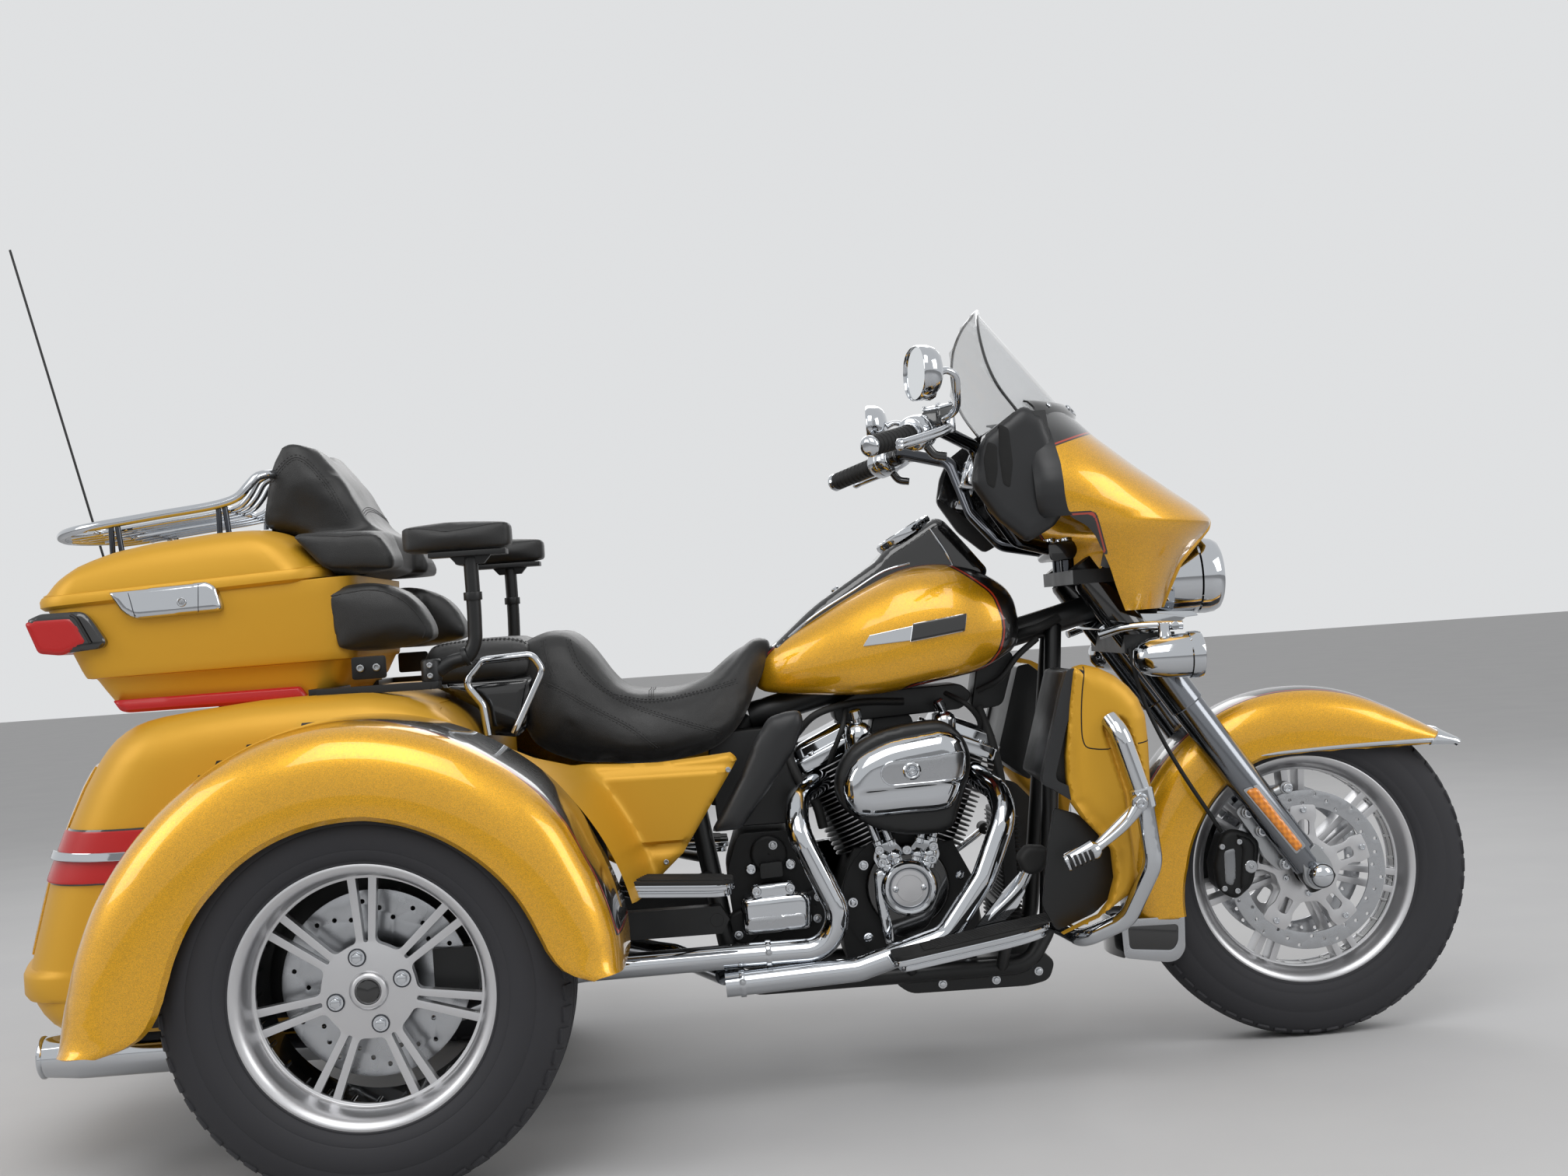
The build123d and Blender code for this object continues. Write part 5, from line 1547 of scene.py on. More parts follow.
@dataclass(frozen=True)
class CastWheel:
    """Cast wheel with split spokes and its tyre.

    Attributes:
        name: the wheel's name.
        body: the CAD body that carries it.
        nodes: the CAD nodes of its rim and tyre.
        at: its centre.
        tyre: radius of its tyre.
        width: width of its tyre.
        seat: radius of the tyre's bead.
        lip: radius of the rim's edge.
        barrel: radius of the barrel's inside.
        rim_half: half of the rim's width.
        face: distance of the spokes' outer face from the wheel's middle, towards the outer side.
        depth: depth of the spokes.
        hub: radius of the hub plate.
        side: the side its outer face is on.
        both: whether both sides have an outer face.
    """

    name: str
    body: str
    nodes: tuple[str, ...]
    at: tuple[float, float, float]
    tyre: float
    width: float
    seat: float
    lip: float
    barrel: float
    rim_half: float
    face: float
    depth: float
    hub: float
    side: int
    both: bool = False

    PAIRS = 7

    def build(self) -> None:
        """Makes the rim, the spokes and the tyre."""
        self._rim()
        self._spokes()
        self._tyre()

    def _turned(self, profile: Points, steps: int = 120) -> Form:
        """A closed profile of (radius, distance towards the outer side) turned about the axle."""
        rows = [(r, self.side * y) for r, y in profile]
        return Form().lathe(rows, self.at, steps=steps)

    def _rim(self) -> None:
        """The bright outer lip and the dark barrel behind it."""
        h, b = self.rim_half, self.barrel
        lip = [(self.lip, h + 1), (self.lip - 1, h + 4), (self.lip - 5, h + 5), (self.lip - 10, h + 3),
               (self.lip - 17, h - 4), (b + 5, h - 18), (b + 3, self.face + 5), (b, self.face + 1),
               (b - 4, self.face), (b - 4, self.face - 6), (b + 1, self.face - 8), (self.seat, self.face - 8),
               (self.seat, h - 6), (self.lip - 2, h - 3)]
        bright = self._turned(lip)
        if self.both:
            bright.join(self._turned([(r, -y) for r, y in lip]))
        bright.build(f"{self.name}_lip", self.body, [MACHINED], "machined_aluminium", [self.nodes[0]], bevel=0.5,
                     angle=28)
        inner = self.face - 8 if self.both else h
        back = -inner
        dark = [(b + 1, self.face - 8), (b - 3, self.face - 12), (b - 3, 0), (b - 3, back + 8),
                (self.seat - 2, back + 2), (self.lip - 3, back + 1),
                (self.lip - 3, back - 1) if not self.both else (self.seat, back), (self.seat, back + 5),
                (self.seat, self.face - 8)]
        barrel = self._turned(dark, 96)
        a = np.radians(np.arange(0, 360, 360 / 28))
        for angle in a:
            u = np.array([math.cos(angle), math.sin(angle)])
            start = (self.at[0] + (b - 1) * u[0], self.at[1] + self.side * (self.face - 9),
                     self.at[2] + (b - 1) * u[1])
            end = (self.at[0] + (b - 1) * u[0], self.at[1] + self.side * (self.face - 46),
                   self.at[2] + (b - 1) * u[1])
            barrel.bar(start, end, [(0, 4.0), (1, 4.0)], 8)
        barrel.build(f"{self.name}_barrel", self.body, [GLOSS_BLACK], "machined_aluminium", angle=30)

    def _window(self, turn: float, corners: Points, cuts: Sequence[float]) -> np.ndarray:
        """An opening given by (along, across) corners in the direction of a turn in degrees.

        Args:
            turn: the direction in degrees.
            corners: the (along, across) corners.
            cuts: how far each corner is cut.

        Returns:
            The points of the opening.
        """
        loop = rounded(corners, cuts, 6)
        a = math.radians(turn)
        x = self.at[0] + loop[:, 0] * math.cos(a) - loop[:, 1] * math.sin(a)
        z = self.at[2] + loop[:, 0] * math.sin(a) + loop[:, 1] * math.cos(a)
        return np.column_stack([x, z])

    def _spokes(self) -> None:
        """The hub plate and the pairs of spokes, as one plate with windows."""
        step, b, hub = 360 / self.PAIRS, self.barrel - 1.5, self.hub
        circle = arc_points((self.at[0], self.at[2]), b + 2, count=140)
        holes = []
        for k in range(self.PAIRS):
            turn = 90 + k * step
            holes.append(self._window(turn, [(hub + 6, -3.4), (hub + 6, 3.4), (b, 10.5), (b, -10.5)], (3, 3, 3, 3)))
            half = math.radians(step / 2)
            edge = self._polar(hub + 5, 14.6, -half), self._polar(b, 23.5, -half)
            far = [(b * math.cos(t), b * math.sin(t)) for t in np.linspace(math.atan2(edge[1][1], edge[1][0]),
                    -math.atan2(edge[1][1], edge[1][0]), 7)]
            corners = [edge[0], *far, (edge[0][0], -edge[0][1]), (hub + 5, 0.0)]
            holes.append(self._window(turn + step / 2, corners, [9.0, 4.0, *[0.0] * 5, 4.0, 9.0, 4.0]))
        levels = sorted(self.at[1] + self.side * y for y in (self.face, self.face - self.depth))
        form = Form().paint(0).plate(circle, *levels, holes=holes, walls=1)
        form.build(f"{self.name}_spokes", self.body, [MACHINED, GLOSS_BLACK], "machined_aluminium", bevel=1.1,
                   angle=50)

    @staticmethod
    def _polar(along: float, across: float, turn: float) -> tuple[float, float]:
        """A point turned about the origin by an angle in radians."""
        return (along * math.cos(turn) - across * math.sin(turn), along * math.sin(turn) + across * math.cos(turn))

    def _tyre(self) -> None:
        """Carcass with wall ribs and tread grooves, and the tread's cross cuts as raised blocks."""
        r, w, s = self.tyre, self.width / 2, self.seat
        wall = r - s
        half = [(s, w * 0.78), (s + 0.05 * wall, w * 0.84), (s + 0.12 * wall, w * 0.89),
                (s + 0.14 * wall, w * 0.885), (s + 0.17 * wall, w * 0.93), (s + 0.26 * wall, w * 0.975),
                (s + 0.275 * wall, w * 0.972), (s + 0.29 * wall, w * 0.985), (s + 0.42 * wall, w),
                (s + 0.56 * wall, w * 0.992), (s + 0.575 * wall, w * 0.978), (s + 0.59 * wall, w * 0.98),
                (s + 0.70 * wall, w * 0.945), (s + 0.80 * wall, w * 0.885), (s + 0.88 * wall, w * 0.80),
                (s + 0.935 * wall, w * 0.70), (s + 0.963 * wall, w * 0.60), (s + 0.975 * wall, w * 0.53)]
        grooves = []
        for share in (0.42, 0.14):
            top = r - 5.5 + 5.5 * math.sqrt(1 - (share / 0.75) ** 2)
            grooves += [(top - 0.4, w * (share + 0.055)), (top - 6, w * (share + 0.04)),
                        (top - 6, w * (share - 0.04)), (top, w * (share - 0.055))]
        right = half + grooves + [(r, w * 0.03)]
        profile = [*right, *[(a, -b) for a, b in reversed(right)]]
        inner = [(s, -w * 0.70), (s, w * 0.70)]
        form = self._turned([*profile, *inner], 160)
        form.build(f"{self.name}_tyre", self.body, [TYRE], "tyre_rubber", [self.nodes[1]], angle=40)
        count = 58
        tall = r * math.radians(360 / count)
        block = Form().plate(rounded([(-0.34 * tall, -w * 0.10), (0.34 * tall, -w * 0.13), (0.30 * tall, w * 0.12),
                                      (-0.38 * tall, w * 0.09)], 2, 3), -3.0, 2.2,
                             place=lambda p, level: np.column_stack([p, np.full(len(p), level)]))
        points, ways, tops = [], [], []
        for sign in (1, -1):
            for k in range(count):
                a = math.radians((k + (0.5 if sign < 0 else 0.0)) * 360 / count)
                out = np.array([math.cos(a), 0, math.sin(a)])
                tilt = 0.42
                radius = s + 0.925 * wall
                points.append(np.array(self.at) + out * radius + np.array([0, sign * w * 0.715, 0]))
                ways.append(out * math.cos(tilt) + np.array([0, sign * math.sin(tilt), 0]))
                tops.append(np.array([-math.sin(a), 0, math.cos(a)]))
        Repeater.at(f"{self.name}_tread", self.body, block, points, ways, TYRE, "tyre_rubber", tops=tops, bevel=0.6)


@dataclass(frozen=True)
class RearWheel:
    """A rear wheel with its lugs, cap and brake disc.

    Attributes:
        side: which side it is on.
        track: distance of its middle from the trike's.
        hub_z: height of its axle.
    """

    side: int
    track: float = 571.0
    hub_z: float = 323.5

    def build(self) -> None:
        """Makes the wheel."""
        name = "right" if self.side == RIGHT else "left"
        body, y = f"rear_wheel_{name}", self.side * self.track
        wheel = CastWheel(f"rear_wheel_{name}", body, (f"rear_rim_{name}", f"rear_tyre_{name}"),
                          (0.0, y, self.hub_z), 323.5, 205.0, 192.0, 207.5, 181.0, 86.0, 30.0, 20.0, 70.0,
                          self.side)
        wheel.build()
        face = y + self.side * wheel.face
        at = (0.0, face, self.hub_z)
        axis = (0, self.side, 0)
        cap = Form().lathe([(0.1, -2), (31, -2), (31, 2), (28, 7), (24, 9), (21, 9), (20, 6), (0.1, 6)], at, axis,
                           steps=48)
        cap.build(f"{body}_cap_ring", body, [MACHINED], "machined_aluminium", bevel=0.4)
        button = Form().lathe([(0.1, 5), (19, 5), (19, 9), (17, 11.5), (9, 13), (0.1, 13.5)], at, axis, steps=40)
        button.build(f"{body}_cap", body, [GLOSS_BLACK], "gloss_black")
        spots = ring_points(4, 55.0, at, start=16)
        ways = [(0, self.side, 0)] * 4
        seat = Form().lathe([(10, -1), (14.5, -1), (14.5, 1.2), (13, 1.8), (10, 1.0)], (0, 0, 0), UPWARD, steps=24)
        Repeater.at(f"{body}_lug_seats", body, seat, spots, ways, CHROME_DARK_REFLECTION, "chrome")
        Repeater.at(f"{body}_lugs", body, Fasteners.hex_bolt(), spots, ways, CHROME, "chrome", sizes=1.5, bevel=0.3)
        self._disc(name, body)
        hub = Form().lathe([(21, -70), (46, -70), (46, 0), (60, 2), (60, 9.5), (21, 9.5)], (0, y, self.hub_z), axis,
                           steps=48)
        hub.build(f"{body}_hub", body, [SATIN_BLACK], "machined_aluminium", bevel=0.8)

    def _disc(self, name: str, body: str) -> None:
        """The drilled brake disc inboard of the spokes.

        Args:
            name: the wheel's name.
            body: the CAD body that carries it.
        """
        y = self.side * (self.track - 41)
        circle = arc_points((0.0, self.hub_z), 150, count=96)
        holes = [arc_points((0.0, self.hub_z), 60, count=48)]
        for k in range(30):
            a, r = math.radians(12 * k), 108 + 12 * (k % 3)
            spot = (r * math.cos(a), self.hub_z + r * math.sin(a))
            holes.append(arc_points(spot, 4, count=8))
        Form().plate(circle, y - 4, y + 4, holes=holes).build(f"{body}_disc", body, [STEEL], "disc_steel", bevel=0.5)


# Luggage


def band_loop(rear: float, front: float, half: float, corner: float, steps: int = 10) -> np.ndarray:
    """A rectangle with rounded corners in plan, evenly set so that loops of any size match point by point.

    Args:
        rear: where it ends at the back.
        front: where it ends at the front.
        half: half its width.
        corner: the corners' radius.
        steps: points round each corner.

    Returns:
        The points of the loop.
    """
    runs = []
    for cx, cy, first in ((front - corner, half - corner, 0), (rear + corner, half - corner, 90),
                          (rear + corner, corner - half, 180), (front - corner, corner - half, 270)):
        a = np.radians(np.linspace(first, first + 90, steps))
        runs.append(np.column_stack([cx + corner * np.cos(a), cy + corner * np.sin(a)]))
    out = []
    for k, run in enumerate(runs):
        nxt = runs[(k + 1) % 4]
        count = 14 if k % 2 == 0 else 10
        out.append(run)
        out.append(np.array([run[-1] + (nxt[0] - run[-1]) * s for s in np.linspace(0, 1, count + 2)[1:-1]]))
    return np.vstack(out)


@dataclass(frozen=True)
class LuggageBox:
    """Top box with its lid, latch, lamps and rack.

    Attributes:
        rear: the seam's rear end.
        front: the box's front wall.
        half: half of its width at the seam.
        rear_z: height of the seam at its rear.
        rise: how much the seam climbs towards the front, for each millimetre.
    """

    rear: float = -581.0
    front: float = -38.0
    half: float = 290.0
    rear_z: float = 967.0
    rise: float = 0.0455

    HINGES = (-430, -160)
    PIN = (300, 980)
    LOWER = ((0.0, -1.5, 289.0, -579.0, -40.0, 60.0), (0.0, -4.0, 289.5, -579.0, -40.0, 60.0),
             (0.0, -30.0, 288.0, -566.0, -42.0, 58.0), (0.5, -78.0, 284.5, -543.0, -44.0, 54.0),
             (0.9, -112.0, 281.0, -528.0, -46.0, 50.0), (1.0, -123.0, 279.5, -522.0, -48.0, 48.0),
             (1.0, -127.0, 277.5, -519.0, -50.0, 46.0), (1.0, -128.5, 270.0, -512.0, -52.0, 44.0),
             (1.0, -128.5, 264.0, -507.0, -54.0, 42.0), (1.0, -132.0, 262.0, -504.0, -56.0, 42.0),
             (1.5, -148.0, 255.0, -494.0, -70.0, 42.0), (2.2, -163.0, 247.0, -483.0, -96.0, 42.0),
             (2.4, -168.0, 243.0, -478.0, -104.0, 42.0), (2.5, -170.0, 232.0, -468.0, -112.0, 38.0))
    LIP = ((1.5, -6.0), (1.5, 2.5), (3.0, 5.0), (12.0, 5.5), (15.0, 4.0), (16.0, 0.5), (17.2, -0.6), (18.5, 0.6))
    TOP = ((-600, 984), (-585, 996), (-571, 1010), (-556, 1020), (-516, 1037), (-454, 1056), (-389, 1067),
           (-281, 1077), (-179, 1080), (-150, 1080), (-60, 1080))
    SHARE = ((0.06, 0.0), (0.22, 1.0), (0.40, 2.6), (0.56, 5.0), (0.70, 9.0), (0.81, 15.0), (0.90, 24.0),
             (0.955, 36.0), (0.985, 52.0), (1.0, 74.0), (1.004, 105.0), (1.006, 150.0), (1.008, 200.0))

    def seam(self, x: np.ndarray) -> np.ndarray:
        """Height of the seam."""
        return self.rear_z + (np.asarray(x) - self.rear) * self.rise

    def build(self) -> None:
        """Makes the box, the lid and all that they carry."""
        self._base()
        self._lid()
        self._latch()
        for side, name in SIDES:
            self._lamps(side, name)
        self._rack()

    def _base(self) -> None:
        """The lower half of the box, with its mounts and the fixed parts of its hinges."""
        rows = []
        for tilt, down, half, rear, front, corner in self.LOWER:
            loop = band_loop(rear, front, half, corner)
            slope = self.rise * (1 - tilt)
            ahead = loop[:, 0] - self.rear
            z = self.rear_z + down + ahead * slope + (tilt > 0) * (0.010 * ahead)
            rows.append(np.column_stack([loop, z]))
        form = Form().skin(np.array(rows[::-1])[::-1], 5.0, wrap=True, lining=1, close=True)
        form.build("box_base", "chassis", [GOLD, SATIN_BLACK], "gold_paint", ["luggage_base"], angle=34)
        mount = Form()
        for y in (-105, 105):
            for x in (-310, -120):
                mount.plate([(x - 18, 740), (x + 18, 740), (x + 14, 800), (x - 14, 800)], y - 14, y + 14)
        mount.plate([(-430, 786), (-90, 772), (-90, 780), (-430, 794)], -125, 125)
        for side in (RIGHT, LEFT):
            low, high = span(side, 326, 358)
            near, far = span(side, 150, 326)
            mount.plate([(-100, 783), (94, 783), (106, 786), (108, 794), (94, 796), (-100, 796)], low, high)
            mount.plate([(-120, 783), (-80, 783), (-80, 796), (-120, 796)], near, far)
            mount.bar((94, side * 342, 783), (94, side * 342, 827), [(0, 16), (0.3, 16), (0.3, 8), (1, 8)])
            mount.tube(smooth([(-262, side * 225, 812), (-266, side * 228, 786), (-280, side * 228, 762)], 8), 5, 10)
        mount.build("box_mounts", "chassis", [SATIN_BLACK], "black_plastic", bevel=1.5)
        hinge = Form()
        for x in self.HINGES:
            hinge.bar((x - 34, *self.PIN), (x + 34, *self.PIN), [(0, 4), (1, 4)], 12)
            for low, high in ((x - 34, x - 18), (x + 18, x + 34)):
                hinge.bar((low, *self.PIN), (high, *self.PIN), [(0, 8), (1, 8)], 20)
                hinge.plate([(low, 948), (high, 948), (high, 982), (low, 982)], 289, 304)
        hinge.build("box_hinges", "chassis", [CHROME], "chrome", bevel=0.8)

    def _lid(self) -> None:
        """The upper half of the box, with the moving parts of its hinges."""
        rows = []
        for up, out in self.LIP:
            loop = band_loop(self.rear - 1 - out, self.front + 2 + out - 60, self.half + out, 60 + out)
            rows.append(np.column_stack([loop, self.seam(loop[:, 0]) + up]))
        foot = 18.5
        for share, inset in self.SHARE:
            rear, front = self.rear + 2 + 16 * share + inset, -103 - 58 * share - inset
            half = self.half + 0.5 - 2 * share - inset
            loop = band_loop(rear, front, half, max(6.0, min(60.0, 60.0 - inset * 0.35)))
            base = self.seam(loop[:, 0]) + foot
            top = table(self.TOP, loop[:, 0] - 4 * (1 - share))
            rows.append(np.column_stack([loop, base + share * np.maximum(top - base, 2.0)]))
        form = Form().skin(np.array(rows), 5.0, wrap=True, lining=1, close=True)
        for x in self.HINGES:
            form.bar((x - 16, *self.PIN), (x + 16, *self.PIN), [(0, 8), (1, 8)], 20)
            form.plate([(x - 16, 978), (x + 16, 978), (x + 16, 996), (x - 16, 996)], 290, 304)
        form.build("box_lid", "lid", [GOLD, SATIN_BLACK], "gold_paint", ["luggage_lid"], angle=34)

    def _latch(self) -> None:
        """The plated latch with its key lock."""
        outline = rounded([(-458, 988), (-284, 996), (-270, 984), (-262, 950), (-266, 941), (-412, 937),
                           (-434, 950)], (4, 9, 6, 4, 5, 10, 8))
        form = Form().pillow(outline, self.half + 7, 9, 9, reach=11, pitch=4)
        form.build("box_latch", "lid", [CHROME], "chrome", ["lid_latch"], angle=50)
        mark = Form()
        y = -(self.half + 16)
        mark.lathe([(5.2, -1), (8.2, -1), (8.2, 1.4), (7.4, 2.2), (5.8, 2.2), (5.2, 1.4)], (-330, y, 962),
                   RIGHTWARD, steps=32)
        mark.lathe([(0.1, -1), (4.8, -1), (4.8, 0.8), (0.1, 1.0)], (-330, y, 962), RIGHTWARD, steps=24)
        mark.plate([(-330.8, 958.8), (-329.2, 958.8), (-329.2, 965.2), (-330.8, 965.2)], y - 1.6, y)
        mark.build("box_latch_lock", "lid", [STEEL], "chrome", bevel=0.2)
        # Thin lines of darkened chrome on the latch: painted shade in its grooves, and painted dark reflection.
        groove = Form()
        for low, high in (((-411, 941), (-420, 984)), ((-303, 943), (-300, 991))):
            groove.tube(smooth([(low[0], y + 0.6, low[1]), ((low[0] + high[0]) / 2, y - 0.4,
                    (low[1] + high[1]) / 2), (high[0], y + 0.6, high[1])], 8), 0.7, 6)
        groove.build("box_latch_lines", "lid", [CHROME_DARK_REFLECTION], "chrome")

    def _lamps(self, side: int, name: str) -> None:
        """Red corner lamp in its dark shroud, and the strip lamp under the box.

        Args:
            side: RIGHT or LEFT.
            name: the side as a word, for the piece names.
        """
        shroud = rounded([(-596, 949), (-573, 958), (-500, 958), (-486, 941), (-464, 903), (-471, 892), (-540, 887),
                          (-577, 894)], (5, 6, 12, 12, 9, 8, 8, 8))
        low, high = span(side, 300, 232)
        frame = Form().plate(shroud, low, high).pillow(shroud, 299, 3, 5, reach=10, pitch=5, side=side)
        frame.build(f"corner_lamp_shroud_{name}", "chassis", [GLOSS_BLACK], "gloss_black", bevel=2.0, steps=3)
        lens = rounded([(-600, 944), (-577, 950), (-520, 950), (-509, 936), (-493, 903), (-540, 884), (-580, 890)],
                       (6, 6, 10, 10, 8, 8, 8))
        low, high = span(side, 302, 226)
        glass = Form().plate(lens, low, high).pillow(lens, 301, 3, 4, reach=8, pitch=5, side=side)
        glass.build(f"corner_lamp_lens_{name}", "chassis", [RED_LENS], "red_lens", bevel=2.0, steps=3)
        trim = smooth([(-520, side * 306, 953), (-512, side * 307, 948), (-503, side * 307, 931),
                       (-489, side * 307, 902)], 14)
        Form().tube(trim, 2.6, 8).build(f"corner_lamp_trim_{name}", "chassis", [SATIN_BLACK], "black_plastic")
        strip = rounded([(-471, 800), (-459, 781), (-445, 777), (-150, 777), (-134, 780), (-147, 802)],
                        (4, 6, 6, 8, 5, 6))
        low, high = span(side, 262, 228)
        bar = Form().plate(strip, low, high).pillow(strip, 261, 3, 5, reach=8, pitch=6, side=side)
        bar.build(f"box_strip_lamp_{name}", "chassis", [RED_LENS], "red_lens", bevel=2.0, steps=3)

    def _rack(self) -> None:
        """Plated rack: an outer rail, rods along it, feet and a pointed rear pad."""
        form = Form()
        for side in (RIGHT, LEFT):
            rail = [(-614, 0, 1101), (-611, 30, 1101), (-598, 90, 1102), (-566, 152, 1105), (-522, 184, 1109),
                    (-400, 194, 1122), (-278, 196, 1136), (-249, 195, 1146), (-230, 192, 1165), (-215, 184, 1181),
                    (-196, 162, 1186), (-190, 110, 1186), (-190, 0, 1186)]
            form.tube(smooth([(x, side * y, z) for x, y, z in rail], 90), 8.2, 16)
            for y in (48, 98, 146):
                rod = [(-560, side * y, 1096), (-520, side * y, 1099), (-400, side * y, 1112),
                       (-290, side * y, 1124), (-258, side * y, 1132), (-238, side * y, 1152),
                       (-222, side * y, 1176), (-206, side * y, 1184)]
                form.tube(smooth(rod, 50), 5.6, 12)
        for x, z in ((-512, 1104), (-282, 1130)):
            form.bar((x, -190, z), (x, 190, z), [(0, 7), (1, 7)], 16)
        form.build("rack_rails", "lid", [CHROME], "chrome", ["luggage_rack"], angle=40)
        tip = [(-617, 0), (-604, 60), (-580, 112), (-548, 128), (-508, 118), (-500, 60), (-500, -60), (-508, -118),
               (-548, -128), (-580, -112), (-604, -60)]
        pad = Form().plate(rounded(tip, 14), 1101, 1109, place=lambda p, level: np.column_stack([p[:, 0], p[:, 1],
                level + (p[:, 0] + 560) * 0.06]))
        pad.lathe([(0.1, 0), (34, 0), (33, 5), (26, 10), (14, 13), (0.1, 14)], (-556, 0, 1107), UPWARD, steps=36)
        pad.build("rack_pad", "lid", [CHROME], "chrome", bevel=2.5, steps=3)
        feet = Form()
        for side in (RIGHT, LEFT):
            for x, top, foot in ((-471, 1114, 1046), (-280, 1134, 1066)):
                for dx in (-9, 9):
                    feet.bar((x + dx, side * 178, foot), (x + dx * 0.6, side * 190, top),
                             [(0, 9), (0.08, 9), (0.12, 5), (1, 5)], 14)
                feet.plate([(x - 24, foot - 4), (x + 24, foot - 1), (x + 24, foot + 5), (x - 24, foot + 2)],
                           *span(side, 166, 192))
        feet.build("rack_feet", "lid", [CHROME_DARK_REFLECTION], "chrome", bevel=0.8)
        runner = []
        for x in np.linspace(-512, -200, 18):
            z = float(table(self.TOP, x)) + 2.2
            runner.append([(x, y, z + 2.0 * (1 - (y / 160) ** 2)) for y in np.linspace(-160, 160, 12)])
        Form().skin(np.array(runner)[:, ::-1], 5.0).build("rack_runner", "lid", [CHROME], "chrome", bevel=1.0)
        collar = Form().bar((-612, 285, 966), (-618, 285, 990), [(0, 13), (0.3, 13), (0.5, 9), (1, 5)])
        collar.build("antenna_collar", "chassis", [CHROME], "chrome", bevel=0.6)


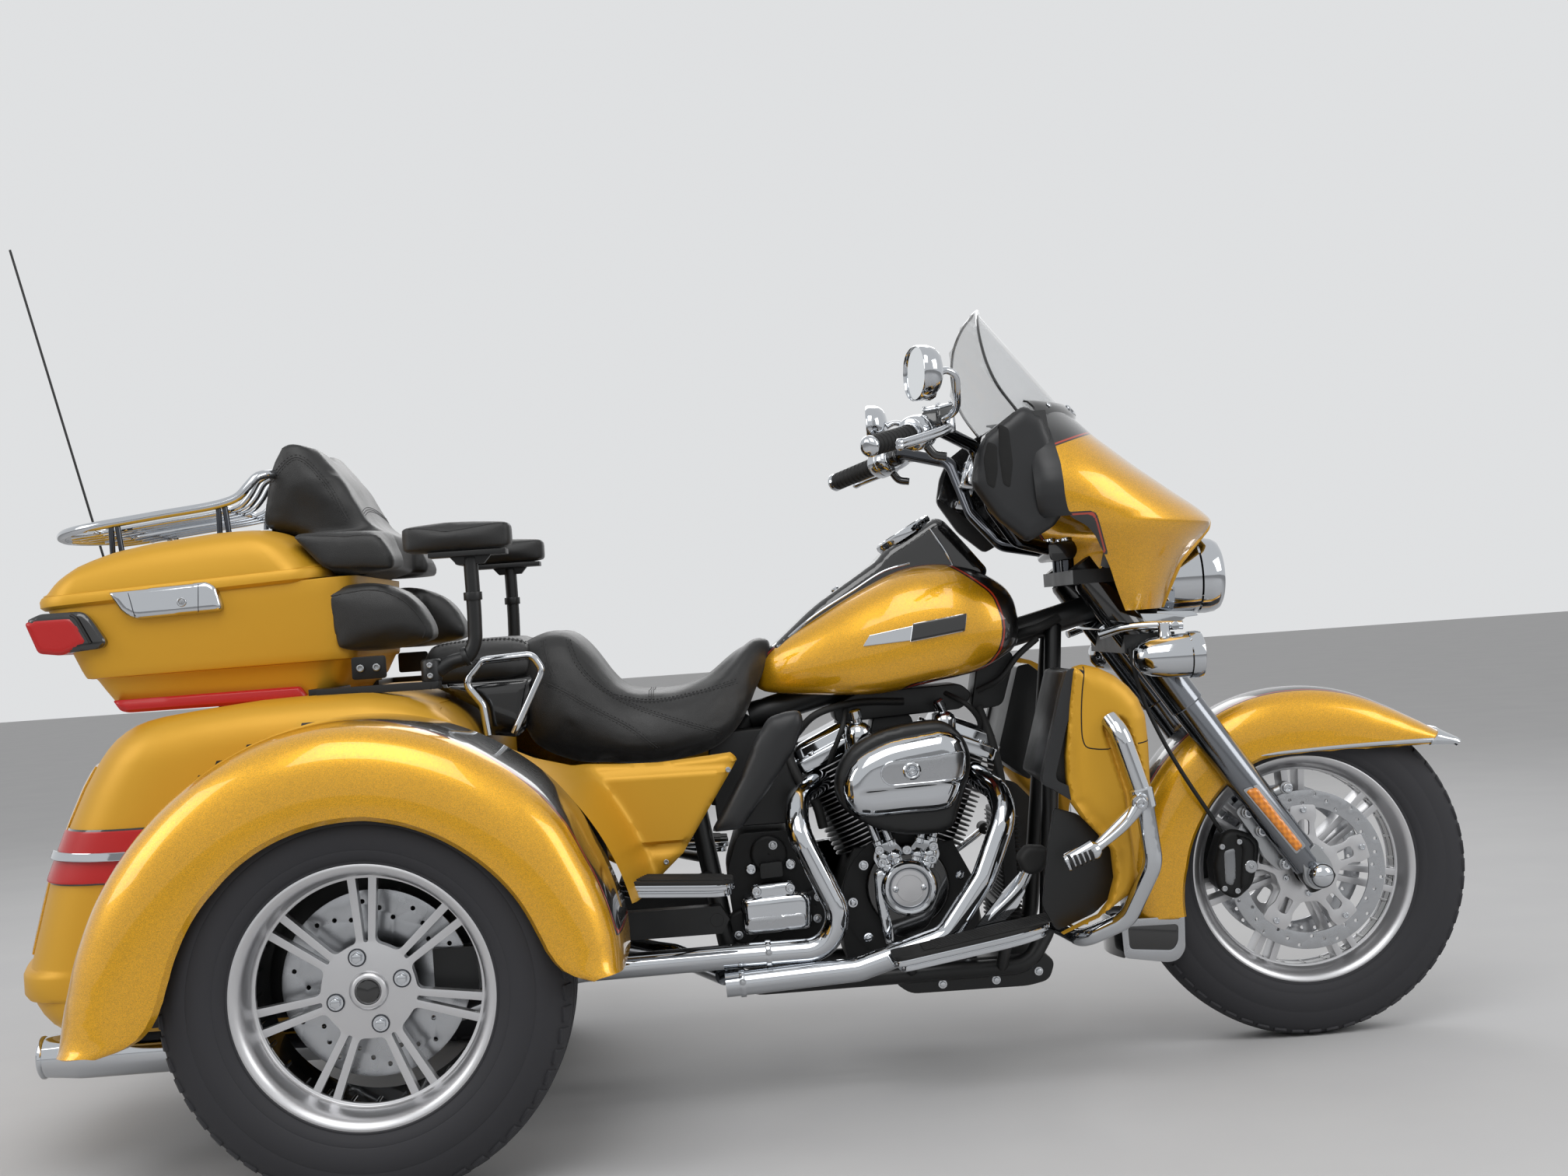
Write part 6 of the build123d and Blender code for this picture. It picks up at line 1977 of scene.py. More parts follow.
@dataclass(frozen=True)
class PassengerRest:
    """Backrest bolster, side pads and armrests of black leather."""

    def build(self) -> None:
        """Makes the pads and sews their seams."""
        self._bolster()
        self._lower()
        for side, name in SIDES:
            self._arm(side, name)

    def _bolster(self) -> None:
        """The upper back pad on the lid, stuffed and stitched."""
        form = Form()
        outline = rounded([(-226, 1098), (-214, 1150), (-200, 1204), (-170, 1251), (-138, 1240), (-76, 1162),
                           (-34, 1078), (12, 1052), (10, 996), (-60, 994), (-96, 1040), (-170, 1084)],
                          (12, 20, 20, 16, 20, 24, 20, 8, 8, 10, 20, 14), 6)
        form.plate(outline, -158, 158)
        for side in (RIGHT, LEFT):
            pad = rounded([(-146, 1064), (16, 1058), (40, 1016), (40, 998), (-84, 1000), (-106, 1022)],
                          (14, 14, 12, 9, 12, 14), 6)
            low, high = span(side, 150, 284)
            form.plate(pad, low, high)
        piece = Padding(8.0, 4.0, 9.0, 0.8).cushion(form, "backrest_pad", "lid", ["backrest_top"])
        for side, name in SIDES:
            path = [(-230, side * 400, 1118), (-205, side * 400, 1165), (-150, side * 400, 1214),
                    (-105, side * 400, 1172), (-66, side * 400, 1096)]
            Seam().lay(f"backrest_seam_{name}", piece, "lid", path, (0, -side, 0))
            edge = [(-150, side * 272, 1300), (-60, side * 274, 1300), (10, side * 272, 1300)]
            Seam(0.0, 7.0).lay(f"backrest_pad_seam_{name}", piece, "lid", edge, (0, 0, -1))
        front = [(300, y, 1120 - 0.0008 * y * y) for y in np.linspace(-130, 130, 12)]
        Seam().lay("backrest_front_seam", piece, "lid", front, (-1, 0, 0))

    def _lower(self) -> None:
        """The lower back pad on the box, stuffed and stitched."""
        form = Form()
        side_pad = rounded([(-100, 966), (0, 972), (60, 944), (94, 886), (92, 866), (-72, 858)],
                           (14, 20, 20, 12, 10, 12), 6)
        for side in (RIGHT, LEFT):
            low, high = span(side, 190, 285)
            form.plate(side_pad, low, high)
        form.plate(rounded([(-90, 966), (-6, 970), (2, 940), (-2, 860), (-70, 858)], 12, 5), -198, 198)
        piece = Padding(8.0, 4.0, 8.0, 0.8).cushion(form, "backrest_lower_pad", "chassis", ["backrest_base"])
        for side, name in SIDES:
            path = [(-86, side * 400, 955), (0, side * 400, 960), (50, side * 400, 934), (80, side * 400, 886),
                    (74, side * 400, 872)]
            Seam(0.0, 7.0).lay(f"lower_pad_seam_{name}", piece, "chassis", path, (0, -side, 0))
        plate = Form()
        outline = rounded([(-56, 846), (4, 846), (4, 806), (-56, 806)], 6)
        for side in (RIGHT, LEFT):
            plate.plate(outline, *span(side, 262, 256))
        plate.build("rest_bolt_plate", "chassis", [SATIN_BLACK], "black_plastic", bevel=1.2)
        spots = [(x, side * 262, 826) for side in (RIGHT, LEFT) for x in (-40, -12)]
        ways = [(0, side, 0) for side in (RIGHT, LEFT) for _ in (0, 1)]
        Repeater.at("rest_bolts", "chassis", Fasteners.cap_screw(), spots, ways, SILVER, "chrome", sizes=1.4,
                    bevel=0.3)

    def _arm(self, side: int, name: str) -> None:
        """A padded rest on its bent post, with collars and bolts.

        Args:
            side: RIGHT or LEFT.
            name: the side as a word, for the piece names.
        """
        half = 35.0
        top = rounded([(60, -half), (246, -half + 4), (246, half - 4), (60, half)], (30, 16, 16, 30), 8)
        form = Form().plate(top, 1019, 1060, place=lambda p, level: np.column_stack([p[:, 0], side * 342 + p[:, 1],
                np.full(len(p), level)]))
        pad = Padding(6.0, 4.0, 6.0, 0.85).cushion(form, f"armrest_cushion_{name}", f"armrest_{name}",
            [f"armrest_pad_{name}"])
        loop = [(70, 342 + 30, 1200), (150, 342 + 33, 1200), (236, 342 + 28, 1200)]
        Seam(0.0, 7.0).lay(f"armrest_seam_{name}", pad, f"armrest_{name}", [(x, side * y, z) for x, y, z in loop],
                           (0, 0, -1))
        post = Form()
        route = [(94, 790 + 8), (94, 800), (104, 812), (128, 826), (156, 834), (170, 856), (173, 890), (173, 1004)]
        path = np.array([(x, side * 342, z) for x, z in route])
        post.tube(smooth(path[2:], 40), 12.5, 18)
        post.bar((94, side * 342, 796.5), (94, side * 342, 834), [(0, 17.5), (0.9, 17.5), (1, 15)], 28)
        post.bar((173, side * 342, 930), (173, side * 342, 944), [(0, 16), (1, 16)], 24)
        post.bar((150, side * 342, 832.5), (158, side * 342, 835.5), [(0, 17), (1, 17)], 24)
        post.plate([(104, 1006), (236, 1006), (236, 1015), (104, 1015)], *span(side, 317, 367))
        post.plate([(150, 992), (196, 992), (210, 1008), (136, 1008)], *span(side, 334, 350))
        post.build(f"armrest_stay_{name}", f"armrest_{name}", [SATIN_BLACK], "black_plastic",
                   [f"armrest_post_{name}"], bevel=1.0)
        spots = [(94, side * 359.5, 806), (94, side * 359.5, 824)]
        Repeater.at(f"armrest_screws_{name}", f"armrest_{name}", Fasteners.cap_screw(), spots, [(0, side, 0)] * 2,
                    STEEL, "chrome", bevel=0.3)


# Seat, tank and side covers


def outside(at: np.ndarray, outline: Points) -> np.ndarray:
    """How far (x, z) points lie outside an outline; inside it, the distance is below zero.

    Args:
        at: the (x, z) points.
        outline: the corners of the outline.

    Returns:
        One distance for each point.
    """
    rim = np.asarray(outline, float)
    gap = Form._gap(at, rim)
    within = np.array([Form._inside(point, [rim]) for point in at])
    return np.where(within, -gap, gap)


def ring_loft(rows: Points, section: Points, stations: int, around: int) -> np.ndarray:
    """Points of closed rings along x.

    Args:
        rows: (x, lowest z, highest z, half width) of each station.
        section: (share of the half width, share of the height) points from the bottom's middle to the top's.
        stations: how many rings to return.
        around: how many points on each half ring.

    Returns:
        An array of shape (stations, points, 3).
    """
    half = smooth(section, around)
    ring = np.vstack([half, half[-2:0:-1] * (-1, 1)])
    return np.array([[(x, -h * s, low + (high - low) * t) for s, t in ring]
                     for x, low, high, h in smooth(rows, stations)])


@dataclass(frozen=True)
class FuelTank:
    """Teardrop tank in two colours, with its console, gauge and a bare badge plate.

    Attributes:
        crest: half width of the dark band along its top.
        console: half width of the console.
    """

    crest: float = 74.0
    console: float = 46.0

    GAUGE = (960, 0, 1003)
    GAUGE_WAY = (-0.485, 0, 0.875)
    ROWS = ((653, 752, 760, 6), (656, 738, 776, 26), (667, 728, 794, 46), (700, 721, 818, 72), (750, 716, 848, 100),
            (820, 711, 886, 127), (880, 709, 916, 143), (935, 716, 938, 156), (990, 726, 946, 164),
            (1040, 733, 942, 166), (1085, 745, 928, 159), (1115, 760, 911, 147), (1136, 774, 894, 131),
            (1148, 790, 874, 108), (1153, 812, 852, 70), (1154, 828, 836, 8))
    SECTION = ((0, 0.03), (0.4, 0.0), (0.74, 0.005), (0.9, 0.04), (0.965, 0.12), (0.993, 0.25), (1.0, 0.38),
               (0.985, 0.54), (0.94, 0.68), (0.85, 0.81), (0.7, 0.91), (0.48, 0.975), (0.25, 1.0), (0, 1.0))
    FIELD = ((600, 740), (640, 700), (903, 703), (916, 708), (926, 720), (943, 727), (1047, 737), (1084, 754),
             (1107, 783), (1114, 825), (1099, 878), (1062, 911), (1000, 960), (600, 960))

    def bands(self, at: np.ndarray) -> np.ndarray:
        """How far each point is past the second colour's edge.

        Args:
            at: points in model millimetres, one a row.

        Returns:
            One distance for each point.
        """
        beyond = outside(at[:, (0, 2)], rounded(self.FIELD, 14, 4))
        top = np.where(at[:, 2] > 0.42 * (at[:, 0] - 640) + 760,
                       self.crest - np.abs(at[:, 1]) - (1060 - at[:, 0]) * 0.07, -99.0)
        return np.maximum(beyond, top)

    def build(self) -> None:
        """Makes the tank and what it carries."""
        form = Form().grid(ring_loft(self.ROWS, self.SECTION, 70, 24), wrap=True, caps=True)
        tank = form.build("tank_shell", "chassis", [GOLD_BANDED], "gold_paint", ["fuel_tank"], bands=self.bands,
                          angle=60)
        self._badge(Surface(tank))
        self._console()

    def _badge(self, skin: Surface) -> None:
        """A fluted strip and a bare plate on each side."""
        for side, name in SIDES:
            way, y = (0, -side, 0), side * 400
            plate = skin.patch([(941, y, 803), (1039, y, 816), (1045, y, 846), (948, y, 834)], 7, 18, way, 3.4)
            strip = skin.patch([(856, y, 801), (942, y, 806), (946, y, 830), (868, y, 818)], 9, 14, way, 1.4)
            form, ribs = Form().skin(plate, 5.0), Form().skin(strip, 3.0)
            for row in strip[::2]:
                ribs.tube(row, 1.5, 8)
            rim = Form().tube(np.vstack([plate[0], plate[1:, -1], plate[-1, -2::-1], plate[-2:0:-1, 0]]), 1.3, 8,
                              closed=True)
            form.build(f"tank_badge_{name}", "chassis", [GLOSS_BLACK], "gloss_black", bevel=1.0)
            ribs.join(rim).build(f"tank_badge_strip_{name}", "chassis", [CHROME], "chrome")

    def _console(self) -> None:
        """The dark console along the top of the tank, with its trims, its cap and a blank gauge."""
        outline = rounded([(688, 786), (697, 815), (775, 881), (899, 958), (912, 974), (1014, 1031), (1030, 1026),
                           (1064, 985), (1108, 928), (1098, 900), (1040, 908), (953, 912), (846, 866), (727, 800)],
                          (6, 10, 30, 12, 8, 6, 8, 30, 8, 14, 20, 30, 20, 8))
        body = Form().plate(outline, -self.console, self.console)
        for side in (RIGHT, LEFT):
            body.pillow(outline, self.console, 2, 13, reach=24, pitch=7, side=side)
        body.build("console_body", "chassis", [GLOSS_BLACK], "gloss_black", ["tank_console"], angle=42)
        trim = Form()
        for side in (RIGHT, LEFT):
            edge = [(1002, side * 55, 1012), (1018, side * 59.5, 985), (1034, side * 60, 955), (1044, side * 57, 930)]
            trim.tube(smooth(edge, 14), 2.6, 10)
            low = [(700, side * 50, 809), (772, side * 59, 862), (850, side * 60, 905), (912, side * 60, 938),
                   (960, side * 60, 948)]
            trim.tube(smooth(low, 30), 2.2, 10)
        trim.lathe([(38, -3), (57, -3), (59, 3), (58, 9), (54, 12), (50, 11), (49, 7), (38, 7)], self.GAUGE,
                   self.GAUGE_WAY, steps=72)
        trim.lathe([(0.1, 0), (8, 0), (8, 6), (6, 8), (0.1, 8)], (822, 0, 906), (-0.5, 0, 0.866), steps=24)
        trim.build("console_trim", "chassis", [CHROME], "chrome", angle=30)
        face = Form().lathe([(0.1, 7), (49.5, 7), (49.5, 8), (0.1, 8.6)], self.GAUGE, self.GAUGE_WAY, steps=72)
        for k in range(24):
            a = math.radians(k * 15)
            u, v, w = frame_about(self.GAUGE_WAY)
            spot = np.array(self.GAUGE) + (u * math.cos(a) + v * math.sin(a)) * 42 + w * 8.6
            face.bar(spot - w, spot + w * 0.6, [(0, 1.2), (1, 1.2)], 8)
        face.build("console_gauge", "chassis", [GLOSS_BLACK], "gloss_black", angle=30)


@dataclass(frozen=True)
class Seats:
    """Rider's seat with its bolster, passenger's seat, and the dark panels beside them."""

    RIDER = ((226, 700, 846, 132), (236, 672, 856, 152), (258, 656, 864, 168), (287, 644, 869, 178),
             (319, 634, 862, 184), (340, 631, 841, 187), (359, 629, 814, 188), (380, 627, 780, 189),
             (400, 625, 756, 190), (424, 623, 742, 190), (470, 622, 738, 189), (518, 626, 740, 180),
             (567, 636, 758, 158), (600, 656, 785, 132), (628, 692, 812, 106), (650, 738, 829, 78),
             (668, 770, 833, 56), (683, 792, 827, 36))
    SECTION = ((0, 0), (0.5, 0.0), (0.82, 0.01), (0.95, 0.08), (1.0, 0.26), (0.985, 0.46), (0.94, 0.66),
               (0.86, 0.83), (0.72, 0.95), (0.5, 1.0), (0.25, 0.995), (0, 0.985))
    PASSENGER = ((52, 792, 838, 150), (62, 784, 850, 164), (100, 780, 856, 168), (160, 780, 858, 168),
                 (210, 780, 858, 164), (246, 784, 854, 150))
    PANEL = ((54, 790), (250, 790), (236, 700), (214, 680), (152, 690), (150, 735), (92, 770))
    SEAMS = {
        "bolster_back": ((270, 852), (274, 830), (280, 800), (284, 788)),
        "side": ((260, 782), (300, 760), (356, 723), (422, 682), (467, 643)),
        "insert": ((316, 850), (322, 830), (332, 805), (355, 774), (385, 748), (428, 722), (500, 692), (585, 660)),
        "top": ((392, 742), (460, 728), (552, 738), (618, 752)),
    }

    def build(self) -> None:
        """Makes the seats and sews them."""
        form = Form().grid(ring_loft(self.RIDER, self.SECTION, 60, 20), wrap=True, caps=True)
        rider = Padding(7.0, 4.0, 7.0, 0.85).cushion(form, "rider_saddle", "chassis", ["rider_seat"])
        for side, name in SIDES:
            for label, path in self.SEAMS.items():
                Seam(4.0, 7.0, 1.2).lay(f"saddle_seam_{label}_{name}", rider, "chassis",
                                        [(x, side * 400, z) for x, z in path], (0, -side, 0))
        across = [(460, y, 1100) for y in np.linspace(-140, 140, 10)]
        Seam(4.0, 7.0, 1.2).lay("saddle_seam_front", rider, "chassis", across, (0, 0, -1))
        form = Form().grid(ring_loft(self.PASSENGER, self.SECTION, 24, 18), wrap=True, caps=True)
        pillion = Padding(7.0, 4.0, 6.0, 0.85).cushion(form, "passenger_saddle", "chassis", ["passenger_seat"])
        for side, name in SIDES:
            Seam(4.0, 7.0, 1.2).lay(f"pillion_seam_{name}", pillion, "chassis",
                                    [(x, side * 400, 820 + x * 0.01) for x in (66, 120, 180, 240)], (0, -side, 0))
            Seam(4.0, 7.0, 1.2).lay(f"pillion_top_seam_{name}", pillion, "chassis",
                                    [(x, side * 112, 1100) for x in (70, 130, 190, 236)], (0, 0, -1))
            low, high = span(side, 142, 150)
            panel = Form().plate(rounded(self.PANEL, 8), low, high).pillow(rounded(self.PANEL, 8), 150, 3, 12,
                reach=20, pitch=7, side=side)
            panel.build(f"pillion_panel_{name}", "chassis", [GLOSS_BLACK], "gloss_black")


@dataclass(frozen=True)
class SideCovers:
    """Gold covers under the seat, flaring out into the fenders, and the dark heat deflectors before them.

    Attributes:
        flat: distance of the cover's face from the middle.
        flare: how much further out it meets the fender.
        arc: radius of the fender's inner edge about its centre.
        run: distance over which it flares.
    """

    flat: float = 252.0
    flare: float = 166.0
    arc: float = 452.0
    run: float = 46.0

    CENTRE = (-28.0, 300.0)
    FRONT = ((225, 676), (262, 655), (319, 630), (400, 624), (468, 622), (560, 628), (597, 631), (608, 619),
             (560, 548), (501, 460), (443, 408), (428, 400), (416, 400))
    DEFLECTOR = ((552, 492), (612, 588), (640, 648), (668, 688), (700, 696), (726, 697), (730, 670), (709, 626),
                 (660, 560), (606, 494))

    def shape(self, at: np.ndarray) -> np.ndarray:
        """What the flare and the facets add to the face's distance from the middle.

        Args:
            at: (x, z) points in model millimetres, one a row.

        Returns:
            One distance for each point.
        """
        x, z = at[:, 0], at[:, 1]
        away = np.hypot(x - self.CENTRE[0], z - self.CENTRE[1]) - self.arc
        share = np.clip(1 - away / self.run, 0, 1)
        flare = self.flare * share * share * (1.6 - 0.6 * share)
        top = -10.0 * np.clip((z - (601 - 0.012 * (x - 400))) / 9, 0, 1)
        recess = -9.0 * np.clip((482 + 0.03 * (x - 400) - z) / 5, 0, 1) * np.clip((z - 455) / 16, 0, 1)
        lower = -3.0 * np.clip((470 - z) / 20, 0, 1)
        return flare + (top + recess + lower) * (1 - share)

    def build(self) -> None:
        """Makes both covers and both deflectors."""
        arc = arc_points(self.CENTRE, self.arc, 13, 62, 34)
        outline = np.vstack([arc, self.FRONT])
        for side, name in SIDES:
            cover = Form().pillow(outline, self.flat, 5, 10, reach=16, pitch=6.5, side=side, shape=self.shape)
            cover.build(f"side_cover_{name}", "chassis", [GOLD], "gold_paint",
                        ["side_covers"] if side == RIGHT else (), angle=42)
            plate = Form().pillow(rounded(self.DEFLECTOR, 10), 246, 5, 16, reach=34, pitch=6.5, side=side)
            plate.build(f"heat_deflector_{name}", "chassis", [BLACK_PLASTIC], "black_plastic",
                        ["heat_deflectors"] if side == RIGHT else (), angle=50)
            spots = [(590, side * 262, 602), (470, side * 262, 448)]
            Repeater.at(f"side_cover_screws_{name}", "chassis", Fasteners.cap_screw(), spots, [(0, side, 0)] * 2,
                        STEEL, "chrome", bevel=0.3)


# Front end


@dataclass(frozen=True)
class FrontWheel:
    """Front wheel with a drilled disc on a carrier at each side.

    Attributes:
        at: its centre.
        disc_y: distance of each disc from the middle.
    """

    at: tuple[float, float, float] = (1670.0, 0.0, 319.0)
    disc_y: float = 67.5

    def build(self) -> None:
        """Makes the wheel, its hub and its discs."""
        CastWheel("front_wheel", "front_wheel", ("front_rim", "front_tyre"), self.at, 319.0, 130.0, 204.0, 217.0,
                  190.0, 52.0, 24.0, 48.0, 52.0, RIGHT, both=True).build()
        hub = Form().lathe([(13, -60), (34, -60), (40, -56), (42, -30), (50, -24), (50, 24), (42, 30), (40, 56),
                            (34, 60), (13, 60)], self.at, steps=48)
        hub.build("front_wheel_hub", "front_wheel", [SATIN_BLACK], "machined_aluminium", bevel=1.0)
        ring, arms, bolts, ways = Form(), Form(), [], []
        for side in (RIGHT, LEFT):
            low, high = span(side, self.disc_y - 2.5, self.disc_y + 2.5)
            holes = [self._circle(119, 60)]
            for k in range(36):
                a, r = math.radians(10 * k), 126 + 8.5 * (k % 3)
                holes.append([(self.at[0] + r * math.cos(a) + 3.4 * math.cos(t),
                               self.at[2] + r * math.sin(a) + 3.4 * math.sin(t))
                              for t in np.linspace(0, 2 * math.pi, 8, endpoint=False)])
            ring.plate(self._circle(150, 96), low, high, holes=holes)
            low, high = span(side, self.disc_y - 4, self.disc_y + 3.5)
            arms.plate(rounded(self._star(), 5, 4), low, high, holes=[self._circle(26, 32), *self._slots()])
            for k in range(5):
                a = math.radians(90 + 72 * k)
                bolts.append((self.at[0] + 113 * math.cos(a), side * (self.disc_y + 3.5),
                              self.at[2] + 113 * math.sin(a)))
                bolts.append((self.at[0] + 44 * math.cos(a + 0.6), side * (self.disc_y + 3.5),
                              self.at[2] + 44 * math.sin(a + 0.6)))
                ways += [(0, side, 0)] * 2
        ring.build("front_disc_rings", "front_wheel", [STEEL], "disc_steel", ["front_discs"], bevel=0.5)
        arms.build("front_disc_carriers", "front_wheel", [MACHINED], "disc_steel", bevel=1.2)
        Repeater.at("front_disc_bolts", "front_wheel", Fasteners.cap_screw(), bolts, ways, CHROME, "chrome",
                    sizes=1.2, bevel=0.3)

    def _circle(self, radius: float, steps: int) -> np.ndarray:
        """An (x, z) circle about the axle."""
        t = np.linspace(0, 2 * math.pi, steps, endpoint=False)
        return np.column_stack([self.at[0] + radius * np.cos(t), self.at[2] + radius * np.sin(t)])

    def _turned(self, along: float, across: float, turn: float) -> tuple[float, float]:
        """An (x, z) point at a distance along and across a direction in degrees."""
        a = math.radians(turn)
        return (self.at[0] + along * math.cos(a) - across * math.sin(a),
                self.at[2] + along * math.sin(a) + across * math.cos(a))

    def _star(self) -> list[tuple[float, float]]:
        """The carrier's outline: a hub with five arms that reach the ring."""
        arm = [(58, -23), (84, -20), (100, -26), (121, -24), (123, 0), (121, 24), (100, 26), (84, 20), (58, 23)]
        return [self._turned(x, y, 90 + 72 * k) for k in range(5) for x, y in arm]

    def _slots(self) -> list[np.ndarray]:
        """An opening in each arm."""
        slot = [(64, -9), (92, -11), (96, 0), (92, 11), (64, 9)]
        return [rounded([self._turned(x, y, 90 + 72 * k) for x, y in slot], 5, 4) for k in range(5)]


@dataclass(frozen=True)
class FrontFender:
    """Full-depth front fender with a banded crown, a bright spear and tip, and a flap.

    Attributes:
        centre: the axle's (x, z).
        half: half of its width.
        hem: height of its rear end.
        band: half width of the dark crown.
    """

    centre: tuple[float, float] = (1670.0, 319.0)
    half: float = 84.0
    hem: float = 250.0
    band: float = 50.0

    CROWN = ((36.5, 377), (40, 369), (44.8, 361), (52, 352), (59.3, 347), (72, 344.5), (90, 341), (103, 340.5),
             (115, 338.5), (150, 338.5), (170, 340), (191.3, 341.6), (200, 342))
    EDGE = ((36.5, 371), (40, 346), (44, 320), (50, 289), (60, 256), (75, 230), (90, 222), (100, 224), (109, 228),
            (120, 228), (135, 226), (150.7, 225), (173.8, 232), (190, 246), (200, 254))
    SECTION = ((0, 5.0), (0.02, 1.5), (0.05, 0), (0.3, 0), (0.5, 1.2), (0.64, 4.5), (0.76, 10.5), (0.86, 20),
               (0.93, 32), (0.975, 48), (0.995, 66), (1.0, 84))

    def surface(self, angle: float, share: float, y: float, lift: float = 0.0) -> list[float]:
        """A point of the outside, by its angle about the axle and its share of the way to the crown.

        Args:
            angle: its angle about the axle in degrees.
            share: its share of the way to the crown.
            y: its distance from the middle.
            lift: how far it stands off the outside.

        Returns:
            The point.
        """
        low, high = table(self.EDGE, angle), table(self.CROWN, angle)
        radius, a = low + share * (high - low) + lift * share, math.radians(angle)
        z = self.centre[1] + radius * math.sin(a)
        return [self.centre[0] + radius * math.cos(a), y + math.copysign(lift * (share < 0.97), y),
                max(z, self.hem) if angle > 120 else z]

    def grid(self, first: float, last: float, count: int, lift: float = 0.0) -> np.ndarray:
        """Points across the fender between two angles.

        Args:
            first: the angle of the first row in degrees.
            last: the angle of the last row.
            count: how many rows there are.
            lift: how far they stand off the outside.

        Returns:
            The points by row.
        """
        half = smooth([(s * 120, w) for s, w in self.SECTION], 24) / (120, 1)
        across = [*[(s, -(self.half - w)) for s, w in half[:-1]], (1.0, 0.0),
                  *[(s, self.half - w) for s, w in half[-2::-1]]]
        return np.array([[self.surface(a, s, y, lift) for s, y in across] for a in np.linspace(first, last, count)])

    def build(self) -> None:
        """Makes the fender and its trim."""
        shell = Form().skin(self.grid(36.5, 198, 96), 3.0, lining=1)
        shell.build("front_fender_shell", "steering", [GOLD_BANDED, SATIN_BLACK], "gold_paint", ["front_fender"],
                    bands=lambda at: self.band - np.abs(at[:, 1]))
        Form().skin(self.grid(35.9, 42.0, 8, 2.2), 5.0).build("front_fender_tip", "steering", [CHROME], "chrome",
            bevel=0.8)
        spear, rivets, ways = Form(), [], []
        for side in (RIGHT, LEFT):
            y = side * (self.half + 1.5)
            path = [(1594, y, 541), (1640, y, 544), (1760, y, 547), (1880, y, 547), (1950, y - side * 3, 546)]
            run = smooth(path, 50)
            spear.tube(run, np.interp(np.linspace(0, 1, 50), [0, 0.1, 0.8, 1], [1.6, 3.4, 5.0, 5.4]), 12)
            for x, z in ((1613, 574), (1660, 573), (1691, 576), (1460, 487), (1420, 300)):
                rivets.append((x, side * self.half, z))
                ways.append((0, side, 0))
        spear.build("front_fender_spears", "steering", [CHROME], "chrome")
        Repeater.at("front_fender_rivets", "steering", Fasteners.rivet(), rivets, ways, GOLD, "gold_paint", sizes=1.0)
        self._flap()

    def _flap(self) -> None:
        """A bright-edged flap with a dark panel below the skirt."""
        side_outline = rounded([(1306, 254), (1427, 252), (1424, 190), (1412, 173), (1394, 167), (1308, 182)],
                               (2, 2, 8, 8, 14, 8), 4)
        inset = rounded([(1318, 240), (1414, 238), (1411, 204), (1400, 190), (1319, 198)], 8, 4)
        form, dark = Form(), Form()
        for side in (RIGHT, LEFT):
            form.plate(side_outline, *span(side, self.half - 3, self.half + 0.5), holes=[inset])
            dark.plate(inset, *span(side, self.half - 3, self.half - 1))
        back = [[(1307 - 16 * (1 - (y / self.half) ** 2), y, z) for y in np.linspace(-self.half, self.half, 20)]
                for z in np.linspace(182, 254, 6)]
        dark.skin(np.array(back), 3.0)
        form.build("front_flap_rim", "steering", [STEEL], "chrome", bevel=0.8)
        dark.build("front_flap_panel", "steering", [GLOSS_BLACK], "gloss_black", bevel=0.4)


